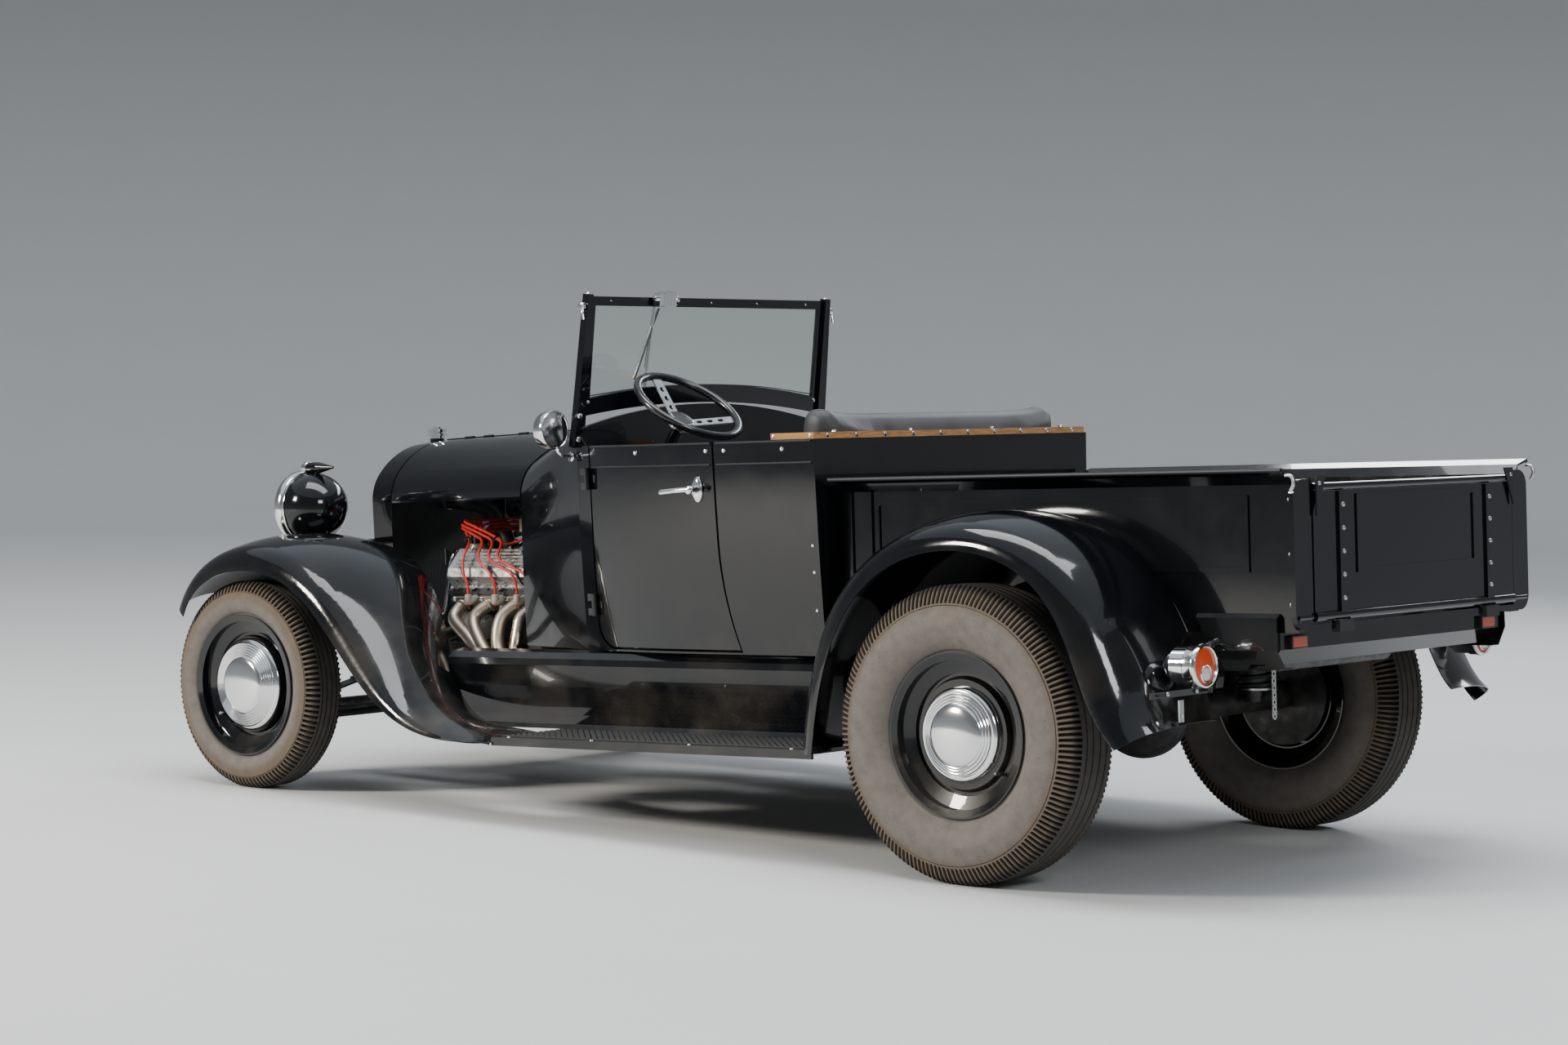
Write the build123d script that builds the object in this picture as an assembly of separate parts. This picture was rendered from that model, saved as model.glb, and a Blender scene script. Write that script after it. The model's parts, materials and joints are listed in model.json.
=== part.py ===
"""Open roadster pickup built as a hot rod, in millimetres.

Row frame: +X forward, +Y to the left, +Z up, origin on the ground under the middle of the car.
The body, bed, chassis rails, fenders and engine are drawn level, with x measured forward from the
rear axle and z from the ground under it. They are then tipped nose down by RAKE about the rear
axle. Wheels and axles are drawn level where they stand.
"""
from build123d import *
from math import atan2, cos, radians, sin, tan
import os

# Stance
WHEELBASE = 2630.0
RAKE = 3.0
REAR_AXLE_X = -1056.5
RUN_CLEAR = 5.0
SEAT_CLEAR = 0.3
PIN_CLEAR = 0.2
SHEET = 3.0

# Wheels and tyres
REAR_TYRE_R = 370.0
REAR_TYRE_W = 216.0
REAR_WHEEL_Y = 725.0
REAR_RIM_W = 156.0
REAR_CAP_R = 120.0
FRONT_TYRE_R = 303.0
FRONT_TYRE_W = 146.0
FRONT_WHEEL_Y = 736.0
FRONT_RIM_W = 128.0
FRONT_CAP_R = 136.0
FLANGE_R = 206.0
SEAT_R = 190.0
DROP_R = 158.0
RIM_WALL = 5.0
TYRE_WALL = 14.0
DISC_DEPTH = 58.0
DRUM_R = 146.0
DRUM_W = 58.0
HUB_R = 34.0
SPINDLE_R = 15.0
BACKING_R = 140.0
BACKING_T = 4.0

# Chassis rails
RAIL_Y = 300.0
RAIL_W = 50.0
RAIL_H = 100.0
RAIL_WALL = 5.0
RAIL_FRONT_X = 2690.0
RAIL_REAR_X = -700.0
KICK_X = 560.0
KICK_RUN = 160.0

# Cab body
BODY_BOTTOM_Z = 541.0
RAIL_TOP_Z = BODY_BOTTOM_Z - SEAT_CLEAR
BELT_Z = 1108.0
BODY_REAR_X = 596.0
WALL = 30.0
DOOR_REAR_X = 940.0
DOOR_FRONT_X = 1450.0
DOOR_BOTTOM_Z = 553.0
DOOR_CORNER_R = 70.0
DOOR_GAP = 7.0
HINGE_R = 8.0
HINGE_PIN_R = 4.0
HINGE_OUT = 11.0
COWL_FRONT_X = 1884.0
COWL_REAR_X = 1500.0
COWL_SIDE_Z = 969.0
COWL_TOP_Z = 1160.0
COWL_ARCH_Z = 1222.0
COWL_WALL = 24.0
FIREWALL_T = 8.0
FLOOR_T = 7.0
SEAT_TOP_Z = 640.0
TUNNEL_HALF = 125.0
TUNNEL_TOP_Z = 612.0
BELL_HALF = 182.0
BELL_TOP_Z = 690.0
BELL_REAR_X = 1760.0

# Hood and radiator
SHELL_REAR_X = 2571.0
SHELL_FRONT_X = 2660.0
SHELL_HALF = 245.0
SHELL_SIDE_Z = 960.0
SHELL_TOP_Z = 1141.0
SHELL_BOTTOM_Z = 541.0
SHELL_LIP = 26.0
CORE_T = 50.0
HOOD_PIN_R = 4.0

# Bed
BED_FRONT_X = 568.0
BED_REAR_X = -818.0
BED_HALF = 521.0
BED_BOTTOM_Z = 614.0
BED_FLOOR_Z = 636.0
KICK_UP = BED_BOTTOM_Z - SEAT_CLEAR - RAIL_TOP_Z
FLARE_START_Z = 966.0
FLARE_OUT = 64.0
FLARE_TOP_Z = 1005.0
BED_SHEET = 4.0
GATE_HALF = 472.0
GATE_TOP_Z = 966.0
GATE_PIVOT_Z = 650.0
GATE_ROLL_R = 12.0
FRAME_OUT_HALF = 553.0

# Running boards
BOARD_Z = 321.0
BOARD_T = 8.0
BOARD_OUT_Y = 830.0

# Number plate
PLATE_SPACING = 162.0

# Front spring
LEAVES = 4
LEAF_T = 6.0

# Door handle
HANDLE_X = 999.0
HANDLE_Z = 982.0
HANDLE_L = 92.0

# Engine
ENGINE_GAP = 21.0
ENGINE_L = 425.0
HEAD_L = 377.0
ENGINE_REAR_X = COWL_FRONT_X + ENGINE_GAP
ENGINE_FRONT_X = ENGINE_REAR_X + ENGINE_L
HEAD_FRONT_X = ENGINE_REAR_X + HEAD_L
CRANK_Z = 507.0
DECK = 208.0
HEAD_RISE = 132.0
HEAD_OUT = 84.0
HEAD_IN = -66.0
COVER_RISE = 56.0
PORTS = (321.0, 209.0, 97.0, 31.0)
PORT_ALONG = 303.0
FLANGE_T = 10.0
TUBE_R = 19.5
EXHAUST_Y = 420.0
EXHAUST_Z = 408.0
PLUGS = (265.0, 153.0, 64.0, 13.0)
LEAD_R = 4.0
NOSE_Z = CRANK_Z - 10
PUMP_Z = 690.0
ALTERNATOR = (-178.0, 640.0)
FAN_R = 200.0
CAP_BACK = 9.0
CAP_Y = 124.0
CAP_Z = 786.0
INTAKE_X = ENGINE_REAR_X + 175
INTAKE_Z = 790.0
CLEANER_R = 146.0

# Glass
SCREEN_BASE_X = 1524.0
SCREEN_BASE_Z = 1109.0
SCREEN_LEAN = 7.4
SCREEN_H = 416.0
SCREEN_HALF = 500.0
GLASS_T = 6.0

# Steering
STEER_Y = 350.0
STEER_X = 1257.0
STEER_Z = 1210.0
STEER_R = 152.0
STEER_RIM_R = 11.0
STEER_TILT = 55.5
STEER_DISH = 60.0
COLUMN_R = 16.0
STEER_BOX_DROP = 68.3
KINGPIN_Y = 632.0
KINGPIN_R = 11.0
ARM_BACK = 150.0
TIE_Z = 248.0
ROD_EYE_Z = 418.0

FRONT_AXLE_X = REAR_AXLE_X + WHEELBASE
FOOT = (Align.CENTER, Align.CENTER, Align.MIN)
BODY_FRAME = Pos(REAR_AXLE_X, 0, REAR_TYRE_R) * Rot(0, RAKE, 0) * Pos(0, 0, -REAR_TYRE_R)


def block(x, y, z):
    """A box from its three (low, high) pairs."""
    size = [b - a for a, b in (x, y, z)]
    return Pos((x[0] + x[1]) / 2, (y[0] + y[1]) / 2, (z[0] + z[1]) / 2) * Box(*size)


def largest(shape):
    """The biggest solid of a shape."""
    return sorted(shape.solids(), key=lambda solid: solid.volume)[-1]


def both_sides(shape):
    """A left-hand shape together with its right-hand copy."""
    return [shape, mirror(shape, Plane.XZ)]


def side_slab(points, y0, y1):
    """An outline in x and z, carried across the car from y0 to y1."""
    return Pos(0, y1, 0) * extrude(Plane.XZ * closed(points), y1 - y0)


def rod(a, b, radius):
    """A round bar between two points."""
    a, b = Vector(*a), Vector(*b)
    return extrude(Plane(origin=a, z_dir=b - a) * Circle(radius), (b - a).length)


def pipe(points, radii, radius):
    """A round bar along straight runs joined by arcs."""
    path = FilletPolyline(*points, radius=radii)
    start = Vector(*points[1]) - Vector(*points[0])
    return sweep(Plane(origin=points[0], z_dir=start) * Circle(radius), path)


def spun(face, x, y, z, side):
    """A wheel-like solid from a face in (radius, outboard) turned about a line across the car."""
    solid = revolve(Plane.XY * face, Axis.Y)
    if side < 0:
        solid = mirror(solid, Plane.XZ)
    return Pos(x, y, z) * solid


def closed(points):
    """A flat face inside a closed run of straight lines."""
    return make_face(Polyline(*points, close=True))


def arch_face(x, half, side_z, top_z, shoulder, base_half, base_z, inset=0.0, bulge=0.0):
    """Closed section at x: flat base, near-upright sides, round shoulders and a crowned top."""
    half, base_half, top_z, shoulder = half - inset, base_half - inset, top_z - inset, shoulder - inset
    reach, rise = half - shoulder, top_z - side_z
    crown = (reach**2 + rise**2 - shoulder**2) / (2 * (rise - shoulder))
    turn = atan2(side_z - top_z + crown, reach)
    join = (reach + shoulder * cos(turn), side_z + shoulder * sin(turn))
    mid = (reach + shoulder * cos(turn / 2), side_z + shoulder * sin(turn / 2))
    waist = ((half + base_half) / 2 + bulge, (side_z + base_z) / 2)

    def flank(side):
        foot, top = (side * base_half, base_z), (side * half, side_z)
        return ThreePointArc(foot, (side * waist[0], waist[1]), top) if bulge else Line(foot, top)

    edges = [
        Line((-base_half, base_z), (base_half, base_z)),
        flank(1),
        ThreePointArc((half, side_z), mid, join),
        ThreePointArc(join, (0, top_z), (-join[0], join[1])),
        ThreePointArc((-join[0], join[1]), (-mid[0], mid[1]), (-half, side_z)),
        flank(-1),
    ]
    return Plane.YZ.offset(x) * make_face(edges)


# Cab sections: x, half width at the belt, half width at the sill
CAB_STATIONS = (
    (BODY_REAR_X, 603.0, 572.0),
    (900.0, 612.0, 580.0),
    (1250.0, 588.0, 558.0),
    (COWL_REAR_X - 45.0, 545.0, 518.0),
)
# Cowl sections: x, half width at the side line, half at the sill, side line z, crown z, shoulder radius
COWL_STATIONS = (
    (COWL_REAR_X - 45.0, 545.0, 518.0, BELT_Z, COWL_ARCH_Z, 60.0),
    (COWL_REAR_X + 20.0, 526.0, 500.0, BELT_Z, COWL_ARCH_Z, 60.0),
    (COWL_FRONT_X, 380.0, 372.0, COWL_SIDE_Z, COWL_TOP_Z, 110.0),
)
BULGE = 5.0


def cab_solid(inset=0.0, low=0.0, high=0.0):
    """The cab's outer form, or the space inside it, with a flat top at the belt."""
    faces = []
    for x, half, sill in CAB_STATIONS:
        half, sill = half - inset, sill - inset
        waist = ((half + sill) / 2 + BULGE, (BODY_BOTTOM_Z + BELT_Z) / 2)
        edges = [
            Line((-sill, BODY_BOTTOM_Z - low), (sill, BODY_BOTTOM_Z - low)),
            ThreePointArc((sill, BODY_BOTTOM_Z - low), waist, (half, BELT_Z + high)),
            Line((half, BELT_Z + high), (-half, BELT_Z + high)),
            ThreePointArc((-half, BELT_Z + high), (-waist[0], waist[1]), (-sill, BODY_BOTTOM_Z - low)),
        ]
        faces.append(Plane.YZ.offset(x) * make_face(edges))
    return loft(faces)


def cowl_solid(inset=0.0, low=0.0):
    """The cowl's outer form, or the space inside it."""
    faces = []
    for x, half, sill, side_z, top_z, shoulder in COWL_STATIONS:
        faces.append(arch_face(x, half, side_z, top_z, shoulder, sill, BODY_BOTTOM_Z - low, inset, BULGE))
    return loft(faces, ruled=True)


def door_outline(grow):
    """The door opening seen from the side, grown all round by a gap."""
    rear, front, low = DOOR_REAR_X - grow, DOOR_FRONT_X + grow, DOOR_BOTTOM_Z - grow
    top = BELT_Z + 40.0
    corner = DOOR_CORNER_R + grow
    edges = [
        Line((rear - 56.0, low), (front - corner, low)),
        ThreePointArc(
            (front - corner, low),
            (front - corner * (1 - sin(radians(45))), low + corner * (1 - cos(radians(45)))),
            (front, low + corner),
        ),
        Line((front, low + corner), (front, top)),
        Line((front, top), (rear + 4.0, top)),
        Line((rear + 4.0, top), (rear, low + 290.0)),
        ThreePointArc((rear, low + 290.0), (rear - 18.0, low + 130.0), (rear - 56.0, low)),
    ]
    return make_face(edges)


def door_block(grow):
    """The left door's opening carried through the left wall."""
    return Pos(0, 700, 0) * extrude(Plane.XZ * door_outline(grow), 400)


def skin_y(z):
    """Half width of the skin at the door's front edge."""
    sill, half = CAB_STATIONS[-1][2], CAB_STATIONS[-1][1]
    return sill + (half - sill) * (z - BODY_BOTTOM_Z) / (BELT_Z - BODY_BOTTOM_Z) + BULGE


HINGE_X = DOOR_FRONT_X + DOOR_GAP / 2
HINGE_ZS = (1016.0, 668.0)
HINGE_H = 60.0


def hinge_line():
    """Top and bottom points of the left door's hinge line."""
    return [(HINGE_X, skin_y(z) + HINGE_OUT, z) for z in HINGE_ZS]


def hinge_frames():
    """A plane at each hinge, its z along the hinge line."""
    top, bottom = (Vector(*p) for p in hinge_line())
    return [Plane(origin=p, x_dir=(1, 0, 0), z_dir=top - bottom) for p in (top, bottom)]


def make_cab():
    """Doors, rear body with floor, and cowl with firewall and dash."""
    inner = cab_solid(WALL, low=60, high=60) & block((BODY_REAR_X + WALL, 3000), (-900, 900), (0, 2000))
    ring = cab_solid() - inner
    door = ring & door_block(0)
    pin_len = HINGE_H / 3
    for frame in hinge_frames():
        knuckle = frame * Cylinder(HINGE_R, pin_len - 0.6)
        leaf = frame * Pos(-16, -HINGE_OUT + 1.5, 0) * Box(32, 5, pin_len - 0.6)
        door = door + leaf + knuckle
        door = door - frame * Cylinder(HINGE_PIN_R + PIN_CLEAR, HINGE_H)
    door = door + door_handle(ring)
    tub = ring
    for cutter in both_sides(door_block(DOOR_GAP)):
        tub = tub - cutter
    tub = tub & block((0, DOOR_FRONT_X + DOOR_GAP), (-900, 900), (0, 2000))
    joint_x, front_x = DOOR_FRONT_X + DOOR_GAP, COWL_FRONT_X - FIREWALL_T - RUN_CLEAR
    floor_points = [
        (BODY_REAR_X + 10, 556), (joint_x, 504), (joint_x, 480), (front_x, 335),
        (front_x, -335), (joint_x, -480), (joint_x, -504), (BODY_REAR_X + 10, -556),
    ]
    floor = Pos(0, 0, BODY_BOTTOM_Z) * extrude(closed(floor_points), FLOOR_T)
    tub = tub + floor
    humps = (
        (1180.0, BELL_REAR_X + 6, TUNNEL_HALF, TUNNEL_TOP_Z),
        (BELL_REAR_X, front_x, BELL_HALF, BELL_TOP_Z),
    )
    for x0, x1, half, top in humps:
        tub = tub + block((x0, x1), (-half - 6, half + 6), (BODY_BOTTOM_Z, top + 6))
    for x0, x1, half, top in humps:
        tub = tub - block((x0 - 1 if x0 > 1200 else x0 + 6, x1 + 1), (-half, half), (0, top))
    riser = block((690, 1120), (-430, 430), (BODY_BOTTOM_Z, SEAT_TOP_Z))
    riser = riser - block((700, 1110), (-420, 420), (0, SEAT_TOP_Z - 20))
    tub = tub + (riser - block((1100, 1200), (-TUNNEL_HALF, TUNNEL_HALF), (0, TUNNEL_TOP_Z)))
    cowl_front = block((DOOR_FRONT_X + DOOR_GAP, 3000), (-900, 900), (0, 2000))
    space = cowl_solid(COWL_WALL, low=60) & block((0, COWL_FRONT_X - FIREWALL_T), (-900, 900), (0, 2000))
    cowl = (cowl_solid() & cowl_front) - space
    cowl = cowl - block((0, COWL_REAR_X), (-900, 900), (BELT_Z, 2000))
    dash = cowl_solid(COWL_WALL - 1) & block((COWL_REAR_X, COWL_REAR_X + 14), (-900, 900), (1020, 1300))
    cowl = cowl + dash - block((COWL_FRONT_X - 30, COWL_FRONT_X + 1), (-BELL_HALF, BELL_HALF), (0, BELL_TOP_Z))
    for frame in hinge_frames():
        pin = frame * Cylinder(HINGE_PIN_R, HINGE_H)
        for end in (-1, 1):
            pin = pin + frame * Pos(0, 0, end * pin_len) * Cylinder(HINGE_R, pin_len)
            pin = pin + frame * Pos(16, -HINGE_OUT - 4, end * pin_len) * Box(32, 16, pin_len)
        for one in both_sides(pin):
            cowl = cowl + one
    return door, tub, cowl


def door_handle(skin):
    """Outside handle of the left door, seated on the skin."""
    x, z = HANDLE_X, HANDLE_Z
    probe = skin & block((x - 1, x + 1), (400, 900), (z - 1, z + 1))
    y = probe.bounding_box().max.Y
    handle = rod((x, y - 3, z), (x, y + 5, z), 19) + rod((x, y, z), (x, y + 30, z), 9)
    start, end = (x - 10, y + 32, z + 1), (x + HANDLE_L, y + 36, z - 5)
    return handle + rod(start, end, 7) + Pos(*start) * Sphere(7) + Pos(*end) * Sphere(7)


def make_shifter():
    """Gear lever with its knob and boot on the tunnel."""
    foot = TUNNEL_TOP_Z + 6 + SEAT_CLEAR
    x, tip_x, tip_z = 1400.0, 1352.0, 905.0
    lever = Pos(x, 0, foot) * Cylinder(46, 8, align=FOOT)
    lever = lever + Pos(x, 0, foot + 7) * Cone(40, 14, 60, align=FOOT)
    lever = lever + pipe([(x, 0, foot + 30), (x, 0, foot + 130), (tip_x, 0, tip_z)], [60], 7)
    return lever + Pos(tip_x, 0, tip_z + 10) * Sphere(24)


def shell_section(x, inset, low=0.0):
    """Radiator shell section at x."""
    foot = SHELL_HALF - 12
    return arch_face(x, SHELL_HALF, SHELL_SIDE_Z, SHELL_TOP_Z, 130.0, foot, SHELL_BOTTOM_Z - low, inset)


def make_nose():
    """Radiator shell, its core and cap, and the two halves of the hood."""
    outer = loft([shell_section(SHELL_REAR_X, 0), shell_section(SHELL_FRONT_X, 8)], ruled=True)
    inner_ends = [shell_section(SHELL_REAR_X - 1, SHEET, 60), shell_section(SHELL_FRONT_X - 6, SHEET + 9, 60)]
    inner = loft(inner_ends, ruled=True)
    window = extrude(shell_section(SHELL_FRONT_X - 10, SHELL_LIP + 8, -SHELL_LIP), 20)
    shell = outer - inner - window
    core = extrude(shell_section(SHELL_FRONT_X - 12 - CORE_T, 8.0), CORE_T)
    cap_x = (SHELL_REAR_X + SHELL_FRONT_X) / 2
    filler = Pos(cap_x, 0, SHELL_TOP_Z - 6) * Cylinder(22, 24)
    cap = Pos(cap_x, 0, SHELL_TOP_Z + 6 + SEAT_CLEAR) * Cylinder(26, 8, align=FOOT)
    for up, radius, tall in ((8, 32, 6), (14, 24, 4), (18, 31, 10), (28, 17, 7)):
        cap = cap + Pos(cap_x, 0, SHELL_TOP_Z + 6 + SEAT_CLEAR + up) * Cylinder(radius, tall, align=FOOT)
    core = largest(core - shell)
    shell = shell + (filler - core)
    rear, front = COWL_FRONT_X + RUN_CLEAR, SHELL_REAR_X - RUN_CLEAR
    ends = []
    for inset in (0.0, SHEET):
        a = arch_face(rear, 380.0, COWL_SIDE_Z, COWL_TOP_Z, 110.0, 379.0, COWL_SIDE_Z - 6, inset)
        foot = (SHELL_HALF - 1, SHELL_SIDE_Z - 6)
        b = arch_face(front, SHELL_HALF, SHELL_SIDE_Z, SHELL_TOP_Z, 130.0, *foot, inset)
        ends.append((a, b))
    skin = loft(ends[0], ruled=True) - loft(ends[1], ruled=True)
    skin = skin - block((rear - 5, front + 5), (-HOOD_PIN_R - 5, HOOD_PIN_R + 5), (900, 1300))
    left = skin & block((rear - 5, front + 5), (0, 500), (900, 1300))
    left = left - loft(ends[1], ruled=True)
    a, b = hood_line()
    line = Plane(origin=a, x_dir=(0, 1, 0), z_dir=Vector(*b) - Vector(*a))
    length = (Vector(*b) - Vector(*a)).length
    halves = {}
    for side, name in ((1, "hood_left"), (-1, "hood_right")):
        half = left if side > 0 else mirror(left, Plane.XZ)
        for k in range(3):
            at = length * (0.12 + 0.34 * k + 0.06 * side)
            sleeve = line * Pos(0, 0, at) * Cylinder(HOOD_PIN_R + 3, 36)
            web = line * Pos(side * 9, -SHEET / 2, at) * Box(12, SHEET, 36)
            half = half + sleeve + web
        halves[name] = half - line * Pos(0, 0, length / 2) * Cylinder(HOOD_PIN_R + PIN_CLEAR, length * 1.1)
    pin_ends = [(x, 0, hood_line_z(x)) for x in (COWL_FRONT_X - 4, SHELL_REAR_X - SEAT_CLEAR)]
    pin = rod(*pin_ends, HOOD_PIN_R)
    return shell, core, cap, halves, pin


def hood_line_z(x):
    """Height of the hood's hinge line at x."""
    slope = (SHELL_TOP_Z - COWL_TOP_Z) / (SHELL_REAR_X - COWL_FRONT_X)
    return COWL_TOP_Z + slope * (x - COWL_FRONT_X)


def hood_line():
    """Ends of the hood's hinge line."""
    return [(x, 0, hood_line_z(x)) for x in (COWL_FRONT_X + RUN_CLEAR, SHELL_REAR_X - RUN_CLEAR)]


# Fender sections: lip x, lip z, outward tilt from level forward, shoulder radius, shoulder sweep,
# inner edge y, inner edge height above the lip
REAR_FENDER = (
    (432.0, 312.0, -8.0, 60.0, 62.0, 535.0, 66.0),
    (405.0, 460.0, 6.0, 66.0, 66.0, 530.0, 82.0),
    (235.0, 745.0, 52.0, 70.0, 68.0, BED_HALF + SEAT_CLEAR, 84.0),
    (-10.0, 824.0, 90.0, 72.0, 70.0, BED_HALF + SEAT_CLEAR, 84.0),
    (-250.0, 755.0, 128.0, 80.0, 70.0, BED_HALF + SEAT_CLEAR, 104.0),
    (-398.0, 520.0, 164.0, 92.0, 70.0, 530.0, 134.0),
    (-500.0, 352.0, 152.0, 92.0, 66.0, 552.0, 112.0),
)
FRONT_FENDER = (
    (2842.0, 640.0, 38.0, 62.0, 62.0, 420.0, 58.0),
    (2740.0, 742.0, 62.0, 70.0, 72.0, 400.0, 62.0),
    (2560.0, 774.0, 90.0, 76.0, 73.0, 392.0, 72.0),
    (2335.0, 700.0, 128.0, 78.0, 70.0, 410.0, 86.0),
    (2140.0, 505.0, 138.0, 74.0, 66.0, 490.0, 72.0),
    (1905.0, 336.0, 112.0, 34.0, 60.0, 590.0, 34.0),
    (1582.0, 300.0, 90.0, 8.0, 76.0, 640.0, 18.0),
)
FENDER_LIP_Y = 840.0


def fender(stations):
    """A left fender lofted through thin sections that stand square to its lip."""
    faces = []
    for x, z, tilt, shoulder, sweep_deg, inner_y, inner_h in stations:
        outward = Vector(cos(radians(tilt)), 0, sin(radians(tilt)))
        plane = Plane(origin=(x, 0, z), x_dir=(0, 1, 0), z_dir=Vector(0, 1, 0).cross(outward))
        edges = []
        ends = []
        for inset in (0.0, SHEET):
            edge_arc = JernArc((FENDER_LIP_Y - inset, 0), (0, 1), shoulder - inset, sweep_deg)
            top_arc = TangentArc(edge_arc @ 1, (inner_y, inner_h - inset), tangent=edge_arc % 1)
            edges += [edge_arc, top_arc]
            ends.append((edge_arc @ 0, top_arc @ 1))
        edges += [Line(ends[0][0], ends[1][0]), Line(ends[0][1], ends[1][1])]
        faces.append(plane * make_face(edges))
    return loft(faces)


def make_bed():
    """Pickup bed, its tailgate and the rolled pan under the rear."""
    x = (BED_REAR_X, BED_FRONT_X)
    half, t = BED_HALF, BED_SHEET
    flare = [
        (half, BED_BOTTOM_Z), (half, FLARE_START_Z), (half + 14, FLARE_START_Z + 22),
        (half + FLARE_OUT - 5, FLARE_TOP_Z - 8), (half + FLARE_OUT, FLARE_TOP_Z - 8),
        (half + FLARE_OUT, FLARE_TOP_Z), (half + FLARE_OUT - 6, FLARE_TOP_Z), (half + 10, FLARE_START_Z + 26),
        (half - t, FLARE_START_Z + 2), (half - t, BED_BOTTOM_Z),
    ]
    wall = Pos(x[0], 0, 0) * extrude(Plane.YZ * closed(flare), x[1] - x[0])
    bed = block(x, (-half + 1, half - 1), (BED_FLOOR_Z, BED_FLOOR_Z + t))
    for one in both_sides(wall):
        bed = bed + one
    bed = bed + block((x[1] - t, x[1]), (-half + 1, half - 1), (BED_BOTTOM_Z, FLARE_START_Z + 20))
    for sill_x in (-720.0, -400.0, -60.0, 280.0):
        bed = bed + block((sill_x, sill_x + 60), (-half + 1, half - 1), (BED_BOTTOM_Z, BED_FLOOR_Z + 1))
    for rib_x in (470.0, 536.0):
        rib = block((rib_x, rib_x + 14), (half - 1, half + 6), (BED_BOTTOM_Z + 30, FLARE_START_Z))
        for one in both_sides(rib):
            bed = bed + one
    panel = block((-684, 458), (half - 1, half + 5), (758, 942))
    for one in both_sides(panel - block((-672, 446), (half, half + 8), (770, 930))):
        bed = bed + one
    gate_gap = GATE_HALF + RUN_CLEAR
    hoop = RectangleRounded(2 * FRAME_OUT_HALF, 360, 40)
    hoop = Plane.YZ * (Pos(0, BED_BOTTOM_Z + 4 + 180) * hoop)
    hoop = Pos(BED_REAR_X - 12, 0, 0) * extrude(hoop, 14)
    mouth_z = GATE_PIVOT_Z - GATE_ROLL_R - RUN_CLEAR
    hoop = hoop - block((-900, -700), (-gate_gap, gate_gap), (mouth_z, 1100))
    bed = bed + hoop
    post = block((BED_REAR_X, BED_REAR_X + 78), (gate_gap, half - 1), (BED_BOTTOM_Z, FLARE_START_Z))
    for one in both_sides(post):
        bed = bed + one
    gate_x = BED_REAR_X - 10
    gate = block((gate_x - 4, gate_x + 2), (-GATE_HALF, GATE_HALF), (GATE_PIVOT_Z, GATE_TOP_Z - 6))
    for z, radius in ((GATE_PIVOT_Z, GATE_ROLL_R), (GATE_TOP_Z - 8, GATE_ROLL_R - 2)):
        gate = gate + rod((gate_x, -GATE_HALF, z), (gate_x, GATE_HALF, z), radius)
    border = block((gate_x - 8, gate_x), (-282, 282), (748, 938))
    gate = gate + (border - block((gate_x - 12, gate_x + 9), (-270, 270), (760, 926)))
    for y in (-348.0, 348.0):
        gate = gate + block((gate_x - 10, gate_x), (y - 16, y + 16), (GATE_PIVOT_Z + 6, GATE_TOP_Z - 20))
    bore = rod((gate_x, -GATE_HALF - 1, GATE_PIVOT_Z), (gate_x, -GATE_HALF + 60, GATE_PIVOT_Z), 6 + PIN_CLEAR)
    for one in both_sides(bore):
        gate = gate - one
    pin = rod((gate_x, gate_gap - 40, GATE_PIVOT_Z), (gate_x, FRAME_OUT_HALF - 12, GATE_PIVOT_Z), 6)
    for one in both_sides(pin):
        bed = bed + one
    pan_half, pan_x, low = 516.0, BED_REAR_X + 58, 526.0
    pan_profile = [
        (pan_x, BED_BOTTOM_Z), (pan_x, 572), (pan_x + 34, 534), (pan_x + 92, low), (pan_x + 92, low + SHEET),
        (pan_x + 36, 537), (pan_x + SHEET, 574), (pan_x + SHEET, BED_BOTTOM_Z),
    ]
    pan = side_slab(pan_profile, -pan_half, pan_half)
    side_profile = [
        (pan_half + 6, 660), (pan_half + 22, 650), (pan_half + 26, 572), (pan_half - 10, low),
        (pan_half - 40, low), (pan_half - 40, low + SHEET), (pan_half - 12, low + SHEET),
        (pan_half + 23, 573), (pan_half + 19, 649), (pan_half + 6, 656),
    ]
    side = extrude(Plane.YZ * closed(side_profile), -900)
    side = side & side_slab([(pan_x - 6, 500), (-620, 500), (-525, 670), (pan_x - 6, 670)], 400, 600)
    for one in both_sides(side):
        pan = pan + one
    pan = pan - bed
    return bed, gate, pan


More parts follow.
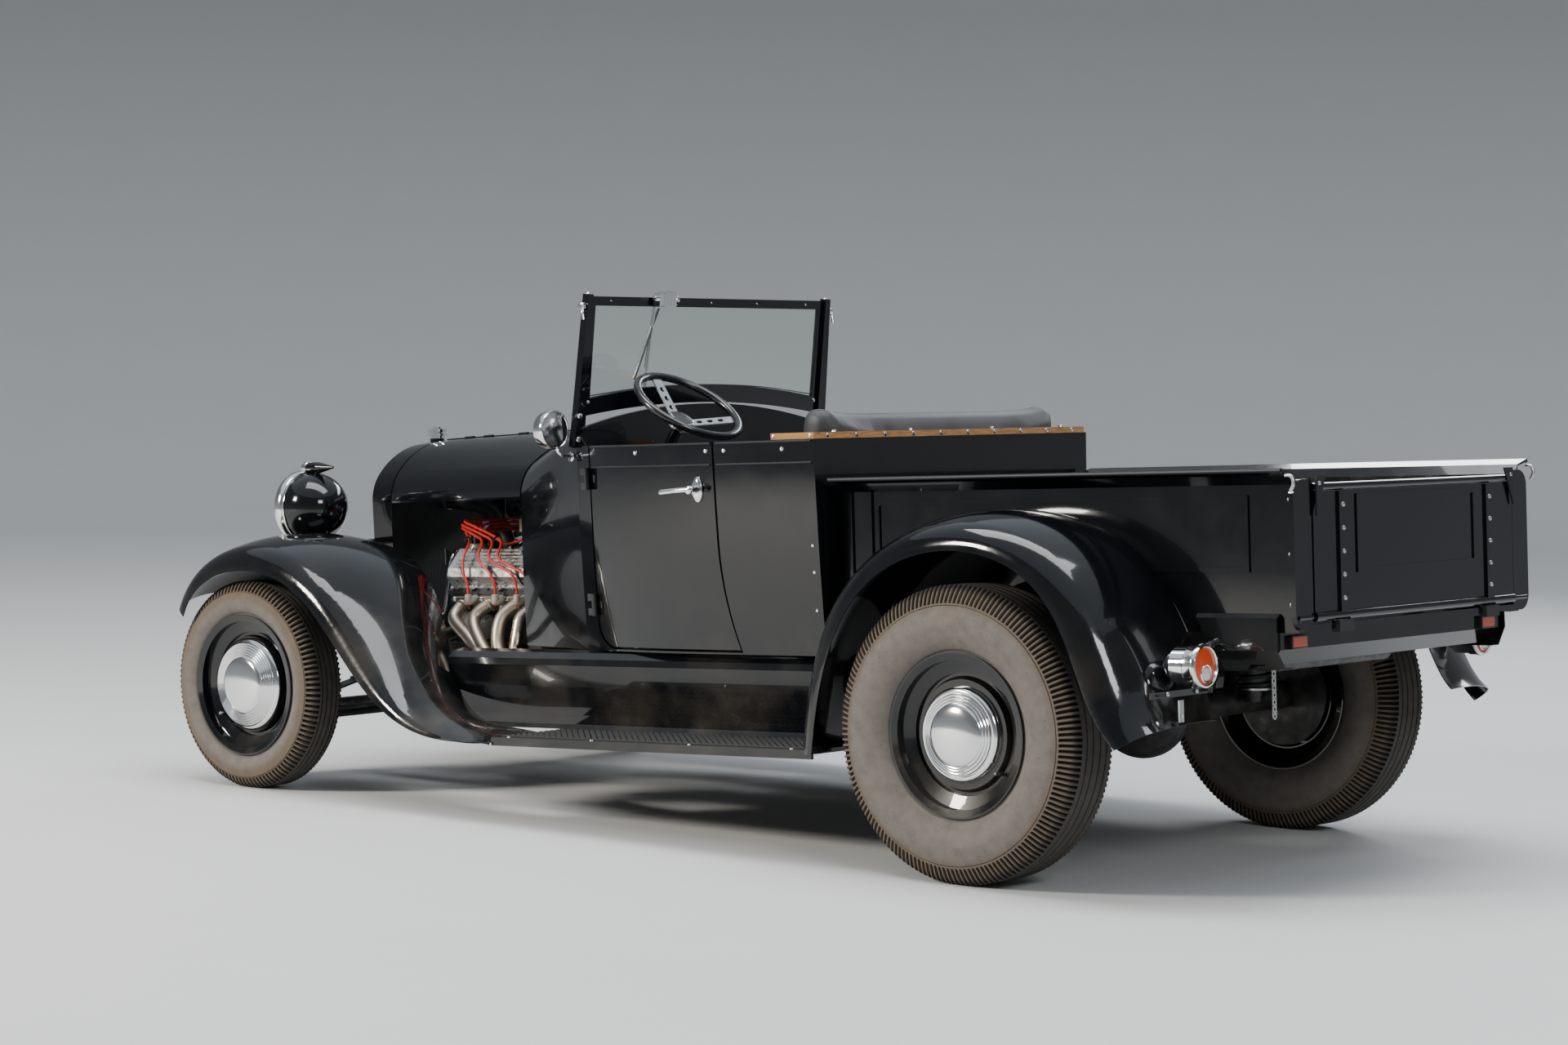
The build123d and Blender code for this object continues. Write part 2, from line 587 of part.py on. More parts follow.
def make_screen():
    """Windshield frame with its posts, and the pane of glass."""
    tall, half = SCREEN_H, SCREEN_HALF
    low_side, low_mid, rail = 82.0, 118.0, 50.0
    face = []
    for inset in (0.0, 1.0):
        side, bottom = half - 20 * inset, rail * inset
        face.append(make_face([
            Line((-side, low_side + bottom), (-side, tall - 24 * inset)),
            Line((-side, tall - 24 * inset), (side, tall - 24 * inset)),
            Line((side, tall - 24 * inset), (side, low_side + bottom)),
            ThreePointArc((side, low_side + bottom), (0, low_mid + bottom), (-side, low_side + bottom)),
        ]))
    ring = extrude(Plane.YZ * (face[0] - face[1]), 14)
    groove = extrude(Plane.YZ * offset(face[1], 6), GLASS_T + 0.6)
    ring = ring - Pos(7 - GLASS_T / 2 - 0.3, 0, 0) * groove
    glass = Pos(7 - GLASS_T / 2, 0, 0) * extrude(Plane.YZ * offset(face[1], 5), GLASS_T)
    high = tall + 6
    post_points = [(half + 1, 0), (half + 40, -6), (half + 34, 90), (half + 22, high), (half + 1, high)]
    post = Pos(-10, 0, 0) * extrude(Plane.YZ * closed(post_points), 22)
    for one in both_sides(post + rod((7, half - 1, tall - 30), (7, half + 10, tall - 30), 8)):
        ring = ring + one
    place = Pos(SCREEN_BASE_X, 0, SCREEN_BASE_Z) * Rot(0, -SCREEN_LEAN, 0)
    y, z, front = 215.0, tall - 12, 24.0
    wiper = block((-34, -10), (y - 20, y + 40), (z - 10, z + 26)) + rod((-20, y, z), (front, y, z), 4)
    wiper = wiper + rod((front - 4, y, z + 4), (front - 4, y + 20, z - 190), 3)
    wiper = wiper + rod((front - 4, y + 12, z - 120), (front - 4, y + 30, z - 290), 5)
    return place * ring, place * glass, place * wiper


def make_wheel(x, z, centre_y, rim_w, tyre_r, tyre_w, cap_r, side):
    """Tyre, steel wheel with hub and drum, and hubcap, for one corner."""
    w = rim_w / 2
    rim = [
        (FLANGE_R, w), (FLANGE_R, w - 5), (SEAT_R, w - 8), (SEAT_R, w - 26), (DROP_R, w - 36),
        (DROP_R, 36 - w), (SEAT_R, 26 - w), (SEAT_R, 8 - w), (FLANGE_R, 5 - w), (FLANGE_R, -w),
        (FLANGE_R - 4, -w), (SEAT_R - RIM_WALL, 4 - w), (SEAT_R - RIM_WALL, 28 - w),
        (DROP_R - RIM_WALL, 38 - w), (DROP_R - RIM_WALL, w - 38), (SEAT_R - RIM_WALL, w - 28),
        (SEAT_R - RIM_WALL, w - 4), (FLANGE_R - 4, w),
    ]
    face_y = w - DISC_DEPTH
    lip_r = max(DROP_R - 22, cap_r + 3)
    disc = [
        (DROP_R - 2, w - 46), (DROP_R - 14, w - 46), (lip_r, w - 30), (cap_r - 3, w - 30), (cap_r - 8, w - 36),
        (104, face_y + 8), (96, face_y), (HUB_R, face_y), (HUB_R, face_y + 26), (SPINDLE_R + 12, face_y + 30),
        (SPINDLE_R + PIN_CLEAR, face_y + 30), (SPINDLE_R + PIN_CLEAR, face_y - 50), (HUB_R, face_y - 50),
        (HUB_R, face_y - 10), (DRUM_R, face_y - 10), (DRUM_R, face_y - 10 - DRUM_W),
        (DRUM_R + 4, face_y - 10 - DRUM_W), (DRUM_R + 4, face_y - 5), (98, face_y - 5), (108, face_y + 3),
        (cap_r - 2, w - 42), (DROP_R - 24, w - 36), (DROP_R - 17, w - 51), (DROP_R - 2, w - 51),
    ]
    wheel = spun(closed(rim), x, centre_y, z, side) + spun(closed(disc), x, centre_y, z, side)
    seat = w - 30 + SEAT_CLEAR
    rings = [
        (cap_r - 42, w + 3), (cap_r - 38, w - 3), (cap_r - 22, w - 6), (cap_r - 18, w - 13),
        (cap_r - 8, w - 16), (cap_r, w - 24), (cap_r, seat), (cap_r - 3, seat), (cap_r - 3, w - 25),
        (cap_r - 24, w - 14), (cap_r - 43, w),
    ]
    cap = spun(make_face([
        Line((0, w + 12), (0, w + 15)),
        TangentArc((0, w + 15), rings[0], tangent=(1, 0)),
        Polyline(*rings),
        TangentArc((0, w + 12), rings[-1], tangent=(1, 0)),
    ]), x, centre_y, z, side)
    half, deep = tyre_w / 2, tyre_r - SEAT_R
    bead, tread = w - 9, tyre_w * 0.33
    belly_r = SEAT_R + deep * 0.46
    edges = []
    inner_r = SEAT_R + SEAT_CLEAR
    for t in (0.0, TYRE_WALL):
        for s in (1, -1):
            foot, belly = (FLANGE_R + 2, s * (bead - t)), (belly_r, s * (half - t))
            edge, crown = (tyre_r - t - 9, s * (tread + 5 - t / 2)), (tyre_r - t, s * (tread - 7))
            low_mid = (foot[0] * 0.6 + belly[0] * 0.4, foot[1] * 0.36 + belly[1] * 0.64)
            high_mid = (belly[0] * 0.42 + edge[0] * 0.58, belly[1] * 0.62 + edge[1] * 0.38 + s * 2)
            edges += [Line((inner_r, s * (bead - t)), foot), ThreePointArc(foot, low_mid, belly)]
            edges += [ThreePointArc(belly, high_mid, edge), Line(edge, crown)]
        edges.append(Line((tyre_r - t, tread - 7), (tyre_r - t, 7 - tread)))
    for s in (1, -1):
        edges.append(Line((inner_r, s * bead), (inner_r, s * (bead - TYRE_WALL))))
    return spun(make_face(edges), x, centre_y, z, 1), wheel, cap


def hub_y(centre_y, rim_w):
    """Height across the car of the wheel disc's inner face."""
    return centre_y + rim_w / 2 - DISC_DEPTH


def make_knuckle():
    """Left steering knuckle with its kingpin, spindle, backing plate and steering arm."""
    x, z = FRONT_AXLE_X, FRONT_TYRE_R
    face = hub_y(FRONT_WHEEL_Y, FRONT_RIM_W)
    back_y = face - 10 - DRUM_W - RUN_CLEAR
    knuckle = rod((x, KINGPIN_Y, z - 56), (x, KINGPIN_Y, z + 56), KINGPIN_R)
    for low, high in ((34, 50), (-50, -34)):
        knuckle = knuckle + block((x - 22, x + 22), (KINGPIN_Y - 22, back_y), (z + low, z + high))
    upright = block((x - 26, x + 26), (back_y - BACKING_T - 6, back_y), (z - 50, z + 50))
    knuckle = knuckle + upright + rod((x, back_y - BACKING_T, z), (x, back_y, z), BACKING_R)
    knuckle = knuckle + rod((x, back_y, z), (x, face + 24, z), SPINDLE_R)
    ball = (x - ARM_BACK, KINGPIN_Y, TIE_Z)
    arm = rod((x - 10, KINGPIN_Y - 4, z - 47), (ball[0], ball[1], TIE_Z + 25), 10)
    knuckle = knuckle + arm + rod((ball[0], ball[1], TIE_Z - 12), (ball[0], ball[1], TIE_Z + 33), 7)
    return knuckle


def make_tie_rod():
    """Tie rod with an eye round each steering arm's pin."""
    x, y = FRONT_AXLE_X - ARM_BACK, KINGPIN_Y
    tie = rod((x, -y + 12, TIE_Z), (x, y - 12, TIE_Z), 10)
    for side in (1, -1):
        tie = tie + Pos(x, side * y, TIE_Z) * Cylinder(15, 18)
    for side in (1, -1):
        tie = tie - Pos(x, side * y, TIE_Z) * Cylinder(7 + PIN_CLEAR, 60)
    return tie


def make_axles():
    """Dropped front beam axle and live rear axle, drawn level."""
    x, z = FRONT_AXLE_X, FRONT_TYRE_R
    drop = 92.0
    end_y = KINGPIN_Y - 12
    beam_points = [
        (-end_y, z - 20), (-end_y, z + 22), (-560, z + 22), (-470, z - drop + 26),
        (470, z - drop + 26), (560, z + 22), (end_y, z + 22), (end_y, z - 20),
        (548, z - 22), (460, z - drop - 24), (-460, z - drop - 24), (-548, z - 22),
    ]
    beam = Pos(x, 0, 0) * extrude(Plane.YZ * closed(beam_points), 22, both=True)
    for near, far in ((6, 24), (-24, -6)):
        beam = beam - block((x + near, x + far), (-440, 440), (z - drop - 15, z - drop + 17))
    for side in (1, -1):
        beam = beam + Pos(x, side * KINGPIN_Y, z) * Cylinder(24, 64)
    for side in (1, -1):
        beam = beam - Pos(x, side * KINGPIN_Y, z) * Cylinder(KINGPIN_R + PIN_CLEAR, 80)
    x, z = REAR_AXLE_X, REAR_TYRE_R
    face = hub_y(REAR_WHEEL_Y, REAR_RIM_W)
    back_y = face - 10 - DRUM_W - RUN_CLEAR
    rear = rod((x, -back_y + 2, z), (x, back_y - 2, z), 38)
    rear = rear + Pos(x, 0, z) * Sphere(122) + rod((x + 60, 0, z), (x + 180, 0, z), 62)
    for side in (1, -1):
        rear = rear + rod((x, side * (back_y - 6), z), (x, side * back_y, z), BACKING_R)
        rear = rear + rod((x, side * (back_y - 10), z), (x, side * (face + 24), z), SPINDLE_R)
    return beam, rear


def make_frame(engine, front_fender):
    """Channel rails with a kick over the rear axle, cross members in them, and brackets and stays."""
    low = RAIL_TOP_Z - RAIL_H
    outline = [
        (RAIL_REAR_X, RAIL_TOP_Z + KICK_UP), (KICK_X - KICK_RUN, RAIL_TOP_Z + KICK_UP), (KICK_X, RAIL_TOP_Z),
        (RAIL_FRONT_X, RAIL_TOP_Z), (RAIL_FRONT_X, RAIL_TOP_Z - 60), (RAIL_FRONT_X - 120, low), (KICK_X, low),
        (KICK_X - KICK_RUN, low + KICK_UP), (RAIL_REAR_X, low + KICK_UP + 30),
    ]
    inner_y, outer_y = RAIL_Y - RAIL_W / 2, RAIL_Y + RAIL_W / 2
    rail = side_slab(outline, inner_y, outer_y)
    face = offset(closed(outline), -RAIL_WALL)
    channel = Pos(0, outer_y - RAIL_WALL, 0) * extrude(Plane.XZ * face, RAIL_W)
    rail = rail - channel
    rails = both_sides(rail)
    web_y = outer_y - RAIL_WALL
    tail_top = RAIL_TOP_Z + KICK_UP
    members = (
        ((2590, 2670), (RAIL_TOP_Z - 50, RAIL_TOP_Z)),
        ((1560, 1620), (low - 25, low + RAIL_WALL)),
        ((760, 820), (RAIL_TOP_Z - 50, RAIL_TOP_Z - 10)),
        ((-40, 30), (tail_top - 60, tail_top - 6)),
        ((RAIL_REAR_X + 6, RAIL_REAR_X + 50), (tail_top - 60, tail_top - 6)),
    )
    crossed = [largest(block(x, (-web_y, web_y), z) - rails[0] - rails[1]) for x, z in members]
    brackets = []
    for x in (640.0, 1060.0, 1480.0):
        post = block((x, x + 36), (inner_y + 10, outer_y), (BOARD_Z - BOARD_T - 2, low))
        under = BOARD_Z - BOARD_T - SEAT_CLEAR
        foot = block((x, x + 36), (inner_y + 10, BOARD_OUT_Y - 16), (under - 12, under))
        brackets.append(post + foot)
    brackets.append(block((2200, 2260), (130, web_y), (RAIL_TOP_Z - 80, RAIL_TOP_Z - 56)) - engine)
    brackets.append(block((1712, 1748), (RAIL_Y - 20, RAIL_Y + 20), (ROD_EYE_Z - 18, low)))
    for x, crown_y, crown_z in ((2560.0, 560.0, 880.0), (2230.0, 600.0, 700.0)):
        bends = [(x, outer_y - 3, RAIL_TOP_Z - 40), (x, 440, RAIL_TOP_Z - 10), (x, crown_y, crown_z)]
        brackets.append(pipe(bends, 60, 11) - front_fender - rail)
    fitted = [one for bracket in brackets for one in both_sides(largest(bracket))]
    return rails + crossed + fitted


def bank(along, across):
    """A point of the left cylinder bank's section: along the bores from the crank, and outward across."""
    d = cos(radians(45))
    return along * d + across * d, CRANK_Z + along * d - across * d


def across_bank(outline, x0, x1):
    """An outline of (along, across) points on the left bank, carried along the engine."""
    return Pos(x0, 0, 0) * extrude(Plane.YZ * closed([bank(*point) for point in outline]), x1 - x0)


def make_engine():
    """V8 block with heads and front drive, finned covers, intake and cleaner, and the gearbox."""
    x0, x1 = ENGINE_REAR_X, ENGINE_FRONT_X
    top = DECK + HEAD_RISE
    half = [(0, 310), (120, 310), (140, 470), (168, 480), bank(150, 92), bank(DECK, 86), bank(DECK, HEAD_IN)]
    outline = half + [(0, 640)] + [(-y, z) for y, z in reversed(half[1:])]
    engine = Pos(x0, 0, 0) * extrude(Plane.YZ * closed(outline), x1 - x0)
    engine = engine - block((x0 - 1, x0 + 90), (-300, 300), (300, 468))
    head = [(DECK - 1, HEAD_IN), (DECK - 1, HEAD_OUT), (top - 6, HEAD_OUT), (top, HEAD_OUT - 6), (top, HEAD_IN)]
    for one in both_sides(across_bank(head, x0, HEAD_FRONT_X)):
        engine = engine + one
    engine = engine + rod((x0 - 80, 0, CRANK_Z), (x0 + 1, 0, CRANK_Z), BELL_HALF - 14)
    engine = engine + rod((x1 - 1, 0, NOSE_Z), (x1 + 30, 0, NOSE_Z), 92)
    fixed, turning = front_drive(x1)
    engine = engine + fixed
    seat = top + SEAT_CLEAR
    rail = [(seat, 72), (top + 8, 72), (top + 8, 64), (top + 40, 58), (top + 52, 36),
            (top + COVER_RISE, -40), (top + 8, -58), (seat, -58)]
    cover = across_bank(rail, x0 + 6, HEAD_FRONT_X - 10)
    for k in range(6):
        out = 32 - 13 * k
        fin = [(top + 44, out), (top + 59, out), (top + 59, out - 4), (top + 44, out - 4)]
        cover = cover + across_bank(fin, x0 + 30, HEAD_FRONT_X - 34)
    covers = both_sides(cover)
    mouth_x, mouth_z = INTAKE_X, INTAKE_Z
    intake = block((x0 + 40, HEAD_FRONT_X - 20), (-150, 150), (600, 728))
    intake = intake + block((mouth_x - 92, mouth_x + 92), (-66, 66), (720, mouth_z))
    for x in (mouth_x - 126, mouth_x - 42, mouth_x + 42, mouth_x + 126):
        start = mouth_x + (x - mouth_x) * 0.45
        for side in (1, -1):
            intake = intake + rod((start, side * 30, mouth_z - 26), (x, side * 160, 748), 22)
    neck = rod((HEAD_FRONT_X - 50, 0, 720), (HEAD_FRONT_X - 50, 0, 800), 26)
    neck = neck + rod((HEAD_FRONT_X - 50, 0, 782), (HEAD_FRONT_X + 10, 0, 800), 21)
    intake = largest(intake + neck - engine - covers[0] - covers[1])
    carburettor = block((mouth_x - 62, mouth_x + 62), (-56, 56), (mouth_z - 1, mouth_z + 52))
    carburettor = carburettor + rod((mouth_x, 0, mouth_z), (mouth_x, 0, mouth_z + 62), 54)
    for bowl_x in (mouth_x - 90, mouth_x + 90):
        bowl = block((bowl_x - 29, bowl_x + 29), (-40, 40), (mouth_z + 8, mouth_z + 46))
        carburettor = carburettor + bowl
    low_z = mouth_z + 62 + SEAT_CLEAR
    cleaner = rod((mouth_x, 0, low_z), (mouth_x, 0, low_z + 8), CLEANER_R)
    cleaner = cleaner + rod((mouth_x, 0, low_z), (mouth_x, 0, low_z + 48), CLEANER_R - 14)
    cleaner = cleaner + rod((mouth_x, 0, low_z + 46), (mouth_x, 0, low_z + 56), CLEANER_R)
    cleaner = cleaner + rod((mouth_x, 0, low_z + 55), (mouth_x, 0, low_z + 72), 14)
    box = block((1480, x0 - 80), (-92, 92), (RAIL_TOP_Z - RAIL_H + RAIL_WALL + SEAT_CLEAR, CRANK_Z + 86))
    box = box + rod((1300, 0, CRANK_Z - 14), (1481, 0, CRANK_Z - 6), 66)
    shaft = rod((150, 0, 378), (1301, 0, CRANK_Z - 14), 36)
    return engine, turning, covers, intake + carburettor, cleaner, box + shaft


def front_drive(x):
    """Water pump and alternator on the front of the block at x, and the belt with its pulleys and fan."""
    pulleys = ((0.0, NOSE_Z, 80.0), (0.0, PUMP_Z, 66.0), (*ALTERNATOR, 36.0))
    side_y, side_z = ALTERNATOR
    drive = rod((x - 1, 0, PUMP_Z), (x + 38, 0, PUMP_Z), 60)
    drive = drive + rod((x + 29, 0, NOSE_Z), (x + 42, 0, NOSE_Z), 40)
    drive = drive + rod((x + 37, 0, PUMP_Z), (x + 42, 0, PUMP_Z), 30)
    drive = drive + rod((x - 84, side_y, side_z), (x + 34, side_y, side_z), 58)
    drive = drive + rod((x + 33, side_y, side_z), (x + 42, side_y, side_z), 16)
    drive = drive + block((x - 40, x - 10), (side_y - 12, -60), (side_z - 44, side_z))
    loops = []
    for inset in (0.0, 5.0):
        rings = [(Pos(y, z) * Circle(r - 3 - inset)).edges() for y, z, r in pulleys]
        loops.append(make_hull([edge for ring in rings for edge in ring]))
    turning = Pos(x + 47, 0, 0) * extrude(Plane.YZ * (loops[0] - loops[1]), 12)
    back = x + 42 + SEAT_CLEAR
    for y, z, r in pulleys:
        turning = turning + rod((back, y, z), (x + 46, y, z), r) + rod((x + 60, y, z), (x + 64, y, z), r)
        turning = turning + rod((x + 45, y, z), (x + 61, y, z), r - 7)
    turning = turning + rod((x + 63, 0, PUMP_Z), (x + 106, 0, PUMP_Z), 32)
    for turn in range(0, 360, 60):
        blade = Pos(0, 0, FAN_R / 2 + 12) * Rot(0, 0, 28) * Box(3, 62, FAN_R - 24)
        turning = turning + Pos(x + 86, 0, PUMP_Z) * Rot(turn, 0, 0) * blade
    return drive, turning


def make_exhaust(engine):
    """Left header flange and tubes, collector, pipe and silencer as one piece."""
    y, low_z = EXHAUST_Y, EXHAUST_Z
    face = HEAD_OUT + SEAT_CLEAR
    plate = [(PORT_ALONG - 30, face), (PORT_ALONG + 24, face), (PORT_ALONG + 24, face + FLANGE_T),
             (PORT_ALONG - 30, face + FLANGE_T)]
    port_xs = [ENGINE_REAR_X + port for port in PORTS]
    exhaust = across_bank(plate, port_xs[-1] - 28, port_xs[0] + 34)
    for a, b in zip(port_xs[:2], port_xs[1:3]):
        middle = (a + b) / 2
        notch = [(PORT_ALONG - 40, face - 5), (PORT_ALONG - 14, face - 5), (PORT_ALONG - 14, face + 20),
                 (PORT_ALONG - 40, face + 20)]
        exhaust = exhaust - across_bank(notch, middle - 20, middle + 20)
    mouth_y, mouth_z = bank(PORT_ALONG, face + 2)
    # for each tube: its forward bulge, then where it turns down and where it sweeps back, x from its port
    tubes = (
        (8, (-76, 348, 560), (-206, 376, 478)), (36, (-16, 352, 548), (-124, 384, 466)),
        (36, (22, 352, 532), (-52, 380, 456)), (26, (20, 352, 524), (-36, 390, 448)),
    )
    ends = ((12, -8), (12, 14), (-11, -5), (-11, 17))
    for k, (x, (forward, turn, back)) in enumerate(zip(port_xs, tubes)):
        points = [(x, mouth_y, mouth_z), (x + forward, 320, mouth_z - 46), (x + turn[0], *turn[1:])]
        points += [(x + back[0], *back[1:]), (1822 - 3 * k, y + ends[k][0], low_z + ends[k][1])]
        exhaust = exhaust + pipe(points, [34, 60, 60], TUBE_R)
    exhaust = exhaust + rod((1868, y, low_z + 5), (1690, y, low_z), 40)
    exhaust = exhaust + rod((1700, y, low_z), (560, y, low_z), 27)
    exhaust = exhaust + rod((1420, y, low_z), (920, y, low_z), 56)
    return largest(exhaust - engine)


def lead_pipe(points):
    """A lead with an arc as large as its runs allow at each point."""
    radii = []
    for before, here, after in zip(points, points[1:], points[2:]):
        back, on = Vector(*here) - Vector(*before), Vector(*after) - Vector(*here)
        turn = radians(back.get_angle(on))
        radii.append(0.45 * min(back.length, on.length) / tan(turn / 2))
    return pipe(points, radii, LEAD_R)


def make_ignition(engine):
    """Distributor at the front of the valley, its coil, and the leads to the plugs of both banks."""
    x, y, cap_z = ENGINE_FRONT_X - CAP_BACK, CAP_Y, CAP_Z
    body = rod((x - 25, y - 62, cap_z - 186), (x, y, cap_z), 16) + rod((x, y, cap_z - 34), (x, y, cap_z), 30)
    body = body + rod((x, y, cap_z), (x, y, cap_z + 26), 37) + rod((x, y, cap_z + 26), (x, y, cap_z + 40), 32)
    towers = [(x + 24 * cos(radians(a)), y + 24 * sin(radians(a))) for a in range(22, 360, 45)] + [(x, y)]
    for tx, ty in towers:
        body = body + rod((tx, ty, cap_z + 38), (tx, ty, cap_z + 56), 6)
    body = largest(body - engine)
    coil_x, coil_y, coil_z = COWL_FRONT_X + 30, 150, 905
    coil = rod((coil_x, coil_y, coil_z - 105), (coil_x, coil_y, coil_z), 26)
    coil = coil + block((COWL_FRONT_X + SEAT_CLEAR, coil_x - 18), (coil_y - 20, coil_y + 20), (830, 880))
    coil = coil + rod((coil_x, coil_y, coil_z - 1), (coil_x, coil_y, coil_z + 13), 8)
    top = cap_z + 56 + SEAT_CLEAR
    rail = DECK + HEAD_RISE
    boots, leads = [], []
    low, out = bank(rail - 18, HEAD_OUT), bank(rail - 4, HEAD_OUT + 38)
    for k, plug in enumerate(PLUGS):
        plug_x = ENGINE_REAR_X + plug
        elbow = (plug_x, out[0], out[1])
        boot = rod((plug_x, *low), elbow, 8) + rod(elbow, (plug_x, out[0], out[1] + 22), 7)
        boots += both_sides(largest(boot + Pos(*elbow) * Sphere(8) - engine))
        up, over_x = 20.0 + 11 * k, plug_x + (44, 96, 140, 150)[k]
        for side, numbers in ((1, (1, 0, 7, 6)), (-1, (5, 4, 3, 2))):
            tx, ty = towers[numbers[k]]
            start = (tx, ty, top)
            rise = (tx, ty + side, top + up)
            over = (over_x, side * (264 + 3 * k), 838)
            if side > 0:
                route = [start, rise, (tx - 14, 184 + 6 * k, top + up + 3)]
            else:
                route = [start, rise, (tx - 20, 20 - 9 * k, top + up + 3)]
                route.append((over_x + 52, -160 - 9 * k, top + up - 8))
            last = route[-1]
            if abs(last[0] - over[0]) > 120:
                middle = [(p + q) / 2 for p, q in zip(last, over)]
                route.append((middle[0] + 5, middle[1] + side * 5, middle[2] + 6))
            route += [over, (over_x - 16, side * (316 + 3 * k), 790), (plug_x + 12, side * (out[0] + 6), 744)]
            route += [(plug_x, side * out[0], out[1] + 56), (plug_x, side * out[0], out[1] + 22 + SEAT_CLEAR)]
            leads.append(route)
    leads.append([
        (x, y, top), (x - 2, y, top + 22), (2283, y, top + 17), (2219, 120, 822), (2125, 152, 832),
        (2010, 172, 868), (coil_x + 28, coil_y + 10, coil_z + 43), (coil_x + 1, coil_y, coil_z + 37),
        (coil_x, coil_y, coil_z + 13 + SEAT_CLEAR),
    ])
    return body, coil, boots, [lead_pipe(points) for points in leads]


def make_dipstick(engine):
    """Bright tube from the front of the left head down to the rail."""
    points = [(2286, 196, 780), (2318, 206, 818), (2314, 250, 776), (2330, 264, 634), (2374, 294, 600),
              (2374, 294, RAIL_TOP_Z + SEAT_CLEAR)]
    return largest(pipe(points, [12, 22, 40, 24], 6) - engine)


def make_aprons(front_fender, rear_fender):
    """Left splash apron and running board, trimmed where they meet the fenders."""
    front_x, rear_x = 2010.0, 440.0
    top, low = BODY_BOTTOM_Z - SEAT_CLEAR, BOARD_Z + SEAT_CLEAR
    skin = [
        (508, top), (548, top - 6), (566, 518), (568, 500), (556, 440), (536, 360), (532, 334), (545, low),
        (540, low), (528, 332), (532, 361), (552, 441), (564, 500), (562, 516), (547, top - 10),
        (508, top - 4),
    ]
    apron = Pos(rear_x, 0, 0) * extrude(Plane.YZ * closed(skin), front_x - rear_x)
    apron = largest(apron - front_fender - rear_fender)
    tail_x = FRONT_FENDER[-1][0] - SEAT_CLEAR
    board = block((rear_x, tail_x), (480, BOARD_OUT_Y), (BOARD_Z - BOARD_T, BOARD_Z))
    board = board + block((rear_x, tail_x), (BOARD_OUT_Y - 8, BOARD_OUT_Y), (BOARD_Z - 23, BOARD_Z))
    return apron, largest(board - rear_fender)


def make_headlamps(front_fender):
    """Both headlamps on their posts, joined by the bar in front of the radiator."""
    x, y, z, radius = 2712.0, 430.0, 949.0, 104.0
    bowl = Rot(0, 0, -90) * revolve(Plane.XY * make_face([
        Line((0, -radius), (0, 50)), Line((0, 50), (radius, 50)), Line((radius, 50), (radius, 0)),
        TangentArc((radius, 0), (0, -radius), tangent=(0, -1)),
    ]), Axis.Y)
    lamp = Pos(x, y, z) * bowl
    pod_z = z + radius + 14
    pod = rod((x - 30, y, pod_z), (x + 14, y, pod_z), 17) + Pos(x + 14, y, pod_z) * Sphere(17)
    pod = pod + Pos(x - 30, y, pod_z) * Rot(0, -90, 0) * Cone(17, 4, 62, align=FOOT)
    lamp = lamp + pod + rod((x - 20, y, z + 80), (x - 20, y, pod_z - 4), 8)
    post = rod((x - 10, y, z - 60), (x - 10, y, 760), 15) + rod((x - 10, 0, 835), (x - 10, y, 835), 11)
    lamp = lamp + largest(post - front_fender)
    return lamp + mirror(lamp, Plane.XZ)


def make_tail(pan):
    """Left tail lamp on its stem, and the marker lamp on the pan."""
    x, y, z = -598.0, 652.0, 541.0
    lamp = rod((x - 34, y, z), (x + 34, y, z), 48) + Pos(x + 34, y, z) * Sphere(40)
    stem = pipe([(x, BED_HALF + 10, z + 52), (x, BED_HALF + 60, z + 44), (x, y - 20, z)], [40], 9)
    lamp = lamp + largest(stem - pan)
    marker_y = 447.0
    face_x = BED_REAR_X + 58 - SEAT_CLEAR
    marker = block((face_x - 12, face_x), (marker_y - 30, marker_y + 30), (577, 601))
    return lamp, marker


def make_plate_bracket(lamps):
    """Slotted number-plate bar that hangs upright from the left tail lamp's drum."""
    spot = (BODY_FRAME * Pos(-606, 713, 482)).position
    x, middle, z = spot.X, spot.Y, spot.Z
    half = PLATE_SPACING / 2
    bar = block((x - 2, x + 2), (middle - half - 52, middle + half + 44), (z - 8, z + 7))
    for slot_y in (middle - half, middle + half):
        bar = bar - block((x - 9, x + 9), (slot_y - 27, slot_y + 27), (z - 3, z + 3))
        for end in (-27, 27):
            bar = bar - rod((x - 9, slot_y + end, z), (x + 9, slot_y + end, z), 3)
    hanger = block((x - 2, x + 2), (middle - 73, middle - 49), (z + 6, z + 50))
    return bar + largest(hanger - lamps)


def make_mirror(cowl):
    """Round door-post mirror on its arm, on the left side only."""
    x, y, z = 1536.0, 594.0, 1154.0
    head = rod((x, y, z), (x + 14, y, z), 52)
    head = head + Pos(x + 14, y, z) * Rot(0, 90, 0) * Cone(50, 20, 22, align=FOOT)
    arm = pipe([(1529, 520, 1078), (1529, y - 10, 1082), (x + 20, y, z)], [24], 5)
    return head + largest(arm - cowl)


def make_wood_rail():
    """Wooden rail along the top of the back panel with a return over each side."""
    low, high = BELT_Z + SEAT_CLEAR, BELT_Z + 17.0
    rail = block((BODY_REAR_X + 4, BODY_REAR_X + 26), (-596, 596), (low, high))
    for one in both_sides(block((BODY_REAR_X + 4, BODY_REAR_X + 150), (578, 598), (low, high))):
        rail = rail + one
    return rail


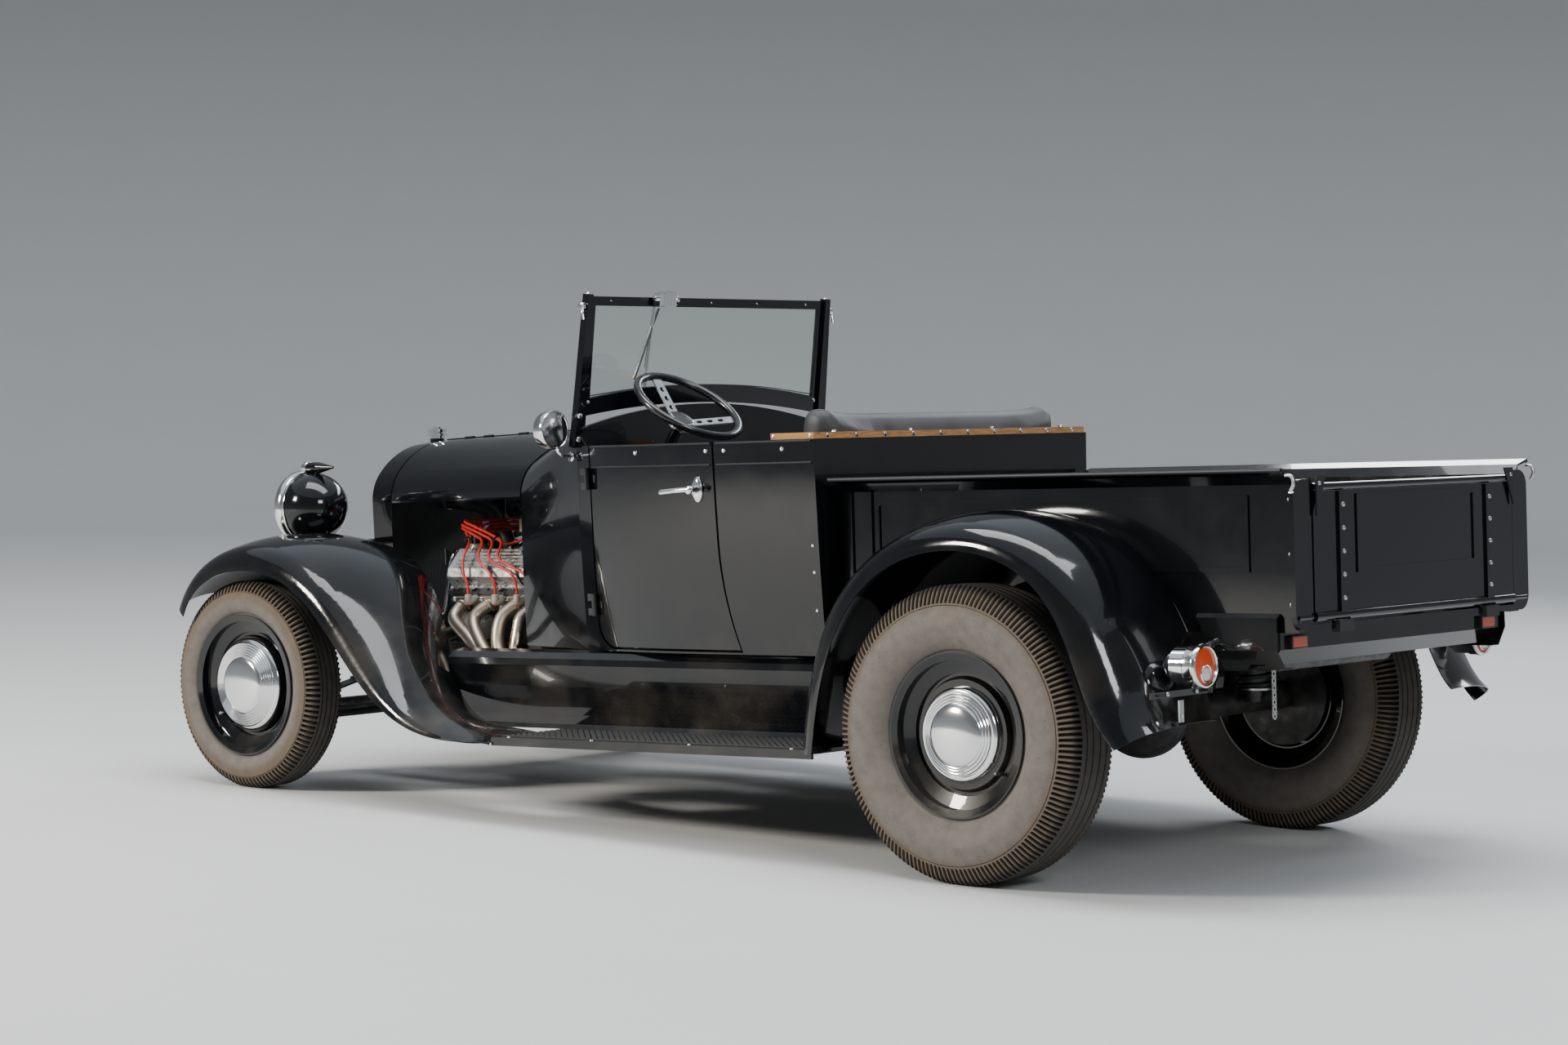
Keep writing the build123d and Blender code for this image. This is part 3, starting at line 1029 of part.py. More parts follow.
def make_suspension(frame, front_axle, rear_axle):
    """Front leaf spring with its radius rods, and the rear arms with coil-over dampers."""
    x, z = FRONT_AXLE_X, FRONT_TYRE_R
    top = z - 66
    front = block((x - 24, x + 24), (-60, 60), (top + 80, top + 125))
    for k in range(LEAVES):
        reach, edges = 450 - 92 * k, []
        for up in (k * LEAF_T, (k + 1) * LEAF_T):
            edges.append(ThreePointArc((-450, top + 26 + up), (0, top + 84 + up), (450, top + 26 + up)))
        edges += [Line(edges[0] @ 0, edges[1] @ 0), Line(edges[0] @ 1, edges[1] @ 1)]
        leaf = extrude(Plane.YZ.offset(x - 22) * make_face(edges), 44)
        front = front + (leaf & block((x - 30, x + 30), (-reach, reach), (0, 900)))
    perch = rod((x - 22, 450, top + 30), (x + 22, 450, top + 30), 14)
    perch = perch + rod((x, 450, top + 30), (x, 450, top - 8), 12)
    for one in both_sides(perch):
        front = front + one
    front = largest(front - frame - front_axle)
    rods = rod((x - 8, 480, z - 110), (x - 900, RAIL_Y, z + 27), 12)
    rods = rods + rod((x - 8, 480, z - 122), (x - 8, 480, z - 70), 16)
    rods = largest(rods - frame - front_axle)
    x, z = REAR_AXLE_X, REAR_TYRE_R
    arm = rod((x + 20, 455, z - 8), (x + 720, RAIL_Y + 10, z + 44), 13)
    back_x = x - 78
    damper = rod((back_x, 400, z + 6), (back_x, 400, z + 210), 24)
    damper = damper + rod((back_x, 400, z + 40), (back_x, 400, z + 170), 40)
    damper = damper + rod((x, 400, z), (back_x, 400, z + 16), 14)
    damper = damper + rod((back_x, 400, z + 196), (back_x, RAIL_Y, z + 196), 12)
    rear = [largest(arm - frame - rear_axle), largest(damper - frame - rear_axle)]
    return [front] + both_sides(rods), both_sides(rear[0]) + both_sides(rear[1])


def steering_axis():
    """The steering line's direction, up towards the driver, its hub and its foot beside the rail."""
    tilt = radians(STEER_TILT)
    axis = Vector(-cos(tilt), 0, sin(tilt))
    hub = Vector(STEER_X, STEER_Y, STEER_Z) - axis * STEER_DISH
    foot = hub - axis * ((hub.Z - RAIL_TOP_Z + STEER_BOX_DROP) / sin(tilt))
    return axis, hub, foot


def column_bore():
    """The hole that the column needs through the floor."""
    axis, hub, foot = steering_axis()
    return rod(tuple(foot + axis * 235), tuple(foot - axis * 65), COLUMN_R + 3)


def make_steering():
    """Steering column with its box, and the steering wheel with three drilled spokes."""
    axis, hub, foot = steering_axis()
    centre = hub + axis * STEER_DISH
    plane = Plane(origin=centre, x_dir=(0, 1, 0), z_dir=axis)
    hub_plane = Plane(origin=hub, x_dir=(0, 1, 0), z_dir=axis)
    wheel = plane * Torus(STEER_R, STEER_RIM_R)
    wheel = wheel + hub_plane * Pos(0, 0, 4) * Cylinder(34, 20)
    for turn in (0, 120, 240):
        spoke = Pos(STEER_R / 2 + 16, 0, 0) * Box(STEER_R - 16, 34, 4)
        for k in range(3):
            spoke = spoke - Pos(56 + 30 * k, 0, 0) * Cylinder(8, 10)
        lean = Rot(0, -22.5, 0)
        wheel = wheel + hub_plane * Rot(0, 0, turn + 30) * lean * spoke
    wheel = wheel - hub_plane * Pos(0, 0, -20) * Cylinder(9 + PIN_CLEAR, 50)
    column = rod(tuple(hub - axis * 20), tuple(foot), COLUMN_R) + rod(tuple(hub - axis * 30), tuple(hub), 9)
    rail_side = RAIL_Y + RAIL_W / 2 + SEAT_CLEAR
    box = block((foot.X - 55, foot.X + 55), (rail_side, rail_side + 36), (foot.Z - 28, foot.Z + 45))
    return column + box, wheel


def make_tank():
    """Fuel tank between the rails, behind the rear axle."""
    span, top = RAIL_Y - RAIL_W / 2 - 20, BED_BOTTOM_Z - SEAT_CLEAR
    tank = block((-600, -230), (-span, span), (top - 112, top))
    return fillet(tank.edges().filter_by(Axis.Y), 28)


def make_seats():
    """Bench cushion and back as plain solids."""
    cushion = block((790, 1180), (-470, 470), (SEAT_TOP_Z + SEAT_CLEAR, 760))
    back = Pos(696.3, 0, 970) * Rot(0, -6, 0) * Box(110, 1060, 430)
    cushion = fillet(cushion.edges().filter_by(Axis.Y), 30)
    back = fillet(back.edges().filter_by(Axis.Y), 40)
    return cushion, back


def save(name, shape):
    """Write one piece's file, its solids side by side."""
    if isinstance(shape, list):
        shape = Compound(children=shape)
    export_step(shape, f"parts/{name}.step")


def main():
    """Build every piece and write one file for each."""
    os.makedirs("parts", exist_ok=True)
    level = {}
    rear_fender, front_fender = fender(REAR_FENDER), fender(FRONT_FENDER)
    door, tub, cowl = make_cab()
    shell, core, cap, halves, hood_pin = make_nose()
    bed, gate, pan = make_bed()
    screen, glass, wiper = make_screen()
    column, steering_wheel = make_steering()
    engine, turning, covers, intake, cleaner, drive = make_engine()
    frame = make_frame(engine, front_fender)
    for one in both_sides(rear_fender):
        bed = bed - one
    apron, board = make_aprons(front_fender, rear_fender)
    lamp, marker = make_tail(pan)
    screen = largest(screen - cowl_solid())
    level["door_left"], level["door_right"] = both_sides(door)
    level["body_tub"] = [tub - column_bore(), make_shifter()]
    level["cowl"] = cowl + hood_pin
    level["radiator_shell"], level["radiator_core"], level["radiator_cap"] = shell, core, cap
    level.update(halves)
    level["rear_fender_left"], level["rear_fender_right"] = both_sides(rear_fender)
    level["front_fender_left"], level["front_fender_right"] = both_sides(front_fender)
    level["bed"], level["tailgate"], level["rear_pan"] = bed, gate, pan
    level["windshield_frame"], level["windshield_glass"] = screen, glass
    level["wiper"] = list((wiper - screen).solids())
    level["frame"] = frame
    body, coil, boots, leads = make_ignition(engine)
    level["distributor"], level["plug_leads"] = [body, coil], boots + leads
    level["engine"], level["valve_covers"] = [engine + make_dipstick(engine), turning], covers
    level["intake"], level["air_cleaner"] = intake, cleaner
    level["exhausts"] = both_sides(make_exhaust(engine))
    level["splash_aprons"], level["running_boards"] = both_sides(apron), both_sides(board)
    level["headlamps"], level["tail_lamps"] = make_headlamps(front_fender), both_sides(lamp)
    level["marker_lamps"] = both_sides(marker)
    level["mirror"] = make_mirror(cowl_solid())
    level["wood_rail"] = make_wood_rail()
    level["steering_column"], level["steering_wheel"] = column, steering_wheel
    level["seat_cushion"], level["seat_back"] = make_seats()
    level["fuel_tank"] = make_tank()
    placed = {}
    for name, shape in level.items():
        if isinstance(shape, list):
            placed[name] = [BODY_FRAME * one for one in shape]
        else:
            placed[name] = BODY_FRAME * shape
    corners = (
        ("rear", REAR_AXLE_X, REAR_TYRE_R, REAR_WHEEL_Y, REAR_RIM_W, REAR_TYRE_W, REAR_CAP_R),
        ("front", FRONT_AXLE_X, FRONT_TYRE_R, FRONT_WHEEL_Y, FRONT_RIM_W, FRONT_TYRE_W, FRONT_CAP_R),
    )
    for end, x, radius, y, rim_w, tyre_w, cap_r in corners:
        for side, hand in ((1, "left"), (-1, "right")):
            pieces = make_wheel(x, radius, side * y, rim_w, radius, tyre_w, cap_r, side)
            for kind, piece in zip(("tyre", "wheel", "hubcap"), pieces):
                placed[f"{kind}_{end}_{hand}"] = piece
    placed["knuckle_left"], placed["knuckle_right"] = both_sides(make_knuckle())
    placed["tie_rod"] = make_tie_rod()
    placed["plate_bracket"] = make_plate_bracket(placed["tail_lamps"][0])
    front_axle, rear_axle = make_axles()
    placed["front_axle"], placed["rear_axle"] = front_axle, rear_axle
    placed["driveline"] = largest((BODY_FRAME * drive) - rear_axle)
    springs = make_suspension(Compound(placed["frame"]), front_axle, rear_axle)
    placed["front_suspension"], placed["rear_suspension"] = springs
    for name, shape in placed.items():
        save(name, shape)


if __name__ == "__main__":
    main()
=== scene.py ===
"""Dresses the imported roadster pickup: finishes, tyres, trim, seat and the open engine.

Lengths are metres. The body frame is level with the sills: x forward from the rear axle, y to the
left, z up from the ground under that axle. BODY tips it nose down into the row frame.
"""
import bmesh
import bpy
import json
from math import atan2, cos, exp, hypot, pi, radians, sin
from mathutils import Matrix, Vector
from mathutils.bvhtree import BVHTree


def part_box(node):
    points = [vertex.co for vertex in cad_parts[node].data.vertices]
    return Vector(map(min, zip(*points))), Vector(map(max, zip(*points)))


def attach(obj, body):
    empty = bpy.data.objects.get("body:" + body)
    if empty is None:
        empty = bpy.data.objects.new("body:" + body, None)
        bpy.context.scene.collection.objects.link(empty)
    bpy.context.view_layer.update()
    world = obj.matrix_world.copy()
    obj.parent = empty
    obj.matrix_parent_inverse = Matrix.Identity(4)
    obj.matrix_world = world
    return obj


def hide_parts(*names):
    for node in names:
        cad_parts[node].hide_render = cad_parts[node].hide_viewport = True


bl_info = {
    "name": "Roadster Pickup Dresser",
    "version": (1, 0, 0),
    "blender": (4, 5, 0),
    "location": "3D View > Sidebar > Roadster",
    "description": "Finishes, tyres, trim, seat and engine detail for the roadster pickup",
    "category": "Object",
}

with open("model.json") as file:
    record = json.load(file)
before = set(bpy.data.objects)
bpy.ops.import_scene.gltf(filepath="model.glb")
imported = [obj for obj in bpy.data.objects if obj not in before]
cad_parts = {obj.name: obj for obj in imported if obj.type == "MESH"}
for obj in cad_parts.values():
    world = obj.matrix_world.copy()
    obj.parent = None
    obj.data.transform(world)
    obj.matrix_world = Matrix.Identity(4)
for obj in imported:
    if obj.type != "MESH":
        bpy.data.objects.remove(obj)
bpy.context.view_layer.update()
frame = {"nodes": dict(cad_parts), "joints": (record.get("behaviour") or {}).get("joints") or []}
NODES = frame["nodes"]
PIVOT = {joint["name"]: Vector(joint["pos_m"]) for joint in frame["joints"]}
SIDES = ((1, "left"), (-1, "right"))
RAKE = radians(3.0)
REAR_AXLE = Vector((PIVOT["spin_rear_left"].x, 0, PIVOT["spin_rear_left"].z))
BODY = Matrix.Translation(REAR_AXLE) @ Matrix.Rotation(RAKE, 4, "Y")
BODY = BODY @ Matrix.Translation((0, 0, -REAR_AXLE.z))
ROW = Matrix.Identity(4)
SHARP = radians(32)
# steering wheel: middle of the hub and the way its face looks
WHEEL_HUB = (1.291, 0.35, 1.1606)
WHEEL_AXIS = (-0.5664, 0, 0.8241)


class Build:
    """Gathers the solids of one piece, then turns them into an object on its body."""

    def __init__(self, *finishes):
        """Takes the names of its finishes."""
        self.mesh = bmesh.new()
        self.finishes = [coat(name) for name in finishes]
        self.current = 0

    def use(self, index):
        """Later solids take this finish."""
        self.current = index
        return self

    def grow(self, verts, faces):
        """Adds bare points and faces."""
        made = [self.mesh.verts.new(v) for v in verts]
        for face in faces:
            try:
                new = self.mesh.faces.new([made[i] for i in face])
            except ValueError:
                continue
            new.material_index = self.current
        return self

    def box(self, x, y, z, place=ROW):
        """A block from three (low, high) pairs."""
        size = [b - a for a, b in (x, y, z)]
        middle = [(a + b) / 2 for a, b in (x, y, z)]
        matrix = place @ Matrix.Translation(middle) @ Matrix.Diagonal((*size, 1))
        return self.adopt(bmesh.ops.create_cube(self.mesh, size=1, matrix=matrix))

    def adopt(self, made):
        """Gives new faces the finish in use."""
        for vert in made["verts"]:
            for face in vert.link_faces:
                face.material_index = self.current
        return self

    def rod(self, a, b, radius, end_radius=None, sides=20):
        """A round bar, or a cone, between two points."""
        a, b = Vector(a), Vector(b)
        turn = (b - a).to_track_quat("Z", "Y").to_matrix().to_4x4()
        matrix = Matrix.Translation((a + b) / 2) @ turn
        far = radius if end_radius is None else end_radius
        return self.adopt(bmesh.ops.create_cone(
            self.mesh, cap_ends=True, segments=sides, radius1=radius, radius2=far, depth=(b - a).length,
            matrix=matrix))

    def prism(self, outline, depth, place):
        """A flat outline in local x and y, made solid along local z."""
        count = len(outline)
        verts = [place @ Vector((x, y, z)) for z in (0, depth) for x, y in outline]
        sides = [(i, (i + 1) % count, count + (i + 1) % count, count + i) for i in range(count)]
        caps = [tuple(reversed(range(count))), tuple(range(count, 2 * count))]
        return self.grow(verts, sides + caps)

    def lathe(self, profile, place, steps=48, closed=False):
        """A (radius, height) profile turned about local z."""
        verts, faces, count = [], [], len(profile)
        for k in range(steps):
            c, s = cos(2 * pi * k / steps), sin(2 * pi * k / steps)
            verts += [place @ Vector((r * c, r * s, h)) for r, h in profile]
        for k in range(steps):
            here, there = k * count, (k + 1) % steps * count
            for i in range(count if closed else count - 1):
                j = (i + 1) % count
                faces.append((here + i, there + i, there + j, here + j))
        self.grow(verts, faces)
        bmesh.ops.remove_doubles(self.mesh, verts=self.mesh.verts[-len(verts):], dist=1e-7)
        return self

    def sweep(self, points, radius, sides=10, steps=6, flat=1.0, swell=None):
        """A round bar along a smooth line through the points, fuller or thinner by swell(share)."""
        line = smooth_line(points, steps)
        ahead = (line[1] - line[0]).normalized()
        side = ahead.orthogonal().normalized()
        verts, faces = [], []
        for i, point in enumerate(line):
            near, far = line[max(0, i - 1)], line[min(len(line) - 1, i + 1)]
            turned = (far - near).normalized()
            side = (side - turned * side.dot(turned)).normalized()
            other = turned.cross(side)
            full = radius * (swell(i / (len(line) - 1)) if swell else 1.0)
            for k in range(sides):
                a = 2 * pi * k / sides
                verts.append(point + side * cos(a) * full + other * sin(a) * full * flat)
        for i in range(len(line) - 1):
            for k in range(sides):
                j = (k + 1) % sides
                faces.append((i * sides + k, i * sides + j, (i + 1) * sides + j, (i + 1) * sides + k))
        faces.append(tuple(reversed(range(sides))))
        faces.append(tuple(range(len(verts) - sides, len(verts))))
        return self.grow(verts, faces)

    def bolt(self, point, direction, radius=0.005, height=0.004, sides=6):
        """A hexagon head on its washer, or a domed screw where it has more sides."""
        place = facing(point, direction)
        if sides == 6:
            self.lathe([(0, height * 0.3), (radius * 1.45, height * 0.3), (radius * 1.45, -0.001)], place, 14)
            return self.lathe(
                [(0, height), (radius * 0.85, height), (radius, height * 0.82), (radius, 0)], place, 6)
        return self.lathe(
            [(0, height), (radius * 0.5, height * 0.93), (radius * 0.85, height * 0.6), (radius, 0),
             (radius, -0.001)], place, sides)

    def patch(self, name, rows, direction, lift):
        """A skin with a closed rim, lifted off a CAD surface, from rows of starting points."""
        rows_here, across = len(rows), len(rows[0])
        hits = [surface(name, start, direction) for row in rows for start in row]
        verts = [place + normal * lift for place, normal in hits]
        verts += [place for place, _ in hits]
        low = rows_here * across
        faces = [(r * across + c, r * across + c + 1, (r + 1) * across + c + 1, (r + 1) * across + c)
                 for r in range(rows_here - 1) for c in range(across - 1)]
        ring = list(range(across)) + [r * across + across - 1 for r in range(1, rows_here)]
        ring += [(rows_here - 1) * across + c for c in range(across - 2, -1, -1)]
        ring += [r * across for r in range(rows_here - 2, 0, -1)]
        faces += [(a, b, b + low, a + low) for a, b in zip(ring, ring[1:] + ring[:1])]
        used = set(ring)
        keep = [i for i in range(2 * low) if i < low or i - low in used]
        names = {old: new for new, old in enumerate(keep)}
        return self.grow([verts[i] for i in keep], [tuple(names[i] for i in face) for face in faces])

    def place(self, name, body, slot, place=BODY, bevel=0.0, at=None):
        """Makes the object, shades it and lets it ride on its body."""
        self.mesh.transform(place)
        if at is not None:
            self.mesh.transform(Matrix.Translation(-Vector(at)))
        bmesh.ops.recalc_face_normals(self.mesh, faces=self.mesh.faces)
        for face in self.mesh.faces:
            face.smooth = True
        for edge in self.mesh.edges:
            if len(edge.link_faces) == 2 and edge.calc_face_angle(0) > SHARP:
                edge.smooth = False
        data = bpy.data.meshes.new(name)
        self.mesh.to_mesh(data)
        self.mesh.free()
        return settle(name, data, self.finishes, body, bevel, at)


def settle(name, data, finishes, body, bevel=0.0, at=None):
    """Links a finished mesh as a piece of the car."""
    thing = bpy.data.objects.new(name, data)
    for finish in finishes:
        data.materials.append(finish)
    bpy.context.scene.collection.objects.link(thing)
    if at is not None:
        thing.location = at
    if bevel:
        round_off(thing, bevel)
    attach(thing, body)
    return thing


def round_off(thing, width):
    """A small rounded edge that catches light."""
    soften = thing.modifiers.new("edge", "BEVEL")
    soften.width = width
    soften.segments = 2
    soften.limit_method = "ANGLE"
    soften.angle_limit = SHARP
    soften.harden_normals = False
    soften.use_clamp_overlap = True


def smooth_line(points, steps):
    """A line that runs smoothly through its points."""
    points = [Vector(p) for p in points]
    if steps < 2 or len(points) < 3:
        return points
    line = []
    for i in range(len(points) - 1):
        p0, p1 = points[max(0, i - 1)], points[i]
        p2, p3 = points[i + 1], points[min(len(points) - 1, i + 2)]
        for k in range(steps):
            t = k / steps
            line.append(0.5 * (
                2 * p1 + (p2 - p0) * t + (2 * p0 - 5 * p1 + 4 * p2 - p3) * t**2
                + (3 * p1 - p0 - 3 * p2 + p3) * t**3))
    return line + [points[-1]]


def arc_points(a, middle, b, count):
    """Points on the arc from a to b through the middle one, in a plane."""
    (ax, ay), (mx, my), (bx, by) = a, middle, b
    d = 2 * (ax * (my - by) + mx * (by - ay) + bx * (ay - my))
    sa, sm, sb = ax**2 + ay**2, mx**2 + my**2, bx**2 + by**2
    cx = (sa * (my - by) + sm * (by - ay) + sb * (ay - my)) / d
    cy = (sa * (bx - mx) + sm * (ax - bx) + sb * (mx - ax)) / d
    start, mid, end = (atan2(y - cy, x - cx) for x, y in (a, middle, b))
    radius = hypot(ax - cx, ay - cy)
    reach, half = (end - start) % (2 * pi), (mid - start) % (2 * pi)
    if half > reach:
        reach -= 2 * pi
    steps = [start + reach * k / count for k in range(count + 1)]
    return [(cx + radius * cos(t), cy + radius * sin(t)) for t in steps]


def facing(point, direction, spin=0.0):
    """A placement whose local z looks along the direction."""
    turn = Vector(direction).to_track_quat("Z", "Y").to_matrix().to_4x4()
    return Matrix.Translation(point) @ turn @ Matrix.Rotation(spin, 4, "Z")


TREES = {}


def surface(name, start, direction):
    """Where a line meets a CAD node: place and outward normal, all in the body frame."""
    if name not in TREES:
        data = NODES[name].data
        TREES[name] = BVHTree.FromPolygons([v.co for v in data.vertices], [p.vertices for p in data.polygons])
    back = BODY.inverted()
    place, normal, _, _ = TREES[name].ray_cast(BODY @ Vector(start), BODY.to_3x3() @ Vector(direction))
    if place is None:
        raise RuntimeError(f"no surface of {name} at {start}")
    normal = back.to_3x3() @ normal
    if normal.dot(Vector(direction)) > 0:
        normal.negate()
    return back @ place, normal


def toned(colour, factor, lift=0.0):
    """A darker or lighter tone of a colour."""
    return tuple(c * factor + lift for c in colour)


class Finish:
    """One procedural finish, built up round a Principled shader."""

    def __init__(self, name, colour, roughness, metallic=0.0, **sockets):
        self.material = bpy.data.materials.new(name)
        self.material.use_nodes = True
        self.material.diffuse_color = (*colour, 1)
        self.base = tuple(colour)
        self.tree = self.material.node_tree
        self.shader = self.tree.nodes["Principled BSDF"]
        self.set(self.shader, {"Base Color": (*colour, 1), "Roughness": roughness, "Metallic": metallic})
        self.set(self.shader, {key.replace("_", " "): value for key, value in sockets.items()})
        self.coords = self.tree.nodes.new("ShaderNodeTexCoord").outputs["Object"]
        self.normal = None

    @staticmethod
    def set(node, values):
        """Sets input sockets by name."""
        for key, value in values.items():
            node.inputs[key].default_value = value

    def link(self, a, b):
        """Joins an output to an input."""
        self.tree.links.new(a, b)

    def noise(self, scale, detail=4.0, stretch=(1, 1, 1)):
        """Soft cloudy pattern."""
        node = self.tree.nodes.new("ShaderNodeTexNoise")
        self.set(node, {"Scale": scale, "Detail": detail, "Roughness": 0.55})
        self.link(self.stretched(stretch), node.inputs["Vector"])
        return node.outputs["Fac"]

    def cells(self, scale, stretch=(1, 1, 1)):
        """Cell pattern: the distance to the nearest point."""
        node = self.tree.nodes.new("ShaderNodeTexVoronoi")
        self.set(node, {"Scale": scale})
        self.link(self.stretched(stretch), node.inputs["Vector"])
        return node.outputs["Distance"]

    def bands(self, scale, direction):
        """Parallel waves."""
        node = self.tree.nodes.new("ShaderNodeTexWave")
        node.bands_direction = direction
        self.set(node, {"Scale": scale})
        self.link(self.coords, node.inputs["Vector"])
        return node.outputs["Fac"]

    def stretched(self, stretch):
        """Object coordinates scaled by axis."""
        if tuple(stretch) == (1, 1, 1):
            return self.coords
        node = self.tree.nodes.new("ShaderNodeMapping")
        node.inputs["Scale"].default_value = stretch
        self.link(self.coords, node.inputs["Vector"])
        return node.outputs["Vector"]

    def ramp(self, value, *stops):
        """Turns a value into greys or colours: stops are (place, colour or grey)."""
        node = self.tree.nodes.new("ShaderNodeValToRGB")
        points = node.color_ramp.elements
        while len(points) < len(stops):
            points.new(0.5)
        for point, (place, colour) in zip(points, stops):
            point.position = place
            point.color = (*colour, 1) if isinstance(colour, tuple) else (colour, colour, colour, 1)
        self.link(value, node.inputs["Fac"])
        return node.outputs["Color"]

    def sum(self, operation, a, b):
        """Arithmetic on two values."""
        node = self.tree.nodes.new("ShaderNodeMath")
        node.operation = operation
        for socket, value in zip(node.inputs, (a, b)):
            if isinstance(value, (int, float)):
                socket.default_value = value
            else:
                self.link(value, socket)
        return node.outputs[0]

    def between(self, value, low, high, new_low=0.0, new_high=1.0):
        """Maps a range onto another, clamped."""
        node = self.tree.nodes.new("ShaderNodeMapRange")
        self.set(node, {"From Min": low, "From Max": high, "To Min": new_low, "To Max": new_high})
        self.link(value, node.inputs["Value"])
        return node.outputs["Result"]

    def mix(self, share, a, b):
        """Mixes two colours."""
        node = self.tree.nodes.new("ShaderNodeMix")
        node.data_type = "RGBA"
        for socket, value in zip((node.inputs[0], node.inputs[6], node.inputs[7]), (share, a, b)):
            if isinstance(value, tuple):
                socket.default_value = (*value, 1)
            elif isinstance(value, (int, float)):
                socket.default_value = value
            else:
                self.link(value, socket)
        return node.outputs[2]

    def axis(self, index):
        """One coordinate of the object's space."""
        node = self.tree.nodes.new("ShaderNodeSeparateXYZ")
        self.link(self.coords, node.inputs[0])
        return node.outputs[index]

    def colour(self, value):
        """Drives the base colour."""
        self.link(value, self.shader.inputs["Base Color"])
        return self

    def gloss(self, value):
        """Drives the roughness."""
        self.link(value, self.shader.inputs["Roughness"])
        return self

    def worn(self, scale, low, high):
        """Roughness that wanders between two values."""
        return self.gloss(self.between(self.noise(scale), 0.3, 0.7, low, high))

    def stained(self, noise, low, high, share, other):
        """Lets another colour cloud over the first by up to a share."""
        return self.colour(self.mix(self.between(noise, low, high, 0.0, share), self.base, other))

    def bump(self, height, strength, distance):
        """Adds fine relief on top of what is there."""
        node = self.tree.nodes.new("ShaderNodeBump")
        self.set(node, {"Strength": strength, "Distance": distance})
        self.link(height, node.inputs["Height"])
        if self.normal is not None:
            self.link(self.normal, node.inputs["Normal"])
        self.normal = node.outputs["Normal"]
        self.link(self.normal, self.shader.inputs["Normal"])
        return self


def body_paint(colour):
    """Deep black coach paint with faint dust low down."""
    paint = Finish(
        "body_black", colour, 0.1, Coat_Weight=0.55, Coat_Roughness=0.02, Specular_IOR_Level=0.22)
    height = paint.between(paint.axis(2), 0.25, 0.75, 1.0, 0.0)
    cloud = paint.between(paint.noise(6.0, 5.0), 0.42, 0.75)
    dust = paint.sum("MULTIPLY", paint.sum("MULTIPLY", height, cloud), 0.3)
    paint.colour(paint.mix(dust, tuple(colour), (0.12, 0.1, 0.075)))
    smear = paint.between(paint.noise(14.0, 6.0), 0.3, 0.8, 0.07, 0.2)
    paint.gloss(paint.sum("ADD", smear, paint.sum("MULTIPLY", dust, 0.8)))
    paint.bump(paint.noise(260.0, 1.0), 0.05, 0.0004)
    return paint.material


def chassis_paint(colour):
    """Satin black with road dust."""
    paint = Finish("chassis_black", colour, 0.45, Coat_Weight=0.2, Coat_Roughness=0.3)
    paint.stained(paint.noise(22.0, 7.0), 0.45, 0.75, 0.6, (0.1, 0.085, 0.07))
    paint.worn(40.0, 0.35, 0.7)
    paint.bump(paint.noise(300.0, 3.0), 0.15, 0.0006)
    return paint.material


def bright_chrome():
    """Chrome with faint haze and wipe marks."""
    chrome = Finish("chrome_trim", (0.86, 0.87, 0.88), 0.06, 1.0)
    chrome.gloss(chrome.between(chrome.noise(35.0, 5.0), 0.35, 0.8, 0.03, 0.16))
    chrome.stained(chrome.noise(60.0, 6.0), 0.62, 0.8, 0.35, (0.5, 0.48, 0.44))
    return chrome.material


def tyre_rubber(wall, shoulder, tread, radius):
    """Dusty rubber: grey-brown walls, browner shoulders and darker tread, with mould flecks, and painted
    shade near black in the grooves and shoulder notches.
    """
    rubber = Finish(f"tyre_rubber_{round(radius * 1000)}", wall, 0.85, Specular_IOR_Level=0.25)
    x, z = rubber.axis(0), rubber.axis(2)
    squares = rubber.sum("ADD", rubber.sum("MULTIPLY", x, x), rubber.sum("MULTIPLY", z, z))
    reach = rubber.sum("SQRT", squares, 0)
    wobble = rubber.sum("MULTIPLY", rubber.noise(9.0, 4.0), 0.012)
    reach = rubber.sum("ADD", reach, wobble)
    tone = rubber.ramp(
        rubber.between(reach, radius - 0.16, radius),
        (0.0, tuple(wall)), (0.62, tuple(wall)), (0.74, tuple(shoulder)), (0.93, tuple(shoulder)),
        (1.0, tuple(tread)))
    dirt = rubber.between(rubber.noise(30.0, 6.0), 0.4, 0.75, 0.0, 0.45)
    tone = rubber.mix(dirt, tone, toned(wall, 0.5))
    fleck = rubber.between(rubber.cells(75.0, (1.0, 1.0, 2.2)), 0.1, 0.13, 1.0, 0.0)
    patch = rubber.between(rubber.noise(17.0, 2.0), 0.52, 0.56)
    tone = rubber.mix(rubber.sum("MULTIPLY", fleck, patch), tone, (0.02, 0.017, 0.014))
    # painted shade: points marked in the grooves and shoulder notches go near black
    groove_shade = rubber.tree.nodes.new("ShaderNodeAttribute")
    groove_shade.attribute_name = "groove_shade"
    sunk_shade = rubber.sum("MULTIPLY", groove_shade.outputs["Fac"], 0.85)
    rubber.colour(rubber.mix(sunk_shade, tone, (0.008, 0.007, 0.006)))
    rubber.worn(50.0, 0.72, 0.95)
    rubber.bump(rubber.noise(420.0, 3.0), 0.2, 0.0006)
    return rubber.material


def clear_glass(name="glass", flutes=0.0):
    """Thin greenish pane, or a fluted lens."""
    glass = Finish(name, (0.93, 0.98, 0.95), 0.0, IOR=1.45, Transmission_Weight=1.0)
    glass.gloss(glass.between(glass.noise(8.0, 6.0), 0.5, 0.8, 0.0, 0.05))
    if flutes:
        glass.bump(glass.bands(flutes, "Y"), 0.5, 0.0012)
    return glass.material


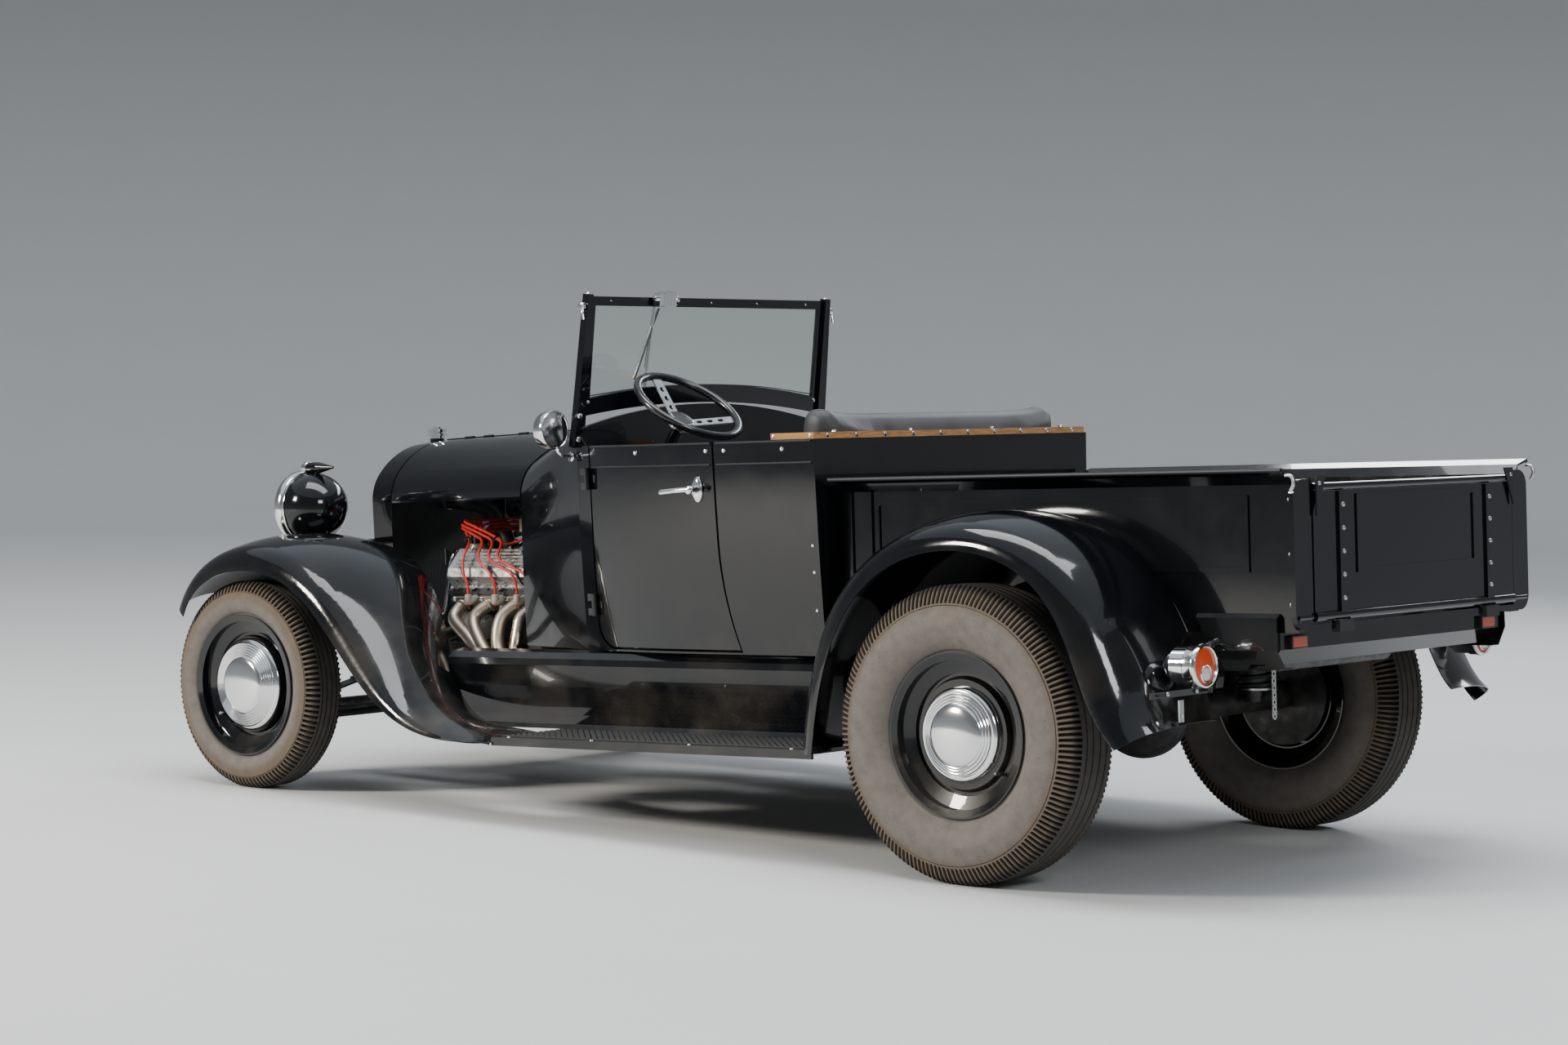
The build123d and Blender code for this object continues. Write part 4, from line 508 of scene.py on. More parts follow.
def seat_leather(colour):
    """Black grained leather, a little greyed where it is worn."""
    hide = Finish(
        "seat_leather", colour, 0.42, Coat_Weight=0.1, Coat_Roughness=0.25, Specular_IOR_Level=0.3)
    hide.stained(hide.noise(7.0, 5.0), 0.45, 0.8, 0.5, toned(colour, 1.8, 0.004))
    hide.worn(20.0, 0.32, 0.55)
    hide.bump(hide.cells(520.0), 0.25, 0.0008)
    hide.bump(hide.noise(60.0, 4.0), 0.12, 0.002)
    return hide.material


def wheel_finish(rim, spoke):
    """Black rim round polished spokes, told apart by the distance from the wheel's axis."""
    finish = Finish("wheel_rim", rim, 0.25, Coat_Weight=0.3, Coat_Roughness=0.15)
    hub, axis = BODY @ Vector(WHEEL_HUB), BODY.to_3x3() @ Vector(WHEEL_AXIS)
    vector, steps = finish.coords, (("SUBTRACT", hub), ("CROSS_PRODUCT", axis), ("LENGTH", None))
    for operation, value in steps:
        node = finish.tree.nodes.new("ShaderNodeVectorMath")
        node.operation = operation
        finish.link(vector, node.inputs[0])
        if value is not None:
            node.inputs[1].default_value = value
        vector = node.outputs["Value" if operation == "LENGTH" else "Vector"]
    spoke_reach = 0.136
    outer = finish.between(vector, spoke_reach, spoke_reach + 0.0015)
    finish.colour(finish.mix(outer, spoke, rim))
    finish.link(finish.between(outer, 0.0, 1.0, 1.0, 0.0), finish.shader.inputs["Metallic"])
    finish.worn(60.0, 0.14, 0.3)
    return finish.material


def varnished_wood(colour):
    """Varnished ash with long grain across the car."""
    wood = Finish("varnished_wood", colour, 0.28, Coat_Weight=0.8, Coat_Roughness=0.08)
    grain = wood.noise(60.0, 7.0, (6.0, 0.5, 6.0))
    dark, light = toned(colour, 0.4), tuple(min(1, c * 1.35) for c in colour)
    wood.colour(wood.ramp(grain, (0.3, dark), (0.5, tuple(colour)), (0.68, light)))
    wood.gloss(wood.between(grain, 0.3, 0.7, 0.3, 0.22))
    wood.bump(grain, 0.1, 0.0008)
    return wood.material


def bare_metal(name, colour, roughness, swirl=40.0):
    """Bare or polished metal with streaks, stains and a fine grain."""
    metal = Finish(name, colour, roughness, 1.0)
    metal.gloss(metal.between(metal.noise(swirl, 6.0), 0.3, 0.75, roughness * 0.7, min(1, roughness * 1.7)))
    metal.stained(metal.noise(25.0, 6.0), 0.5, 0.8, 0.55, toned(colour, 0.45))
    metal.bump(metal.noise(500.0, 3.0), 0.12, 0.0004)
    return metal.material


def header_steel():
    """Exhaust steel, straw and blue near the ports and grey-brown towards the tail."""
    steel = Finish("header_steel", (0.45, 0.38, 0.3), 0.3, 1.0)
    rise = steel.between(steel.axis(2), 0.42, 0.62)
    wave = steel.sum("ADD", rise, steel.sum("MULTIPLY", steel.noise(16.0, 4.0), 0.35))
    tint = steel.ramp(
        wave, (0.0, (0.2, 0.16, 0.12)), (0.25, (0.42, 0.33, 0.24)), (0.5, (0.62, 0.55, 0.47)),
        (0.75, (0.5, 0.4, 0.33)), (1.0, (0.3, 0.27, 0.33)))
    steel.colour(tint)
    steel.worn(45.0, 0.16, 0.42)
    steel.bump(steel.noise(300.0), 0.1, 0.0004)
    return steel.material


def cast_paint(name, colour):
    """Painted casting with oil stains."""
    cast = Finish(name, colour, 0.5, Coat_Weight=0.2, Coat_Roughness=0.35)
    cast.stained(cast.noise(18.0, 7.0), 0.5, 0.72, 0.8, (0.015, 0.012, 0.01))
    cast.worn(30.0, 0.35, 0.65)
    cast.bump(cast.noise(340.0, 4.0), 0.35, 0.0012)
    return cast.material


def core_finish():
    """Radiator core: fine fins crossed by tubes, with painted shade in the gaps between the fins."""
    core = Finish("radiator_core", (0.02, 0.02, 0.02), 0.5, 0.4)
    fins = core.bands(150.0, "Z")
    tubes = core.bands(42.0, "Y")
    # painted shade: darker in the troughs between the fin bands, lighter on their crests
    core.colour(core.ramp(fins, (0.3, 0.004), (0.8, 0.03)))
    core.bump(fins, 0.5, 0.0012)
    core.bump(tubes, 0.4, 0.002)
    return core.material


def coloured_lens(name, colour):
    """Moulded lens with a fluted face."""
    lens = Finish(name, colour, 0.12, Coat_Weight=1.0, Coat_Roughness=0.03)
    lens.stained(lens.noise(25.0), 0.3, 0.8, 0.4, toned(colour, 0.4))
    lens.bump(lens.cells(230.0), 0.4, 0.001)
    return lens.material


def board_rubber():
    """Black ribbed rubber with clouds of dust."""
    rubber = Finish("board_rubber", (0.015, 0.015, 0.016), 0.4, Coat_Weight=0.3, Coat_Roughness=0.2)
    rubber.stained(rubber.noise(35.0, 6.0), 0.45, 0.75, 0.55, (0.1, 0.085, 0.07))
    rubber.worn(60.0, 0.25, 0.6)
    rubber.bump(rubber.noise(380.0, 3.0), 0.2, 0.0005)
    return rubber.material


def moulded_plastic(name, colour, roughness=0.3):
    """Smooth moulded plastic or hard rubber."""
    plastic = Finish(name, colour, roughness, Coat_Weight=0.3, Coat_Roughness=0.15)
    plastic.stained(plastic.noise(20.0, 5.0), 0.4, 0.8, 0.5, toned(colour, 0.6, 0.01))
    plastic.worn(40.0, roughness * 0.8, min(1, roughness * 1.5))
    plastic.bump(plastic.noise(500.0), 0.08, 0.0003)
    return plastic.material


def coat(name):
    """A finish that is made already."""
    return bpy.data.materials[name]


def coat_nodes(names, finish, bevel=0.0):
    """Gives CAD nodes their finish, with rounded edges where asked."""
    for name in names:
        node = NODES[name]
        node.data.materials.clear()
        node.data.materials.append(finish)
        if bevel:
            round_off(node, bevel)


def colour_setting(name, description, default):
    """A colour that a user can pick."""
    return bpy.props.FloatVectorProperty(
        name=name, description=description, subtype="COLOR", default=default, min=0, max=1)


def length_setting(name, description, default, high, low=0):
    """A length that a user can set."""
    return bpy.props.FloatProperty(
        name=name, description=description, subtype="DISTANCE", default=default, min=low, max=high)


class RoadsterColours(bpy.types.PropertyGroup):
    """Colours that a user would change."""

    paint: colour_setting("Body paint", "Colour of the body, hood, fenders and bed", (0.003, 0.0035, 0.0045))
    chassis: colour_setting("Chassis paint", "Colour of the frame, axles and brackets", (0.012, 0.012, 0.012))
    tyre_wall: colour_setting("Tyre walls", "Dusty colour of the tyre side walls", (0.15, 0.132, 0.115))
    tyre_shoulder: colour_setting("Tyre shoulders", "Colour of the tyre shoulders", (0.13, 0.1, 0.074))
    tyre_tread: colour_setting("Tyre tread", "Colour of the worn tread", (0.05, 0.045, 0.04))
    leather: colour_setting("Seat leather", "Colour of the bench seat", (0.012, 0.012, 0.014))
    wood: colour_setting("Wooden rail", "Colour of the varnished rail", (0.42, 0.2, 0.06))


class RoadsterTyres(bpy.types.PropertyGroup):
    """Sizes of the tyre pattern."""

    rear_notches: bpy.props.IntProperty(
        name="Rear notches", description="Shoulder notches round a rear tyre", default=158, min=20, max=200)
    front_notches: bpy.props.IntProperty(
        name="Front notches", description="Shoulder notches round a front tyre", default=116, min=20, max=200)
    notch_depth: length_setting("Notch depth", "Depth of the shoulder notches", 0.009, 0.012)
    groove_depth: length_setting("Groove depth", "Depth of the grooves round the tread", 0.007, 0.012)


class RoadsterSeat(bpy.types.PropertyGroup):
    """Sizes of the bench seat."""

    swell: length_setting("Swell", "Most that the leather bulges out", 0.024, 0.04)
    channel: length_setting("Channel width", "Width of one sewn channel", 0.088, 0.2, 0.03)
    channel_depth: length_setting("Channel depth", "Depth of the seams between channels", 0.009, 0.02)


class RoadsterStage(bpy.types.PropertyGroup):
    """Camera and light."""

    lens: bpy.props.FloatProperty(
        name="Lens", description="Focal length on a 36 mm sensor", subtype="DISTANCE_CAMERA", default=83.53,
        min=20, max=300)
    camera: bpy.props.FloatVectorProperty(
        name="Camera place", subtype="XYZ", unit="LENGTH",
        description="Camera from the ground under the rear axle, in the row's directions",
        default=(-5.4333, 7.8254, 1.3623))
    yaw: bpy.props.FloatProperty(
        name="Yaw", description="Heading of the view from straight ahead", subtype="ANGLE",
        default=radians(-49.524))
    pitch: bpy.props.FloatProperty(
        name="Pitch", description="Tilt of the view", subtype="ANGLE", default=radians(-3.065))
    roll: bpy.props.FloatProperty(
        name="Roll", description="Turn of the view about its line of sight", subtype="ANGLE",
        default=radians(-0.688))
    floor: colour_setting("Floor", "Colour of the plain floor", (0.62, 0.62, 0.61))


class PieceOperator:
    """What every operator here shares."""

    bl_options = {"REGISTER", "UNDO"}

    def execute(self, context):
        """Builds the operator's pieces in the scene."""
        self.build(context.scene)
        return {"FINISHED"}


class ROADSTER_OT_stage(PieceOperator, bpy.types.Operator):
    """Floor, lights and the camera at the photograph's angle"""

    bl_idname = "roadster.stage"
    bl_label = "Stage"

    def build(self, scene):
        settings = scene.roadster_stage
        self.camera(scene, settings)
        self.floor(settings)
        self.lights(scene)

    def camera(self, scene, settings):
        """The camera at the photograph's place, heading, tilt and roll."""
        yaw, pitch, roll = settings.yaw, settings.pitch, settings.roll
        ahead = Vector((cos(yaw) * cos(pitch), sin(yaw) * cos(pitch), sin(pitch)))
        right = Vector((sin(yaw), -cos(yaw), 0))
        down = ahead.cross(right)
        right, down = cos(roll) * right + sin(roll) * down, cos(roll) * down - sin(roll) * right
        data = bpy.data.cameras.new("camera")
        data.lens = settings.lens
        data.sensor_width = 36.0
        data.clip_end = 200.0
        camera = bpy.data.objects.new("camera", data)
        scene.collection.objects.link(camera)
        turn = Matrix((right, -down, -ahead)).transposed().to_4x4()
        camera.matrix_world = Matrix.Translation(Vector(settings.camera) + Vector((REAR_AXLE.x, 0, 0))) @ turn
        scene.camera = camera

    def floor(self, settings):
        """A floor that curves up into a far round wall, so no edge shows from any side."""
        floor = Finish("studio_floor", settings.floor, 0.75)
        cloud = floor.mix(
            floor.between(floor.noise(3.0, 6.0), 0.4, 0.7, 0.0, 0.3), tuple(settings.floor),
            toned(settings.floor, 0.94))
        rise = floor.between(floor.axis(2), 0.2, 4.0)
        floor.colour(floor.mix(rise, cloud, toned(settings.floor, 0.55)))
        reach, curve, top, steps = 14.0, 7.0, 16.0, 96
        section = [(0.001, 0.0), (5.0, 0.0), (reach, 0.0)]
        section += [(reach + curve * sin(radians(9 * k)), curve - curve * cos(radians(9 * k)))
                    for k in range(1, 11)]
        section.append((reach + curve, top))
        bowl = Build("studio_floor").lathe(section, ROW, steps)
        data = bpy.data.meshes.new("studio_floor")
        for face in bowl.mesh.faces:
            face.smooth = True
        bmesh.ops.reverse_faces(bowl.mesh, faces=bowl.mesh.faces)
        bowl.mesh.to_mesh(data)
        bowl.mesh.free()
        data.materials.append(floor.material)
        thing = bpy.data.objects.new("studio_floor", data)
        bpy.context.scene.collection.objects.link(thing)

    def lights(self, scene):
        """Four area lights under the sky."""
        self.sky(scene)
        # name, place, aim, size across, size high, power, colour
        lamps = (
            ("key", (5.0, 8.5, 4.6), (0.2, 0.5, 0.5), 1.6, 1.6, 1150, (1.0, 0.95, 0.87)),
            ("top", (-0.4, 0.6, 6.2), (-0.2, 0.2, 0.5), 6.5, 2.4, 420, (0.95, 0.97, 1.0)),
            ("rear", (-7.5, 3.5, 4.4), (-1.0, 0.3, 0.7), 2.4, 1.6, 230, (0.95, 0.97, 1.0)),
            ("far", (1.0, -7.5, 4.8), (0.0, 0.0, 0.8), 6.0, 1.5, 300, (0.92, 0.96, 1.0)),
        )
        for name, place, aim, across, high, power, colour in lamps:
            data = bpy.data.lights.new(name, "AREA")
            data.shape = "RECTANGLE"
            data.size, data.size_y = across, high
            data.energy = power
            data.color = colour
            lamp = bpy.data.objects.new(name, data)
            scene.collection.objects.link(lamp)
            lamp.matrix_world = facing(Vector(place), Vector(place) - Vector(aim))

    def sky(self, scene):
        """Light that grows from the horizon to the top."""
        world = bpy.data.worlds.new("studio")
        world.use_nodes = True
        tree = world.node_tree
        background = tree.nodes["Background"]
        coords, split = tree.nodes.new("ShaderNodeTexCoord"), tree.nodes.new("ShaderNodeSeparateXYZ")
        ramp = tree.nodes.new("ShaderNodeValToRGB")
        points = ramp.color_ramp.elements
        points.new(0.5)
        for point, (place, colour) in zip(points, (
                (0.0, (0.3, 0.33, 0.36)), (0.45, (0.55, 0.62, 0.72)), (1.0, (0.85, 0.93, 1.0)))):
            point.position = place
            point.color = (*colour, 1)
        tree.links.new(coords.outputs["Generated"], split.inputs[0])
        tree.links.new(split.outputs[2], ramp.inputs["Fac"])
        tree.links.new(ramp.outputs["Color"], background.inputs["Color"])
        background.inputs["Strength"].default_value = 0.9
        scene.world = world


class ROADSTER_OT_finishes(PieceOperator, bpy.types.Operator):
    """Paint, metal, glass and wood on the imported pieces"""

    bl_idname = "roadster.finishes"
    bl_label = "Finishes"

    def build(self, scene):
        colours = scene.roadster_colours
        sides = ("left", "right")
        corners = [f"{end}_{side}" for end in ("front", "rear") for side in sides]
        paint = body_paint(colours.paint)
        coat_nodes(
            ["radiator_shell", "bed", "tailgate", "rear_pan", "splash_aprons", "headlamps",
             "windshield_frame", "plate_bracket", "steering_column", "body_tub", "cowl", "running_boards",
             *(f"door_{s}" for s in sides), *(f"hood_{s}" for s in sides),
             *(f"{end}_fender_{s}" for end in ("front", "rear") for s in sides)], paint, 0.0012)
        coat_nodes([f"wheel_{c}" for c in corners], paint, 0.001)
        coat_nodes(
            ["frame", "front_axle", "rear_axle", "front_suspension", "rear_suspension", "knuckle_left",
             "knuckle_right", "tie_rod", "fuel_tank"], chassis_paint(colours.chassis), 0.0012)
        chrome = bright_chrome()
        coat_nodes(
            [f"hubcap_{c}" for c in corners] + ["radiator_cap", "wiper", "mirror", "tail_lamps"], chrome)
        coat_nodes(["windshield_glass"], clear_glass())
        coat_nodes(["wood_rail"], varnished_wood(colours.wood), 0.002)
        coat_nodes(["radiator_core"], core_finish())
        coat_nodes(["steering_wheel"], wheel_finish((0.008, 0.008, 0.009), (0.62, 0.63, 0.64)))
        coat_nodes(["engine", "driveline"], cast_paint("engine_cast", (0.03, 0.03, 0.032)), 0.004)
        coat_nodes(["valve_covers", "intake"], bare_metal("polished_alloy", (0.72, 0.72, 0.7), 0.25), 0.004)
        coat_nodes(["air_cleaner"], moulded_plastic("cleaner_black", (0.01, 0.01, 0.01), 0.35), 0.004)
        coat_nodes(["distributor"], moulded_plastic("cap_black", (0.012, 0.011, 0.01), 0.25), 0.002)
        coat_nodes(["plug_leads"], moulded_plastic("lead_red", (0.55, 0.02, 0.012), 0.32))
        coat_nodes(["exhausts"], header_steel())
        coat_nodes(["marker_lamps"], coloured_lens("lens_orange", (0.5, 0.05, 0.008)), 0.004)
        self.small_finishes(colours)

    @staticmethod
    def small_finishes(colours):
        """Finishes that only added pieces wear; coat() finds them by name."""
        seat_leather(colours.leather)
        moulded_plastic("seat_piping", toned(colours.leather, 1.6, 0.006), 0.4)
        moulded_plastic("black_trim", (0.012, 0.012, 0.012), 0.35)
        moulded_plastic("plug_boot", (0.42, 0.38, 0.31), 0.5)
        coloured_lens("lens_red", (0.085, 0.002, 0.002))
        coloured_lens("lens_clear", (0.6, 0.58, 0.55))
        coloured_lens("amber_lens", (0.75, 0.26, 0.03))
        clear_glass("lamp_glass", 90.0)
        moulded_plastic("cap_tan", (0.2, 0.15, 0.1), 0.22)
        moulded_plastic("hose_rubber", (0.014, 0.014, 0.015), 0.5)
        moulded_plastic("filter_white", (0.72, 0.7, 0.62), 0.3)
        board_rubber()
        moulded_plastic("filter_paper", (0.5, 0.42, 0.28), 0.8)
        bare_metal("bolt_steel", (0.5, 0.5, 0.5), 0.3, 80.0)
        bare_metal("brass", (0.7, 0.5, 0.2), 0.25, 80.0)
        bare_metal("mirror_glass", (0.9, 0.91, 0.93), 0.02, 8.0)


class ROADSTER_OT_tyres(PieceOperator, bpy.types.Operator):
    """Four tyres with ribs, shoulder notches and side wall lines"""

    bl_idname = "roadster.tyres"
    bl_label = "Tyres"

    # from the wheels: flange radius, bead seat radius, rim half width by end
    flange, seat = 0.206, 0.190
    rim_half = {"rear": 0.078, "front": 0.064}
    # half the tread's share of the width, where its grooves run within that, and a groove's half width
    tread_share, grooves, groove_half = 0.33, (0.2, 0.56), 0.0028
    # heights of the belly and of the line round the wall, as shares of the section's depth
    belly_share, line_share = 0.46, 0.27
    # how far down the shoulder a notch runs on a tyre of the given width
    notch_run, notch_width = 0.04, 0.216
    # start and end of a rib and of a notch along the tread, in steps
    step_near, step_far = 0.35, 1.65
    arc_wall, arc_lower = 14, 7

    def build(self, scene):
        colours = scene.roadster_colours
        for end in ("rear", "front"):
            low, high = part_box(f"tyre_{end}_left")
            radius, width = (high.z - low.z) / 2, high.y - low.y
            rubber = tyre_rubber(colours.tyre_wall, colours.tyre_shoulder, colours.tyre_tread, radius)
            for side in ("left", "right"):
                self.tyre(scene.roadster_tyres, end, side, radius, width, rubber)

    def profile(self, settings, end, radius, width):
        """Half section from the middle of the tread to the bead: (radius, offset, notch depth)."""
        tread, bead, half = width * self.tread_share, self.rim_half[end] - 0.009, width / 2
        deep = radius - self.seat
        belly = (self.seat + deep * self.belly_share, half)
        edge, foot = (radius - 0.009, tread + 0.005), (self.flange + 0.002, bead)
        low_mid = (foot[0] * 0.6 + belly[0] * 0.4, foot[1] * 0.36 + belly[1] * 0.64)
        high_mid = (belly[0] * 0.42 + edge[0] * 0.58, belly[1] * 0.62 + edge[1] * 0.38 + 0.002)
        points = [(radius, 0.0, 0.0)]
        floor = radius - settings.groove_depth
        for share in self.grooves:
            middle, wall = tread * share, self.groove_half
            points += [(radius, middle - wall, 0), (floor, middle - wall * 0.7, 0),
                       (floor, middle + wall * 0.7, 0), (radius, middle + wall, 0)]
        start = tread - 0.012
        points += [(radius, start, 0), (radius, start + 0.002, settings.notch_depth)]
        points += [(radius - 0.0005, tread - 0.006, settings.notch_depth)]
        wall_arc = arc_points(edge, high_mid, belly, self.arc_wall)
        notch_end = radius - self.notch_run * width / self.notch_width
        line = radius - self.line_share * deep
        for r, y in wall_arc:
            points.append((r, y, settings.notch_depth if r > notch_end else 0.0))
            if r > line >= r - deep * 0.03:
                points += [
                    (line, y + 0.0006, 0), (line - 0.0006, y - 0.0016, 0), (line - 0.002, y - 0.0014, 0),
                    (line - 0.0026, y + 0.0016, 0), (line - 0.006, y + 0.0018, 0)]
        lower = arc_points(belly, low_mid, foot, self.arc_lower)[1:]
        points += [(r, y, 0.0) for r, y in lower]
        points.append((self.seat + 0.001, bead, 0.0))
        return points

    def tyre(self, settings, end, side, radius, width, rubber):
        """Turns the section round the axle, with every other step cut into a notch, and marks the notches and
        groove floors for painted shade.
        """
        notches = settings.rear_notches if end == "rear" else settings.front_notches
        half = self.profile(settings, end, radius, width)
        whole = [(r, -y, d) for r, y, d in reversed(half[1:])] + half
        count, steps = len(whole), notches * 4
        verts, faces, shade_marks = [], [], []
        for k in range(steps):
            turn = 2 * pi * (k // 2 * 2 + (self.step_far if k % 2 else self.step_near)) / steps
            cut = k % 4 >= 2
            c, s = cos(turn), sin(turn)
            for r, y, depth in whole:
                lower = depth if cut else 0.0
                pull = y * (1 - lower * 0.8 / max(abs(y), 0.01))
                verts.append(((r - lower) * c, pull, (r - lower) * s))
                # points on groove floors and in notches are marked for painted shade near black
                sunk_shade = r < radius - settings.groove_depth * 0.6 and abs(y) < width * 0.3
                shade_marks.append(1.0 if lower or sunk_shade else 0.0)
        for k in range(steps):
            here, there = k * count, (k + 1) % steps * count
            faces += [(here + i, here + i + 1, there + i + 1, there + i) for i in range(count - 1)]
        data = bpy.data.meshes.new(f"tyre_{end}_{side}_rubber")
        data.from_pydata(verts, [], faces)
        data.polygons.foreach_set("use_smooth", [True] * len(faces))
        data.attributes.new("groove_shade", "FLOAT", "POINT").data.foreach_set("value", shade_marks)
        mark_sharp(data)
        piece = settle(
            f"tyre_{end}_{side}_rubber", data, [rubber], f"wheel_{end}_{side}",
            at=PIVOT[f"spin_{end}_{side}"])
        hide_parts(f"tyre_{end}_{side}")


def mark_sharp(data):
    """Marks the crisp edges of a mesh and makes its faces agree."""
    work = bmesh.new()
    work.from_mesh(data)
    bmesh.ops.recalc_face_normals(work, faces=work.faces)
    for edge in work.edges:
        if len(edge.link_faces) == 2 and edge.calc_face_angle(0) > SHARP:
            edge.smooth = False
    work.to_mesh(data)
    work.free()


class ROADSTER_OT_seat(PieceOperator, bpy.types.Operator):
    """Bench cushion and back in sewn leather, blown up over their packed blocks"""

    bl_idname = "roadster.seat"
    bl_label = "Seat"

    # middle, size and corner radius of the two pads, and the half height or length of their channels
    back_at, back_size, back_corner, back_reach = (0.6953, 0, 0.979), (0.088, 1.064, 0.438), 0.036, 0.13
    base_at, base_size, base_corner, base_reach = (0.985, 0, 0.7), (0.376, 0.916, 0.106), 0.028, 0.14
    lean, grid_size, seam_width = radians(-6), 0.011, 0.011
    pressure, stiffness, steps = 4.0, 40.0, 20

    def build(self, scene):
        sizes = scene.roadster_seat
        back_place = BODY @ Matrix.Translation(self.back_at) @ Matrix.Rotation(self.lean, 4, "Y")
        base_place = BODY @ Matrix.Translation(self.base_at)
        back = self.pad(scene, self.back_size, self.back_corner, back_place, sizes.swell)
        base = self.pad(scene, self.base_size, self.base_corner, base_place, sizes.swell * 0.8)
        self.channels(back, back_place, sizes, 0, 2, self.back_reach)
        self.channels(base, base_place, sizes, 2, 0, self.base_reach)
        for data, name, node in ((back, "seat_back_leather", "seat_back"),
                                 (base, "seat_base_leather", "seat_cushion")):
            leather = settle(name, data, [coat("seat_leather")], "chassis")
            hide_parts(node)
        self.piping(back, back_place, base, base_place)

    def pad(self, scene, size, corner, place, swell):
        """A rounded block remeshed into even faces and blown up like a cushion."""
        work = bmesh.new()
        bmesh.ops.create_cube(work, size=1, matrix=Matrix.Diagonal((*size, 1)))
        bmesh.ops.bevel(work, geom=work.edges[:], offset=corner, segments=6, affect="EDGES", profile=0.5)
        data = bpy.data.meshes.new("pad")
        work.to_mesh(data)
        work.free()
        thing = bpy.data.objects.new("pad", data)
        scene.collection.objects.link(thing)
        grid = thing.modifiers.new("grid", "REMESH")
        grid.mode, grid.voxel_size = "VOXEL", self.grid_size
        soft = self.taken(thing)
        thing.modifiers.clear()
        thing.data = soft
        start = [v.co.copy() for v in soft.vertices]
        cloth = thing.modifiers.new("fill", "CLOTH")
        cloth.settings.use_pressure = True
        cloth.settings.uniform_pressure_force = self.pressure
        cloth.settings.effector_weights.gravity = 0.0
        cloth.settings.tension_stiffness = self.stiffness
        cloth.settings.compression_stiffness = self.stiffness
        cloth.point_cache.frame_end = self.steps
        for step in range(1, self.steps + 1):
            scene.frame_set(step)
        blown = self.taken(thing)
        thing.modifiers.clear()
        scene.frame_set(1)
        for vert, before in zip(blown.vertices, start):
            move = vert.co - before
            if move.length > swell:
                vert.co = before + move.normalized() * swell
        thing.data = blown
        finer = thing.modifiers.new("finer", "SUBSURF")
        finer.levels = finer.render_levels = 1
        smooth = self.taken(thing)
        bpy.data.objects.remove(thing)
        smooth.transform(place)
        smooth.polygons.foreach_set("use_smooth", [True] * len(smooth.polygons))
        return smooth

    @staticmethod
    def taken(thing):
        """The mesh with its modifiers applied."""
        graph = bpy.context.evaluated_depsgraph_get()
        return bpy.data.meshes.new_from_object(thing.evaluated_get(graph))

    def channels(self, data, place, sizes, face, along, reach):
        """Sewn channels down the face of a pad, fading out towards its edges."""
        back = place.inverted()
        turn = back.to_3x3()
        work = bmesh.new()
        work.from_mesh(data)
        work.normal_update()
        for vert in work.verts:
            local, normal = back @ vert.co, turn @ vert.normal
            off = local.y / sizes.channel
            near = abs(off - round(off)) * sizes.channel
            fade = max(0.0, min(1.0, normal[face] * 1.6 - 0.3))
            fade *= max(0.0, min(1.0, (reach - abs(local[along])) / 0.05))
            cut = sizes.channel_depth * fade * exp(-((near / self.seam_width) ** 2))
            swell = sizes.channel_depth * 0.5 * fade * cos(pi * (off - round(off))) ** 2
            vert.co += vert.normal * (swell - cut)
        work.to_mesh(data)
        work.free()

    def piping(self, back, back_place, base, base_place):
        """A corded seam round the face of each pad."""
        cord = Build("seat_piping")
        for data, place, face, along, spans in (
                (back, back_place, 0, 2, (0.505, 0.178)), (base, base_place, 2, 0, (0.435, 0.162))):
            tree = BVHTree.FromPolygons([v.co for v in data.vertices], [p.vertices for p in data.polygons])
            turn = place.to_3x3()
            points = []
            for k in range(49):
                a = 2 * pi * k / 48
                spot = Vector((0, 0, 0))
                spot.y = spans[0] * max(-1, min(1, cos(a) * 1.25))
                spot[along] = spans[1] * max(-1, min(1, sin(a) * 1.25))
                start = spot.copy()
                start[face] = 0.3
                down = Vector((0, 0, 0))
                down[face] = -1
                hit, normal, _, _ = tree.ray_cast(place @ start, turn @ down)
                points.append(hit + normal * 0.0008)
            cord.sweep(points, 0.0035, 8, 3)
        cord.place("seat_piping", "chassis", "seat_leather", ROW)


